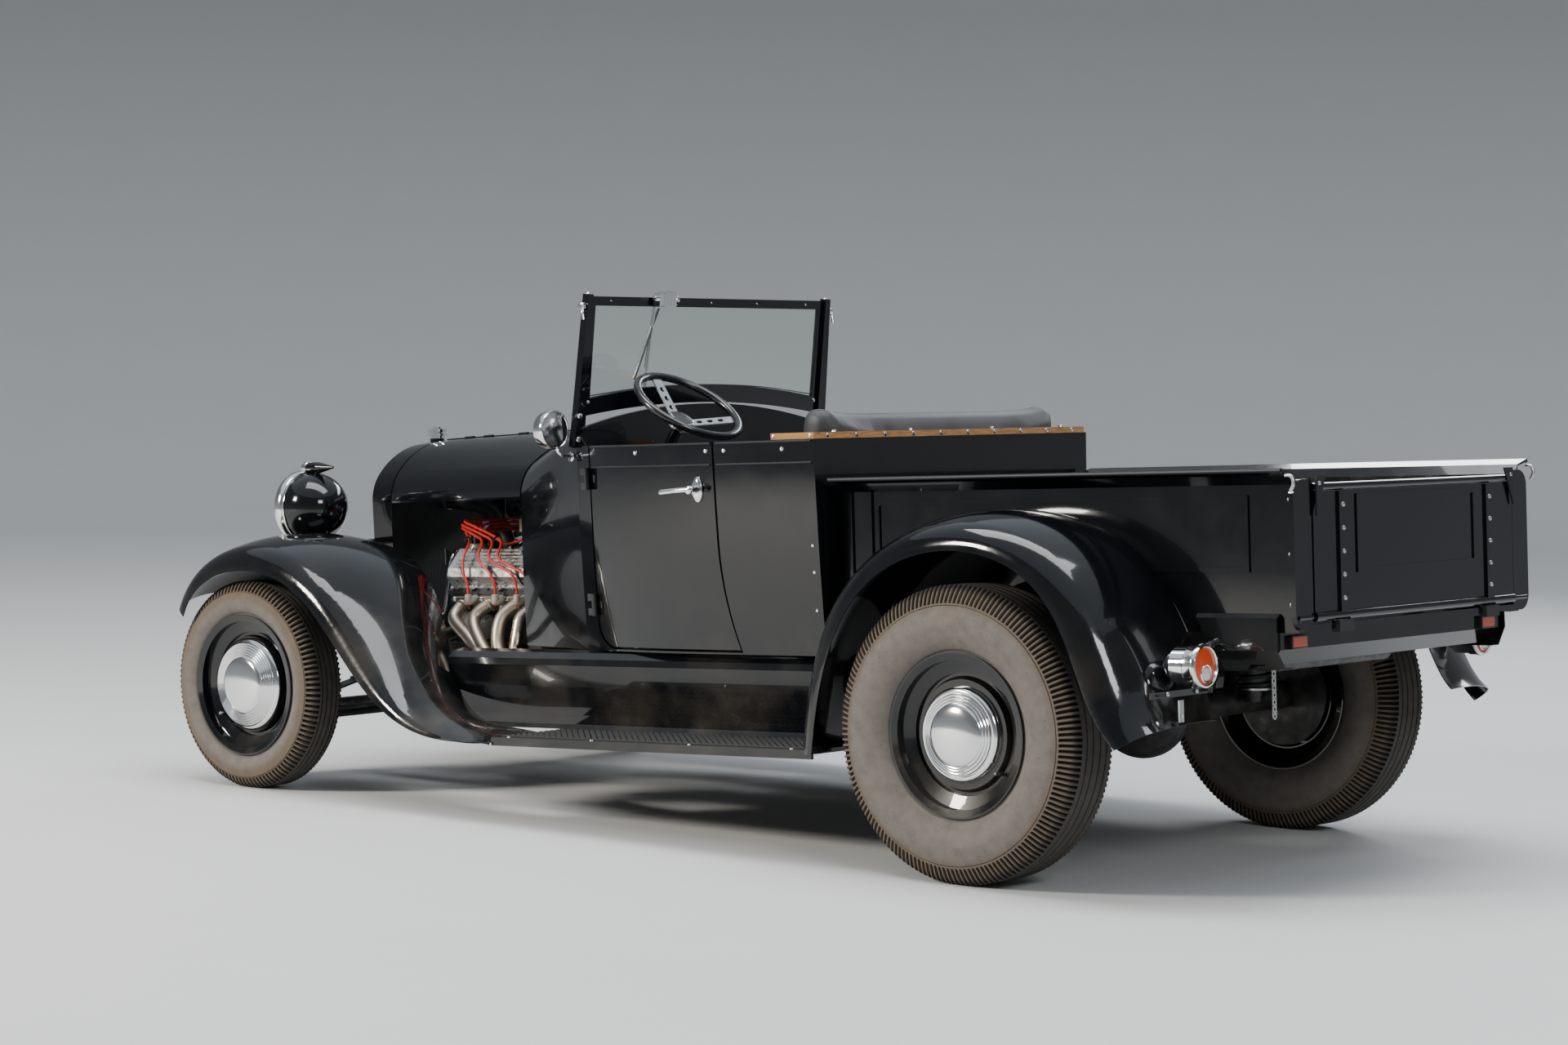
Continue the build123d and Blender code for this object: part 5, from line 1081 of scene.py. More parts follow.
class ROADSTER_OT_hubcaps(PieceOperator, bpy.types.Operator):
    """Chrome hubcaps with stepped rings, and valve stems"""

    bl_idname = "roadster.hubcaps"
    bl_label = "Hubcaps"

    # distance of the caps' faces from the car's middle
    face = {"rear": 0.818, "front": 0.815}
    # distance of the rim's middle from the car's middle, and the angle at which the valve stands
    valves = {"rear": (0.725, radians(215)), "front": (0.736, radians(320))}
    valve_reach, stem_length = 0.151, 0.026
    # (radius, height) from the middle of the face outwards
    rear = (
        (0, 0), (0.014, -0.0002), (0.028, -0.001), (0.042, -0.0026), (0.055, -0.0048), (0.066, -0.0078),
        (0.074, -0.0112), (0.078, -0.0138), (0.0795, -0.0165), (0.0812, -0.0160), (0.083, -0.0150),
        (0.0848, -0.0154), (0.086, -0.0168), (0.0875, -0.0195), (0.0890, -0.0190), (0.0905, -0.0180),
        (0.0922, -0.0184), (0.0935, -0.0198), (0.095, -0.0225), (0.0965, -0.0220), (0.098, -0.021),
        (0.0997, -0.0214), (0.101, -0.0228), (0.1025, -0.0265), (0.1042, -0.0262), (0.106, -0.0255),
        (0.110, -0.0262), (0.1135, -0.0285), (0.1165, -0.032), (0.1185, -0.036), (0.1195, -0.040),
        (0.120, -0.0445), (0.116, -0.0445))

    def build(self, scene):
        for end in ("rear", "front"):
            profile = self.rear if end == "rear" else self.front_profile()
            for side, hand in SIDES:
                pivot = PIVOT[f"spin_{end}_{hand}"]
                place = facing((pivot.x, side * self.face[end], pivot.z), (0, side, 0))
                cap = Build("chrome_trim").lathe(profile, place, 96)
                piece = cap.place(
                    f"hubcap_{end}_{hand}_chrome", f"wheel_{end}_{hand}", "chrome_trim", ROW, at=pivot)
                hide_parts(f"hubcap_{end}_{hand}")
                self.valve(end, hand, side, pivot)

    @staticmethod
    def front_profile():
        """A dome inside a wide band of ripples."""
        points = [(0, 0), (0.02, -0.0004), (0.04, -0.0018), (0.058, -0.004), (0.07, -0.0064),
                  (0.078, -0.0088)]
        inner, outer, rings = 0.082, 0.124, 6
        for k in range(rings * 8 + 1):
            share = k / (rings * 8)
            radius = inner + (outer - inner) * share
            points.append((radius, -0.011 - 0.014 * share - 0.0016 * cos(2 * pi * rings * share)))
        return points + [(0.128, -0.0285), (0.132, -0.032), (0.135, -0.0355), (0.136, -0.04), (0.132, -0.04)]

    def valve(self, end, hand, side, pivot):
        """Valve stem with its cap, standing out of the rim's drop."""
        half, (centre, turn) = ROADSTER_OT_tyres.rim_half[end], self.valves[end]
        out = Vector((cos(turn) * side, 0, sin(turn)))
        foot = pivot + out * self.valve_reach
        foot.y = centre * side + side * (half - 0.034)
        tip = foot + Vector((0, side * self.stem_length, 0)) - out * 0.006
        stem = Build("black_trim", "chrome_trim")
        stem.rod(foot, foot.lerp(tip, 0.55), 0.0058, 0.0042, 14)
        stem.use(1).rod(foot.lerp(tip, 0.5), tip, 0.004, 0.0038, 14)
        stem.lathe([(0.0046, -0.008), (0.0046, -0.002), (0.0035, 0.001), (0, 0.0014)],
                   facing(tip, tip - foot), 14)
        stem.place(f"valve_{end}_{hand}", f"wheel_{end}_{hand}", "chrome_trim", ROW, at=pivot)


class ROADSTER_OT_rail(PieceOperator, bpy.types.Operator):
    """Screws and snap studs on the wooden rail behind the seat"""

    bl_idname = "roadster.rail"
    bl_label = "Rail screws"

    count, pitch, first_y = 10, 0.12, -0.54
    back_x, end_y, edge_z, top_z = 0.6, 0.598, 1.1168, 1.125
    # radius, height and sides of a screw and of a snap stud
    screw, stud = (0.0062, 0.003, 16), (0.0075, 0.006, 16)

    def build(self, scene):
        screws = Build("chrome_trim")
        for k in range(self.count):
            screws.bolt((self.back_x, self.first_y + self.pitch * k, self.edge_z), (-1, 0, 0), *self.screw)
        for y in (-0.5, -0.18, 0.18, 0.5):
            screws.bolt((0.611, y, self.top_z), (0, 0, 1), *self.stud)
        for side in (1, -1):
            for x in (0.612, 0.738):
                screws.bolt((x, side * self.end_y, self.edge_z), (0, side, 0), *self.screw)
            screws.bolt((0.746, side * 0.588, self.edge_z), (1, 0, 0), 0.0055, 0.003, 16)
        screws.place("rail_screws", "chassis", "chrome_trim")


class ROADSTER_OT_body_trim(PieceOperator, bpy.types.Operator):
    """Door handles, belt mouldings, snap studs and inner panels"""

    bl_idname = "roadster.body_trim"
    bl_label = "Body trim"

    # heights of the belt moulding, of the snap studs and of the line above them
    belt, snaps, snap_line = 1.047, 1.084, 1.1035
    # radius, height and sides of a snap stud
    stud = (0.0065, 0.005, 16)

    def build(self, scene):
        for side, hand in SIDES:
            self.door(side, hand)
            self.quarter(side, hand)
            self.panel(side, hand)

    def moulding(self, build, node, side, start, end, z):
        """A bead that follows the side skin at one height."""
        points, count = [], 9
        for k in range(count):
            x = start + (end - start) * k / (count - 1)
            place, normal = self.skin(node, side, x, z)
            points.append(place + normal * 0.0004)
        build.sweep(points, 0.0032, 10, 3)

    def door(self, side, hand):
        """Mouldings, studs and handle of a door."""
        node = f"door_{hand}"
        trim = Build("body_black", "chrome_trim", "black_trim")
        self.moulding(trim, node, side, 0.95, 1.446, self.belt)
        self.moulding(trim, node, side, 0.948, 1.446, self.snap_line)
        trim.use(1)
        for x in (0.965, 1.24):
            trim.bolt(*self.skin(node, side, x, self.snaps), *self.stud)
        self.handle(trim, node, side)
        trim.place(f"door_trim_{hand}", f"door_{hand}", "body_black")

    def skin(self, node, side, x, z):
        """Place and outward direction on the side skin."""
        return surface(node, (x, side * 0.9, z), (0, -side, 0))

    def handle(self, trim, node, side):
        """Chrome lever on an upright oval plate."""
        x, z = 0.999, 0.982
        y = abs(self.skin(node, side, x, z + 0.045)[0].y)
        plate = facing((x, side * y, z), (0, side, 0)) @ Matrix.Diagonal((0.78, 1.45, 1, 1))
        trim.lathe(
            [(0, 0.0078), (0.014, 0.0074), (0.02, 0.006), (0.0235, 0.0025), (0.024, -0.003)], plate, 32)
        trim.lathe(
            [(0.0125, 0.004), (0.0112, 0.012), (0.0102, 0.022), (0.0115, 0.03), (0.0128, 0.0345),
             (0.0112, 0.039), (0.0062, 0.0412), (0, 0.0418)], facing((x, side * y, z), (0, side, 0)), 24)
        lever = [(x - 0.013, y + 0.032, z + 0.001), (x + 0.01, y + 0.034, z),
                 (x + 0.05, y + 0.037, z - 0.002),
                 (x + 0.092, y + 0.038, z - 0.005), (x + 0.104, y + 0.038, z - 0.006)]
        trim.sweep([(a, side * b, c) for a, b, c in lever], 0.0088, 16, 6, swell=self.leaf)

    @staticmethod
    def leaf(share):
        """Fullness along the lever: a rounded start, a swelling and a drawn-out tip."""
        body = min(1.0, 0.62 + 0.9 * sin(pi * min(1, share * 1.02)) ** 1.2)
        return body * min(1, (1.001 - share) * 9) ** 0.5

    def quarter(self, side, hand):
        """Mouldings, studs and screws of a rear quarter."""
        trim = Build("body_black", "chrome_trim")
        self.moulding(trim, "body_tub", side, 0.604, 0.928, self.belt)
        self.moulding(trim, "body_tub", side, 0.604, 0.928, self.snap_line)
        trim.use(1)
        for x in (0.7, 0.9):
            trim.bolt(*self.skin("body_tub", side, x, self.snaps), *self.stud)
        for z in (0.83, 0.76, 0.66):
            trim.bolt(*self.skin("body_tub", side, 0.615, z), 0.005, 0.004, 16)
        trim.place(f"quarter_trim_{hand}", "chassis", "body_black")

    def panel(self, side, hand):
        """Leather panel on the inside of the door with piping round it and a chrome pull."""
        node, rows = f"door_{hand}", []
        for i in range(7):
            z = 0.64 + 0.4 * i / 6
            rows.append([(1.0 + 0.4 * k / 8, side * 0.3, z) for k in range(9)])
        lining = Build("seat_leather", "seat_piping", "chrome_trim")
        lining.patch(node, rows, (0, side, 0), 0.006)
        edge = [surface(node, p, (0, side, 0)) for p in self.rim(1.0, 1.4, 0.64, 1.04, side)]
        lining.use(1).sweep([p + n * 0.0055 for p, n in edge], 0.003, 8, 2)
        pull, normal = surface(node, (1.02, side * 0.3, 1.0), (0, side, 0))
        lining.use(2).bolt(pull + normal * 0.006, normal, 0.02, 0.006, 24)
        lining.rod(pull + normal * 0.01, pull + normal * 0.032, 0.006)
        lining.sweep([pull + normal * 0.03, pull + normal * 0.034 + Vector((0.04, 0, -0.004)),
                      pull + normal * 0.03 + Vector((0.085, 0, -0.01))], 0.006, 12, 6)
        lining.place(f"door_lining_{hand}", f"door_{hand}", "seat_leather")

    @staticmethod
    def rim(x0, x1, z0, z1, side):
        """Points round a rectangle on the inside of a side."""
        points = [(x0 + (x1 - x0) * k / 8, side * 0.3, z0) for k in range(9)]
        points += [(x1, side * 0.3, z0 + (z1 - z0) * k / 8) for k in range(1, 9)]
        points += [(x1 - (x1 - x0) * k / 8, side * 0.3, z1) for k in range(1, 9)]
        return points + [(x0, side * 0.3, z1 - (z1 - z0) * k / 8) for k in range(1, 9)]


class ROADSTER_OT_lamps(PieceOperator, bpy.types.Operator):
    """Headlamp rims, lenses and bulbs, tail lamp bezels and the marker lamps"""

    bl_idname = "roadster.lamps"
    bl_label = "Lamps"

    def build(self, scene):
        for side, hand in SIDES:
            self.head(side, hand)
            self.tail(side, hand)
        self.markers()

    def head(self, side, hand):
        """Rim, bowl, lens, marker pod and post of a headlamp."""
        x, y, z = 2.762, side * 0.43, 0.949
        place = facing((x, y, z), (1, 0, 0))
        lamp = Build("chrome_trim", "lamp_glass", "body_black", "amber_lens")
        lamp.lathe(
            [(0.103, -0.034), (0.1068, -0.034), (0.1078, -0.03), (0.1068, -0.026), (0.1095, -0.022),
             (0.1115, -0.012), (0.1105, -0.002), (0.107, 0.006), (0.102, 0.0085), (0.0975, 0.0065),
             (0.0955, 0.002), (0.0955, -0.001)],
            place, 64)
        bowl = [(0.0955, 0.0045), (0.085, 0.0036), (0.07, 0.0028), (0.05, 0.0018), (0.026, 0.001),
                (0.02, 0.0008)]
        lamp.lathe(bowl, place, 48)
        lamp.lathe([(0.02, 0.0008), (0.017, 0.003), (0.013, 0.006), (0.008, 0.009), (0, 0.0102)], place, 24)
        lamp.use(1).lathe(
            [(0.097, 0.0066), (0.085, 0.0122), (0.065, 0.0175), (0.04, 0.0208), (0.02, 0.022), (0, 0.0224),
             (0, 0.0204), (0.04, 0.0188), (0.065, 0.0155), (0.085, 0.0102), (0.096, 0.0056)], place, 64)
        pod = facing((2.74, y, z + 0.118), (1, 0, 0))
        lamp.use(0).lathe(
            [(0.0175, -0.016), (0.0195, -0.014), (0.0195, 0.001), (0.0175, 0.0035), (0.015, 0.003)], pod, 28)
        lamp.use(3).lathe([(0.0155, 0.0025), (0.011, 0.0075), (0.005, 0.0098), (0, 0.0104)], pod, 28)
        lamp.use(0)
        lamp.bolt((2.618, y, z - 0.001), (-1, 0, 0), 0.006, 0.004, 16)
        lamp.lathe([(0.021, 0), (0.023, 0.003), (0.023, 0.012), (0.019, 0.015), (0.0155, 0.015)],
                   facing((2.702, y, 0.848), (0, 0, 1)), 24)
        for turn in (0, 90, 180, 270):
            a = radians(turn + 45)
            lamp.bolt((2.702 + 0.03 * cos(a), y + 0.03 * sin(a), 0.7905), (0, 0, 1), 0.005, 0.005)
        lamp.use(2).lathe([(0.044, 0.0), (0.044, 0.005), (0.034, 0.009), (0.022, 0.012), (0.016, 0.022)],
                          facing((2.702, y, 0.7815), (0, 0, 1)), 32)
        lamp.place(f"headlamp_dress_{hand}", "chassis", "chrome_trim")

    def tail(self, side, hand):
        """Bezel, lens, lower window and screws of a tail lamp."""
        x, y, z = -0.632, side * 0.652, 0.541
        place = facing((x, y, z), (-1, 0, 0))
        lamp = Build("chrome_trim", "lens_red", "lens_clear", "black_trim")
        lamp.lathe(
            [(0.0495, -0.03), (0.0515, -0.027), (0.052, -0.008), (0.0535, -0.004), (0.0535, 0.003),
             (0.051, 0.0075), (0.0475, 0.0085), (0.0445, 0.006), (0.0435, 0.0015)], place, 56)
        lamp.use(1).lathe([(0.044, 0.002), (0.035, 0.0055), (0.02, 0.0075), (0, 0.0082)], place, 48)
        window = facing((x - 0.0035, y, z - 0.017), (-1, 0, 0))
        lamp.use(0).lathe([(0.0215, 0.0), (0.0225, 0.003), (0.0205, 0.0058), (0.0175, 0.005),
                           (0.0165, 0.002)], window, 36)
        lamp.use(2).lathe([(0.017, 0.0035), (0.01, 0.0062), (0, 0.0072)], window, 32)
        lamp.use(0)
        for turn in (20, 160):
            a = radians(turn)
            lamp.bolt((x - 0.0075, y + 0.0495 * cos(a), z + 0.0495 * sin(a)), (-1, 0, 0), 0.0026, 0.0022, 12)
        lamp.lathe([(0.013, 0), (0.0145, 0.004), (0.0145, 0.01), (0.011, 0.013)],
                   facing((-0.598, side * 0.606, 0.586), (0, side * 0.3, -1)), 20)
        lamp.place(f"tail_lamp_dress_{hand}", "chassis", "chrome_trim")

    def markers(self):
        """Frames round the marker lamps."""
        trim = Build("black_trim", "lens_orange")
        for side in (1, -1):
            y, x = side * 0.447, -0.7725
            deep = (x + 0.0005, x + 0.0125)
            for high in ((0.573, 0.577), (0.601, 0.605)):
                trim.box(deep, (y - 0.034, y + 0.034), high)
            for end in (-1, 1):
                trim.box(deep, sorted((y + end * 0.03, y + end * 0.034)), (0.573, 0.605))
        trim.place("marker_frames", "chassis", "chassis_black", bevel=0.001)


HALF = 0.70711  # sine and cosine of a bank's 45 degrees
CRANK_Z = 0.507


def bank(along, across):
    """A point of the left cylinder bank's section: along the bores from the crank, and outward across."""
    return (along + across) * HALF, CRANK_Z + (along - across) * HALF


class ROADSTER_OT_engine(PieceOperator, bpy.types.Operator):
    """Cover bolts, plug boots, distributor, header welds, carburettor, hoses, filter and pulleys"""

    bl_idname = "roadster.engine_dress"
    bl_label = "Engine dress"

    front = 2.33
    ports = (2.226, 2.114, 2.002, 1.936)
    plugs = (2.17, 2.058, 1.969, 1.918)

    def build(self, scene):
        self.covers()
        self.boots()
        self.distributor()
        self.headers()
        self.carburettor()
        self.cleaner()
        self.hoses()
        self.drive()
        self.small_parts()

    def covers(self):
        """Hold-down rods with round nuts, flange screws and a breather on each cover."""
        trim = Build("chrome_trim", "black_trim", "engine_cast")
        rod = ((0.351, 0.0705), (0.368, 0.066), (0.389, 0.0525), (0.399, 0.034))
        for side in (1, -1):
            out = Vector((0, side * HALF, -HALF))
            for x in (1.955, 2.065, 2.178):
                ends = [bank(*pair) for pair in rod]
                trim.use(1).sweep(
                    [(x + 0.012 * k, side * y, z) for k, (y, z) in enumerate(ends)], 0.0036, 10, 5)
                y, z = ends[0]
                trim.use(0).bolt((x, side * y, z - 0.002), (0, side * 0.5, 0.86), 0.0075, 0.009, 16)
                trim.lathe([(0.011, 0), (0.011, 0.002), (0, 0.002)],
                           facing((x, side * y, z - 0.005), (0, side * 0.5, 0.86)), 20)
            for x in (1.925, 2.01, 2.12, 2.245, 2.262):
                y, z = bank(0.3455, 0.0715)
                trim.use(0).bolt((x, side * y, z), (0, side * HALF, HALF), 0.0042, 0.0035)
            for x in (1.93, 2.04, 2.15, 2.26):
                y, z = bank(0.312, 0.0845)
                trim.use(2).bolt((x, side * y, z), out, 0.0075, 0.007)
            y, z = bank(0.4, -0.012)
            up = facing((1.947, side * y, z), (0, side * HALF, HALF))
            trim.use(0).lathe(
                [(0.016, -0.006), (0.0145, 0.008), (0.0145, 0.016), (0.026, 0.018), (0.0275, 0.021),
                 (0.0275, 0.038), (0.025, 0.042), (0.014, 0.045), (0, 0.0455)], up, 32)
        trim.place("cover_dress", "chassis", "chrome_trim")

    def boots(self):
        """Pale sleeves over the plug caps, and the plugs' hexagons."""
        sleeves = Build("plug_boot", "bolt_steel", "lead_red")
        low, out = bank(0.322, 0.0845), bank(0.336, 0.122)
        for side in (1, -1):
            for x in self.plugs:
                foot, elbow = Vector((x, side * low[0], low[1])), Vector((x, side * out[0], out[1]))
                tip = elbow + Vector((0, 0, 0.024))
                ahead = (elbow - foot).normalized()
                sleeves.use(0).sweep(
                    [foot + ahead * 0.008, elbow - ahead * 0.01, elbow + Vector((0, side * 0.0015, 0.004)),
                     tip],
                    0.0096, 16, 6)
                for share in (0.35, 0.55):
                    sleeves.lathe([(0.0096, -0.002), (0.0108, -0.001), (0.0108, 0.001), (0.0096, 0.002)],
                                  facing(foot.lerp(elbow, share), ahead), 18)
                sleeves.lathe([(0.0096, -0.003), (0.0106, -0.001), (0.0094, 0.0012), (0.0052, 0.0016)],
                              facing(tip, (0, 0, 1)), 18)
                sleeves.use(1).lathe([(0, 0.008), (0.0105, 0.008), (0.0115, 0.0065), (0.0115, -0.001)],
                                     facing(foot, ahead), 6)
        sleeves.place("plug_boots", "chassis", "lead_red")

    def distributor(self):
        """Bright band, clips, towers and vacuum capsule on the distributor, and the coil's clamp."""
        x, y = 2.321, 0.124
        up = facing((x, y, 0.0), (0, 0, 1))
        trim = Build("chrome_trim", "black_trim", "cap_tan", "lead_red")
        trim.lathe([(0.031, 0.752), (0.0322, 0.756), (0.0318, 0.77), (0.0345, 0.776), (0.0388, 0.7795),
                    (0.0388, 0.79), (0.0372, 0.7925)], up, 48)
        trim.use(2).lathe([(0.0372, 0.792), (0.0378, 0.8), (0.0374, 0.811), (0.0345, 0.8155), (0.0325, 0.819),
                           (0.0322, 0.8255), (0.028, 0.8272), (0.012, 0.8278), (0, 0.828)], up, 48)
        for turn in range(22, 360, 45):
            a = radians(turn)
            self.tower(trim, x + 0.024 * cos(a), y + 0.024 * sin(a))
        self.tower(trim, x, y)
        trim.use(0)
        for turn in (100, 280):
            a = radians(turn)
            cx, cy = x + 0.0395 * cos(a), y + 0.0395 * sin(a)
            trim.sweep([(cx, cy, 0.77), (cx + 0.002 * cos(a), cy + 0.002 * sin(a), 0.785), (cx, cy, 0.8),
                        (x + 0.034 * cos(a), y + 0.034 * sin(a), 0.8165)], 0.0024, 8, 5, 1.6)
        can = facing((x - 0.02, y + 0.036, 0.768), (-0.35, 1, 0.05))
        trim.lathe([(0.006, -0.02), (0.006, 0.004), (0.024, 0.007), (0.0265, 0.0095), (0.0265, 0.0125),
                    (0.021, 0.018), (0.007, 0.021), (0.0045, 0.03), (0, 0.0305)], can, 32)
        coil = facing((1.914, 0.15, 0.0), (0, 0, 1))
        trim.use(0).lathe([(0.0262, 0.838), (0.0278, 0.84), (0.0278, 0.868), (0.0262, 0.87)], coil, 36)
        trim.use(1).lathe([(0.0262, 0.896), (0.0274, 0.9), (0.0262, 0.907), (0.012, 0.9095), (0.0095, 0.922),
                           (0.0085, 0.938), (0.005, 0.94)], coil, 32)
        trim.use(0)
        for dy in (-0.014, 0.014):
            trim.bolt((1.914, 0.15 + dy, 0.9075), (0, 0, 1), 0.0032, 0.008)
        trim.place("distributor_dress", "chassis", "chassis_black")

    @staticmethod
    def tower(trim, x, y):
        """One socket of the distributor's cap."""
        trim.use(1).lathe([(0.0068, 0.825), (0.0072, 0.834), (0.0078, 0.838), (0.0078, 0.852), (0.0066, 0.86),
                           (0.0046, 0.862)], facing((x, y, 0), (0, 0, 1)), 18)

    def headers(self):
        """Flange bolts, weld beads and the collector's clamps."""
        trim = Build("bolt_steel", "header_steel")
        for side in (1, -1):
            out = (0, side * HALF, -HALF)
            for x in self.ports:
                for along, shift in ((0.3215, 0.03), (0.281, -0.022)):
                    y, z = bank(along, 0.0945)
                    trim.use(0).bolt((x + shift, side * y, z), out, 0.0065, 0.008)
            for x, forward in zip(self.ports, (0.008, 0.036, 0.036, 0.026)):
                start = Vector((x, side * 0.2767, 0.6599))
                ahead = Vector((x + forward, side * 0.32, 0.6139)) - start
                ring = facing(start + ahead.normalized() * 0.012, ahead)
                trim.use(1).lathe([(0.0195, -0.002), (0.0232, 0.0), (0.0238, 0.0035), (0.0215, 0.0065),
                                   (0.0195, 0.007)], ring, 28)
            band = facing((1.80, side * 0.42, 0.4115), (1, 0, 0.02))
            trim.use(1).lathe([(0.041, -0.004), (0.0435, -0.002), (0.0435, 0.002), (0.041, 0.004)], band, 36)
            for x in (1.69, 1.43, 0.93, 0.6):
                ring = facing((x, side * 0.42, 0.408), (1, 0, 0))
                trim.use(0).lathe(
                    [(0.0272, -0.012), (0.03, -0.011), (0.03, 0.011), (0.0272, 0.012)], ring, 32)
                trim.rod((x, side * 0.42 - 0.014, 0.439), (x, side * 0.42 + 0.014, 0.439), 0.004, sides=12)
            tip = facing((0.56, side * 0.42, 0.408), (-1, 0, 0))
            trim.use(1).lathe([(0.0272, -0.01), (0.0295, -0.004), (0.0305, 0.002), (0.029, 0.005),
                               (0.0255, 0.004), (0.024, -0.002), (0.022, -0.002), (0, -0.0018)], tip, 36)
        trim.place("header_dress", "chassis", "header_steel")

    def carburettor(self):
        """Bowl screws, throttle levers, fuel lines and manifold bolts."""
        x, z = 2.08, 0.79
        trim = Build("chrome_trim", "brass", "black_trim", "bolt_steel")
        for end in (-1, 1):
            face = x + end * 0.119
            for y in (-0.03, 0.03):
                for dz in (0.014, 0.04):
                    trim.use(1).bolt((face, y, z + dz), (end, 0, 0), 0.0045, 0.003, 12)
            trim.use(0).bolt((face, 0, z + 0.027), (end, 0, 0), 0.009, 0.006)
            for side in (-1, 1):
                trim.use(1).bolt((x + end * 0.09, side * 0.04, z + 0.03), (0, side, 0), 0.0075, 0.008)
        line = [(x + 0.09, 0.05, z + 0.03), (x + 0.09, 0.075, z + 0.03), (x + 0.04, 0.088, z + 0.032),
                (x - 0.04, 0.088, z + 0.032), (x - 0.09, 0.075, z + 0.03), (x - 0.09, 0.05, z + 0.03)]
        trim.use(0).sweep(line, 0.0045, 10, 6)
        trim.use(2).sweep([(x + 0.02, 0.088, z + 0.032), (x + 0.06, 0.11, z + 0.01),
                           (x + 0.15, 0.12, z - 0.03), (x + 0.2, 0.1, z - 0.09)], 0.006, 10, 6)
        trim.use(3).rod((x - 0.03, -0.085, z + 0.012), (x - 0.03, 0.085, z + 0.012), 0.004)
        trim.box((x - 0.036, x - 0.024), (-0.088, -0.084), (z - 0.02, z + 0.03))
        trim.sweep(
            [(x - 0.03, -0.088, z - 0.016), (x - 0.1, -0.09, z - 0.01), (1.9, -0.095, z + 0.02)], 0.003, 8, 5)
        for px in (1.96, 2.05, 2.15, 2.24):
            for side in (1, -1):
                trim.use(3).bolt((px, side * 0.128, 0.728), (0, 0, 1), 0.0075, 0.008)
        for dx in (-0.03, 0.03):
            trim.bolt((2.232 + dx, 0, 0.801), (0, 0, 1), 0.005, 0.005)
        trim.place("carburettor_dress", "chassis", "chrome_trim")

    def cleaner(self):
        """Pleated paper element and a bright wing nut."""
        x = 2.08
        parts = Build("filter_paper", "chrome_trim")
        verts, faces, pleats = [], [], 150
        for k in range(2 * pleats):
            a, r = 2 * pi * k / (2 * pleats), 0.1365 if k % 2 else 0.1322
            verts += [(x + r * cos(a), r * sin(a), h) for h in (0.8605, 0.8975)]
        for k in range(2 * pleats):
            j = (k + 1) % (2 * pleats)
            faces.append((2 * k, 2 * j, 2 * j + 1, 2 * k + 1))
        parts.grow(verts, faces)
        top = facing((x, 0, 0.908), (0, 0, 1))
        parts.use(1).lathe(
            [(0.06, -0.001), (0.06, 0.002), (0.052, 0.0045), (0.02, 0.0055), (0.016, 0.0075)], top, 48)
        parts.lathe([(0.0145, 0.004), (0.0152, 0.01), (0.0125, 0.0175), (0.008, 0.02), (0, 0.0205)], top, 24)
        for side in (1, -1):
            parts.sweep([(x, side * 0.01, 0.918), (x, side * 0.022, 0.93), (x, side * 0.03, 0.94)], 0.0042,
                        10, 5, 0.6)
        for h in (0.8563, 0.903):
            ring = facing((x, 0, h), (0, 0, 1))
            parts.lathe([(0.1462, -0.0035), (0.1478, -0.0015), (0.1478, 0.0015), (0.1462, 0.0035)], ring, 72)
        parts.place("cleaner_dress", "chassis", "chrome_trim")

    def hoses(self):
        """Radiator hoses with worm clamps."""
        rubber = Build("hose_rubber", "bolt_steel")
        top = [(2.286, 0, 0.799), (2.31, 0, 0.812), (2.338, 0, 0.862), (2.372, 0, 0.91), (2.44, 0, 0.938),
               (2.54, 0, 0.95), (2.6, 0, 0.953)]
        low = [(2.6, 0.19, 0.56), (2.53, 0.2, 0.553), (2.43, 0.205, 0.552), (2.385, 0.18, 0.566),
               (2.366, 0.12, 0.605), (2.358, 0.05, 0.655)]
        rubber.sweep(top, 0.0225, 20, 7)
        rubber.sweep(low, 0.02, 20, 7)
        for points, radius in ((top, 0.0225), (low, 0.02)):
            for here, there in ((points[0], points[1]), (points[-1], points[-2])):
                here, there = Vector(here), Vector(there)
                spot = here.lerp(there, 0.5)
                ring = facing(spot, there - here)
                band, half = radius + 0.0015, 0.006
                rubber.use(1).lathe([(radius, -half), (band, -half), (band, half), (radius, half)], ring, 28)
                rubber.box((-0.006, 0.006), (radius + 0.001, radius + 0.008), (-0.006, 0.006), ring)
        rubber.place("radiator_hoses", "chassis", "tyre_rubber")

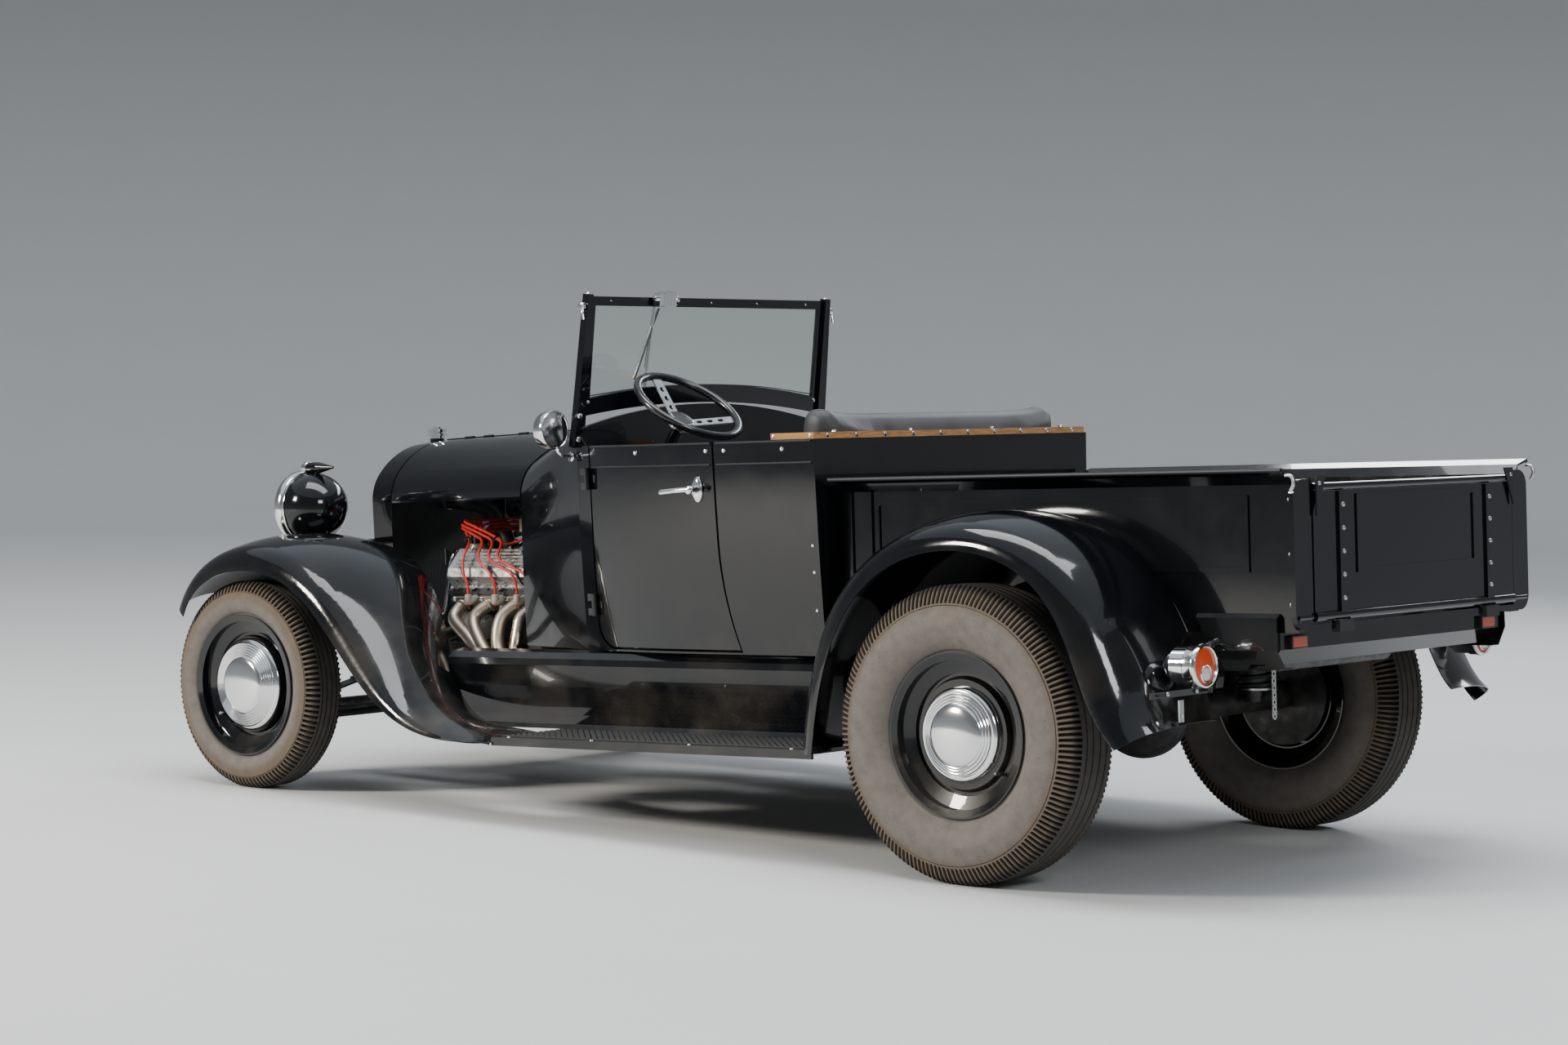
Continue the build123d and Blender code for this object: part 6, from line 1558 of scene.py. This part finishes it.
    def drive(self):
        """Bright pulley faces, the alternator's case and the belt's ribs."""
        x = self.front
        parts = Build("bolt_steel", "polished_alloy", "hose_rubber", "chrome_trim")
        for y, z, r in ((0.0, 0.497, 0.08), (-0.178, 0.64, 0.036)):
            ring = facing((x + 0.064, y, z), (1, 0, 0))
            parts.use(0).lathe(
                [(r + 0.0005, -0.003), (r + 0.0005, 0.0008), (r - 0.004, 0.0015), (r - 0.01, -0.0002),
                 (r * 0.55, 0.0006), (r * 0.4, 0.006), (r * 0.2, 0.008), (0, 0.0085)], ring, 48)
            for k in range(5):
                a = 2 * pi * k / 5
                parts.bolt(
                    (x + 0.0645, y + r * 0.68 * cos(a), z + r * 0.68 * sin(a)), (1, 0, 0), 0.0042, 0.004)
        case = facing((2.246, -0.178, 0.64), (1, 0, 0))
        parts.use(1).lathe(
            [(0.02, -0.004), (0.05, -0.003), (0.0575, 0.002), (0.0592, 0.01), (0.0592, 0.036),
             (0.0608, 0.038), (0.0608, 0.044), (0.0592, 0.046), (0.0592, 0.072), (0.0608, 0.074),
             (0.0608, 0.08), (0.0592, 0.082), (0.0592, 0.108), (0.0565, 0.117), (0.04, 0.1195),
             (0.018, 0.1195)], case, 48)
        for k in range(14):
            a = 2 * pi * k / 14
            spot = Vector((2.262, -0.178 + 0.0594 * cos(a), 0.64 + 0.0594 * sin(a)))
            parts.use(2).box((-0.011, 0.011), (-0.0035, 0.0035), (-0.001, 0.0006),
                             facing(spot, (0, cos(a), sin(a)), pi / 2))
        hub = facing((x + 0.106, 0, 0.69), (1, 0, 0))
        parts.use(3).lathe(
            [(0.0325, -0.004), (0.0325, 0.001), (0.02, 0.003), (0.012, 0.009), (0, 0.0105)], hub, 32)
        for k in range(4):
            a = pi / 4 + pi * k / 2
            parts.bolt((x + 0.1065, 0.024 * cos(a), 0.69 + 0.024 * sin(a)), (1, 0, 0), 0.0042, 0.004)
        parts.place("drive_dress", "chassis", "chrome_trim")

    def small_parts(self):
        """Oil filter, dipstick sleeve, lead holders and pipe fittings beside the block."""
        parts = Build("filter_white", "chrome_trim", "bolt_steel", "black_trim")
        can = facing((2.165, 0.258, 0.585), (1, 0, 0.16))
        parts.lathe(
            [(0, 0.098), (0.018, 0.0975), (0.029, 0.095), (0.0345, 0.089), (0.036, 0.08), (0.036, 0.006),
             (0.0375, 0.004), (0.0375, -0.002), (0.03, -0.004), (0, -0.004)], can, 40)
        parts.use(2).lathe([(0.03, -0.014), (0.03, -0.003), (0.0, -0.003)], can, 24)
        stick = [(2.286, 0.196, 0.78), (2.316, 0.204, 0.81), (2.317, 0.238, 0.79), (2.319, 0.252, 0.735),
                 (2.328, 0.263, 0.645), (2.345, 0.274, 0.615), (2.366, 0.288, 0.602), (2.374, 0.294, 0.585),
                 (2.374, 0.294, 0.544)]
        parts.use(1).sweep(stick, 0.0072, 14, 6)
        parts.sweep([(2.283, 0.19, 0.778), (2.27, 0.178, 0.79), (2.262, 0.17, 0.803), (2.27, 0.162, 0.812),
                     (2.282, 0.17, 0.806), (2.283, 0.184, 0.79)], 0.0022, 8, 6)
        for x, z in ((2.287, 0.583), (2.262, 0.566)):
            parts.use(1).lathe([(0.012, -0.01), (0.014, 0), (0.018, 0.004), (0.0185, 0.012), (0.012, 0.018),
                                (0.006, 0.02), (0, 0.0202)],
                               facing((x, 0.236, z), (0.3, 1, 0.1)), 20)
        for side in (1, -1):
            for x, y, z in ((2.222, 0.267, 0.84), (2.1, 0.27, 0.84)):
                parts.use(3).sweep([(x, side * (y - 0.014), z), (x, side * y, z + 0.01),
                                    (x, side * (y + 0.014), z)], 0.003, 8, 4)
        parts.place("engine_small_parts", "chassis", "chrome_trim")


class ROADSTER_OT_screen(PieceOperator, bpy.types.Operator):
    """Windshield bolts and pivots, wiper motor and blade, and the mirror's face"""

    bl_idname = "roadster.screen"
    bl_label = "Windshield trim"

    def build(self, scene):
        screen = Matrix.Translation((1.524, 0, 1.109)) @ Matrix.Rotation(radians(-7.4), 4, "Y")
        trim = Build("chrome_trim", "black_trim", "hose_rubber")
        for side in (1, -1):
            for z in (0.018, 0.083):
                trim.bolt((-0.01, side * 0.526, z), (-1, 0, 0), 0.0085, 0.006, 18)
                trim.bolt((0.012, side * 0.526, z), (1, 0, 0), 0.0085, 0.006, 18)
            trim.bolt((-0.0005, side * 0.488, 0.12), (-1, 0, 0), 0.006, 0.004, 16)
            knob = facing((0.003, side * 0.5225, 0.386), (0, side, 0))
            trim.lathe([(0.006, -0.004), (0.006, 0.003), (0.0105, 0.004), (0.0125, 0.008), (0.0125, 0.014),
                        (0.009, 0.0185), (0, 0.0195)], knob, 28)
            trim.sweep([(0.003, side * 0.534, 0.386), (-0.006, side * 0.538, 0.372),
                        (-0.012, side * 0.539, 0.352)], 0.0042, 12, 6)
            trim.bolt((0.002, side * 0.512, 0.4222), (0, 0, 1), 0.005, 0.005, 14)
        self.wiper(trim)
        for y in (-0.42, -0.2, 0.0, 0.42):
            trim.use(0).bolt((-0.0004, y, 0.404), (-1, 0, 0), 0.0032, 0.002, 12)
        trim.place("screen_trim", "chassis", "chrome_trim", BODY @ screen)
        self.gasket(screen)
        self.mirror()

    def wiper(self, trim):
        """Motor, arm and blade."""
        trim.use(0).box((-0.038, -0.006), (0.19, 0.236), (0.392, 0.433))
        for y in (0.196, 0.206, 0.216, 0.226):
            trim.box((-0.0395, -0.005), (y, y + 0.004), (0.394, 0.4345))
        trim.lathe([(0.0135, 0), (0.0155, 0.003), (0.0155, 0.014), (0.012, 0.018), (0.006, 0.019),
                    (0.0045, 0.026), (0, 0.0265)],
                   facing((-0.022, 0.19, 0.412), (0, -1, 0)), 28)
        trim.lathe([(0.01, 0), (0.01, 0.012), (0.0075, 0.015), (0.0075, 0.03), (0, 0.031)],
                   facing((-0.022, 0.236, 0.416), (0, 1, 0)), 24)
        trim.bolt((0.0245, 0.215, 0.404), (1, 0, 0), 0.0075, 0.007)
        trim.sweep([(0.024, 0.215, 0.404), (0.026, 0.222, 0.33), (0.026, 0.235, 0.214)], 0.0042, 10, 5, 0.5)
        trim.sweep([(0.027, 0.2, 0.382), (0.027, 0.222, 0.33), (0.027, 0.262, 0.23), (0.027, 0.282, 0.184)],
                   0.0034, 10, 5)
        trim.use(1).sweep([(0.0215, 0.2, 0.384), (0.0215, 0.222, 0.332), (0.0215, 0.262, 0.232),
                           (0.0215, 0.283, 0.182)], 0.0032, 8, 5, 1.5)

    def gasket(self, screen):
        """Thin rubber line between glass and frame, on both faces."""
        rubber = Build("hose_rubber")
        for x in (0.0035, 0.0105):
            line = [(x, -0.4795, 0.138), (x, -0.25, 0.1605), (x, 0, 0.168), (x, 0.25, 0.1605),
                    (x, 0.4795, 0.138)]
            rubber.sweep(line, 0.0016, 6, 6)
            rubber.sweep([(x, 0.4795, 0.138), (x, 0.4795, 0.3915)], 0.0016, 6, 1)
            rubber.sweep([(x, 0.4795, 0.3915), (x, -0.4795, 0.3915)], 0.0016, 6, 1)
            rubber.sweep([(x, -0.4795, 0.3915), (x, -0.4795, 0.138)], 0.0016, 6, 1)
        rubber.place("screen_gasket", "chassis", "tyre_rubber", BODY @ screen)

    def mirror(self):
        """Face, rim and clamp of the door mirror."""
        place = facing((1.536, 0.594, 1.154), (-1, 0, 0))
        head = Build("chrome_trim", "mirror_glass")
        head.lathe([(0.05, -0.034), (0.0535, -0.018), (0.0545, -0.01), (0.0545, 0.001), (0.0528, 0.0038),
                    (0.0498, 0.0042), (0.0485, 0.0018)], place, 56)
        head.use(1).lathe([(0.0492, 0.002), (0.03, 0.0026), (0, 0.0029)], place, 40)
        head.use(0).bolt((1.558, 0.594, 1.154), (1, 0, 0), 0.009, 0.014, 16)
        head.lathe([(0.012, 0), (0.0135, 0.003), (0.0135, 0.009), (0.0085, 0.013)],
                   facing((1.529, 0.53, 1.078), (0.1, 1, 0.05)), 20)
        head.place("mirror_face", "chassis", "chrome_trim")


class ROADSTER_OT_headers(PieceOperator, bpy.types.Operator):
    """Header flanges, the three front tubes of each side and the rear coils"""

    bl_idname = "roadster.headers"
    bl_label = "Headers and coils"

    tube = 0.0195
    flange_low, flange_thick = 0.0843, 0.01
    mouth, knee, collector_x = (0.2753, 0.6602), (0.32, 0.6142), 1.84
    coil_x, coil_y, coil_low, coil_rise, coil_turns, coil_radius = -1.1345, 0.4, 0.415, 0.12, 5.5, 0.044
    # forward reach, first turn (x from the port, y, z), last turn (x from the port, y, z), end (y, z)
    routes = (
        (0.008, (-0.076, 0.348, 0.560), (-0.206, 0.376, 0.478), (0.412, 0.422)),
        (0.036, (-0.016, 0.352, 0.548), (-0.124, 0.384, 0.466), (0.431, 0.422)),
        (0.036, (0.022, 0.352, 0.532), (-0.052, 0.380, 0.456), (0.409, 0.403)),
    )
    flange = (
        (1.908, 0.273), (2.038, 0.273), (2.038, 0.289), (2.078, 0.289), (2.078, 0.273), (2.15, 0.273),
        (2.15, 0.289), (2.19, 0.289), (2.19, 0.273), (2.26, 0.273), (2.26, 0.327), (1.908, 0.327))

    def build(self, scene):
        self.pipes()
        self.coils()

    def pipes(self):
        """Flange plates and the three front tubes of each side."""
        pipes = Build("header_steel")
        low = self.flange_low
        near, along, across = (Vector((0, *bank(*pair))) for pair in ((0, low), (1, low), (0, 1 + low)))
        for side in (1, -1):
            flip = Matrix.Diagonal((1, side, 1, 1))
            place = Matrix.Identity(4)
            place.col[1] = (*(along - near), 0)
            place.col[2] = (*(across - near), 0)
            place.col[3] = (*near, 1)
            pipes.prism(self.flange, self.flange_thick, flip @ place)
            for port, (forward, first, last, end) in zip(ROADSTER_OT_engine.ports, self.routes):
                line = [(port, *self.mouth), (port + forward, *self.knee), (port + first[0], *first[1:]),
                        (port + last[0], *last[1:]), (self.collector_x, *end)]
                pipes.sweep([(x, side * y, z) for x, y, z in line], self.tube, 24, 9)
        pipes.place("header_tubes", "chassis", "header_steel")

    def coils(self):
        """Helical springs round the rear dampers, between their seats."""
        coils = Build("chassis_black", "bolt_steel")
        steps = 18
        for side in (1, -1):
            line = []
            for k in range(int(self.coil_turns * steps) + 1):
                a, share = 2 * pi * k / steps, k / (self.coil_turns * steps)
                line.append((self.coil_x + self.coil_radius * cos(a),
                             side * self.coil_y + self.coil_radius * sin(a),
                             self.coil_low + self.coil_rise * share))
            coils.use(0).sweep(line, 0.0062, 10, 1)
            for z in (self.coil_low - 0.003, self.coil_low + self.coil_rise + 0.003):
                coils.use(1).lathe([(0.03, -0.003), (0.05, -0.003), (0.05, 0.002), (0.03, 0.002)],
                                   facing((self.coil_x, side * self.coil_y, z), (0, 0, 1)), 32)
        coils.place("rear_coils", "chassis", "chassis_black", ROW)


def lengthwise(x, mirror=1):
    """A placement that turns a (y, z) outline into a bar that starts at x and runs forward."""
    return Matrix(((0, 0, 1, x), (mirror, 0, 0, 0), (0, 1, 0, 0), (0, 0, 0, 1)))


class ROADSTER_OT_bed(PieceOperator, bpy.types.Operator):
    """Bed floor ribs, edge beads, bolts, hooks, hinge lugs, gate gussets and the hanging strap"""

    bl_idname = "roadster.bed"
    bl_label = "Bed and gate"

    strap_y = 0.348
    ribs, rib_pitch, rib_start, rib_length = 9, 0.11, -0.79, 1.3
    floor_z, edge_y, hook_y = 0.64, 0.582, 0.57
    gate_face = -0.8405

    def build(self, scene):
        self.bed()
        self.gate()

    def bed(self):
        """What stays on the bed."""
        bed = Build("body_black", "bolt_steel", "chassis_black")
        for k in range(self.ribs):
            y = self.rib_pitch * (k - (self.ribs - 1) / 2)
            bed.use(0).prism(
                [(y - 0.014, -0.001), (y + 0.014, -0.001), (y + 0.009, 0.006), (y - 0.009, 0.006)],
                self.rib_length, Matrix.Translation((0, 0, self.floor_z)) @ lengthwise(self.rib_start))
        for side in (1, -1):
            bed.use(0).sweep([(x, side * self.edge_y, 1.0) for x in (-0.816, -0.1, 0.566)], 0.0055, 12, 1)
            for z in (0.93, 0.8, 0.68):
                spot, normal = surface("bed", (-0.8, side * 0.8, z), (0, -side, 0))
                bed.use(1).bolt(spot, normal, 0.0075, 0.006, 18)
            y = side * self.strap_y
            bed.use(2).box((-0.842, -0.82), (y - 0.032, y + 0.032), (0.61, 0.637))
            hook = ((-0.82, 0.988), (-0.836, 0.986), (-0.842, 0.968), (-0.834, 0.952))
            bed.use(1).sweep([(x, side * self.hook_y, z) for x, z in hook], 0.0042, 12, 6)
        self.strap(bed)
        bed.place("bed_trim", "chassis", "body_black")

    def gate(self):
        """What swings with the tailgate."""
        gate = Build("body_black", "bolt_steel")
        for side in (1, -1):
            for k in range(5):
                spot, normal = surface("tailgate", (-1.1, side * self.strap_y, 0.69 + 0.056 * k), (1, 0, 0))
                gate.use(1).bolt(spot, normal, 0.0062, 0.005, 18)
            corner = [(0.468, 0.985), (0.424, 0.985), (0.468, 0.89)]
            gate.use(0).prism(corner, 0.004, lengthwise(self.gate_face, side))
            gate.use(1).bolt((self.gate_face, side * 0.455, 0.967), (-1, 0, 0), 0.0055, 0.004, 16)
        gate.place("gate_trim", "tailgate", "body_black")

    @staticmethod
    def strap(build):
        """Perforated strap that hangs below the rear pan, and the tab under the plate bracket."""
        top, low, x, y = 0.522, 0.4, -0.7, 0.455
        build.use(1)
        count = 7
        for k in range(count):
            z = low + 0.01 + (top - low - 0.02) * k / (count - 1)
            build.lathe([(0.0042, -0.0008), (0.0085, -0.0008), (0.0085, 0.0008), (0.0042, 0.0008)],
                        facing((x, y, z), (-1, 0, 0)), 24, closed=True)
        for edge in (-0.0085, 0.0069):
            build.box((x - 0.0008, x + 0.0008), (y + edge, y + edge + 0.0016), (low + 0.008, top))
        build.box((-0.608, -0.604), (0.703, 0.721), (0.412, 0.464))
        build.bolt((-0.608, 0.712, 0.425), (-1, 0, 0), 0.006, 0.005, 4)
        for share in (-1, 1):
            build.bolt((-0.6115, 0.713 + 0.06 * share, 0.482), (-1, 0, 0), 0.0055, 0.004, 16)


class ROADSTER_OT_boards(PieceOperator, bpy.types.Operator):
    """Raised tread, edge beads and bolts of the running boards"""

    bl_idname = "roadster.boards"
    bl_label = "Running boards"

    pitch, rows, columns, first_x, first_y = 0.022, 51, 14, 0.473, 0.49
    # half width and height of a diamond's foot and of its flat top
    foot, top = (0.0095, -0.0002), (0.0055, 0.0022)
    corners = ((1, 0), (0, 1), (-1, 0), (0, -1))

    def build(self, scene):
        tread = Build("board_rubber", "bolt_steel")
        for side in (1, -1):
            height = surface("running_boards", (1.0, side * 0.64, 0.6), (0, 0, -1))[0].z
            for i in range(self.rows):
                for j in range(self.columns):
                    x, y = self.first_x + self.pitch * i, self.first_y + self.pitch * j
                    tread.grow(
                        [(x + dx * size, side * (y + dy * size), height + dz)
                         for size, dz in (self.foot, self.top) for dx, dy in self.corners],
                        [(0, 1, 5, 4), (1, 2, 6, 5), (2, 3, 7, 6), (3, 0, 4, 7), (4, 5, 6, 7)])
            for y in (0.476, 0.797):
                tread.sweep(
                    [(0.462, side * y, height + 0.0005), (1.57, side * y, height + 0.0005)], 0.003, 10, 1)
            for x in (0.52, 0.87, 1.22, 1.53):
                tread.use(1).bolt((x, side * 0.812, height), (0, 0, 1), 0.006, 0.003, 16)
                tread.use(0)
        tread.place("board_tread", "chassis", "board_rubber")


class ROADSTER_OT_cabin(PieceOperator, bpy.types.Operator):
    """Gauges, horn button, pedals, mats and gear lever dress"""

    bl_idname = "roadster.cabin"
    bl_label = "Cabin"

    def build(self, scene):
        self.gauges()
        self.horn()
        parts = Build("black_trim", "chrome_trim", "hose_rubber", "bolt_steel")
        for side in (1, -1):
            parts.use(2).box((1.2, 1.57), sorted((side * 0.15, side * 0.47)), (0.547, 0.554))
            for k in range(16):
                x = 1.215 + 0.0227 * k
                parts.box((x, x + 0.01), sorted((side * 0.16, side * 0.46)), (0.553, 0.5565))
        for y, wide in ((0.272, 0.034), (0.188, 0.022)):
            parts.use(3).sweep([(1.665, y, 0.552), (1.66, y, 0.6), (1.632, y, 0.66)], 0.007, 12, 5)
            pad = facing((1.624, y, 0.672), (-0.8, 0, 0.6))
            parts.use(2).box((-0.036, 0.036), (-wide, wide), (-0.006, 0.006), pad)
            for k in range(-2, 3):
                parts.box((k * 0.014 - 0.003, k * 0.014 + 0.003), (-wide + 0.004, wide - 0.004),
                          (0.005, 0.009), pad)
        boot = [(0.062, 0.0)]
        for k in range(5):
            wide = 0.052 - 0.008 * k
            boot += [(wide, 0.004 + 0.014 * k), (wide + 0.004, 0.009 + 0.014 * k),
                     (wide - 0.004, 0.016 + 0.014 * k)]
        parts.use(2).lathe(boot + [(0.011, 0.082)], facing((1.4, 0, 0.617), (0, 0, 1)), 36)
        parts.use(1).lathe([(0.06, 0), (0.066, 0.001), (0.066, 0.004), (0.058, 0.006)],
                           facing((1.4, 0, 0.617), (0, 0, 1)), 40)
        parts.use(1).lathe([(0.0105, -0.012), (0.0125, -0.01), (0.0125, 0.0), (0.0105, 0.002)],
                           facing((1.3565, 0, 0.89), (-0.29, 0, 0.957)), 28)
        parts.place("cabin_parts", "chassis", "tyre_rubber")

    def gauges(self):
        """Round dials with plain ticks on the dash."""
        dials = Build("chrome_trim", "black_trim", "filter_white", "lens_orange")
        for y, r in ((-0.095, 0.04), (0.095, 0.04), (0.0, 0.026), (0.185, 0.026), (-0.185, 0.026)):
            face = facing(surface("cowl", (1.3, y, 1.066), (1, 0, 0))[0], (-1, 0, 0))
            dials.use(0).lathe([(r + 0.001, -0.001), (r + 0.002, 0.004), (r, 0.0075), (r - 0.004, 0.007),
                                (r - 0.0045, 0.003)],
                               face, 48)
            dials.use(1).lathe([(r - 0.0042, 0.0032), (0, 0.0032)], face, 40)
            for k in range(11):
                a = radians(-120 + 24 * k)
                place = face @ Matrix.Rotation(a, 4, "Z")
                dials.use(2).box((r * 0.68, r * 0.85), (-0.0006, 0.0006), (0.0030, 0.0038), place)
            dials.use(3).box((-0.004, r * 0.66), (-0.0009, 0.0009), (0.0036, 0.0046),
                             face @ Matrix.Rotation(0.9 + y * 6, 4, "Z"))
            dials.use(0).lathe([(0.0032, 0.003), (0.0032, 0.0052), (0, 0.0056)], face, 16)
        dials.place("dash_gauges", "chassis", "chrome_trim")

    @staticmethod
    def horn():
        """Horn button and the six screws round it, on the steering wheel."""
        hub = facing(WHEEL_HUB, WHEEL_AXIS)
        button = Build("chrome_trim", "black_trim")
        button.lathe(
            [(0.036, 0.012), (0.037, 0.016), (0.035, 0.0205), (0.0315, 0.0215), (0.031, 0.019)], hub, 40)
        button.use(1).lathe([(0.0312, 0.0195), (0.029, 0.022), (0.018, 0.0245), (0, 0.0255)], hub, 40)
        for k in range(6):
            a = 2 * pi * k / 6 + pi / 6
            spot = hub @ Vector((0.043 * cos(a), 0.043 * sin(a), 0.0))
            button.use(0).bolt(spot, WHEEL_AXIS, 0.0038, 0.009, 16)
        button.place("horn_button", "steering_wheel", "chrome_trim")


class ROADSTER_PT_panel(bpy.types.Panel):
    """Lists the operators and settings"""

    bl_idname = "ROADSTER_PT_panel"
    bl_label = "Roadster"
    bl_space_type = "VIEW_3D"
    bl_region_type = "UI"
    bl_category = "Roadster"

    def draw(self, context):
        """Settings first, then one button for each group of pieces."""
        for group in (getattr(context.scene, name) for name in GROUPS):
            box = self.layout.box()
            for name in group.__annotations__:
                box.prop(group, name)
        for operator in OPERATORS:
            self.layout.operator(operator.bl_idname)


OPERATORS = (
    ROADSTER_OT_stage,
    ROADSTER_OT_finishes,
    ROADSTER_OT_tyres,
    ROADSTER_OT_seat,
    ROADSTER_OT_hubcaps,
    ROADSTER_OT_rail,
    ROADSTER_OT_body_trim,
    ROADSTER_OT_lamps,
    ROADSTER_OT_engine,
    ROADSTER_OT_screen,
    ROADSTER_OT_headers,
    ROADSTER_OT_bed,
    ROADSTER_OT_boards,
    ROADSTER_OT_cabin,
)
GROUPS = {
    "roadster_colours": RoadsterColours,
    "roadster_tyres": RoadsterTyres,
    "roadster_seat": RoadsterSeat,
    "roadster_stage": RoadsterStage,
}


def register():
    for group in GROUPS.values():
        bpy.utils.register_class(group)
    for operator in (*OPERATORS, ROADSTER_PT_panel):
        bpy.utils.register_class(operator)
    for name, group in GROUPS.items():
        setattr(bpy.types.Scene, name, bpy.props.PointerProperty(type=group))


def unregister():
    for name in GROUPS:
        delattr(bpy.types.Scene, name)
    for thing in (ROADSTER_PT_panel, *OPERATORS, *GROUPS.values()):
        bpy.utils.unregister_class(thing)


def main():
    """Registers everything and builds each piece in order."""
    register()
    for operator in OPERATORS:
        group, name = operator.bl_idname.split(".")
        getattr(getattr(bpy.ops, group), name)()


if __name__ == "__main__":
    main()
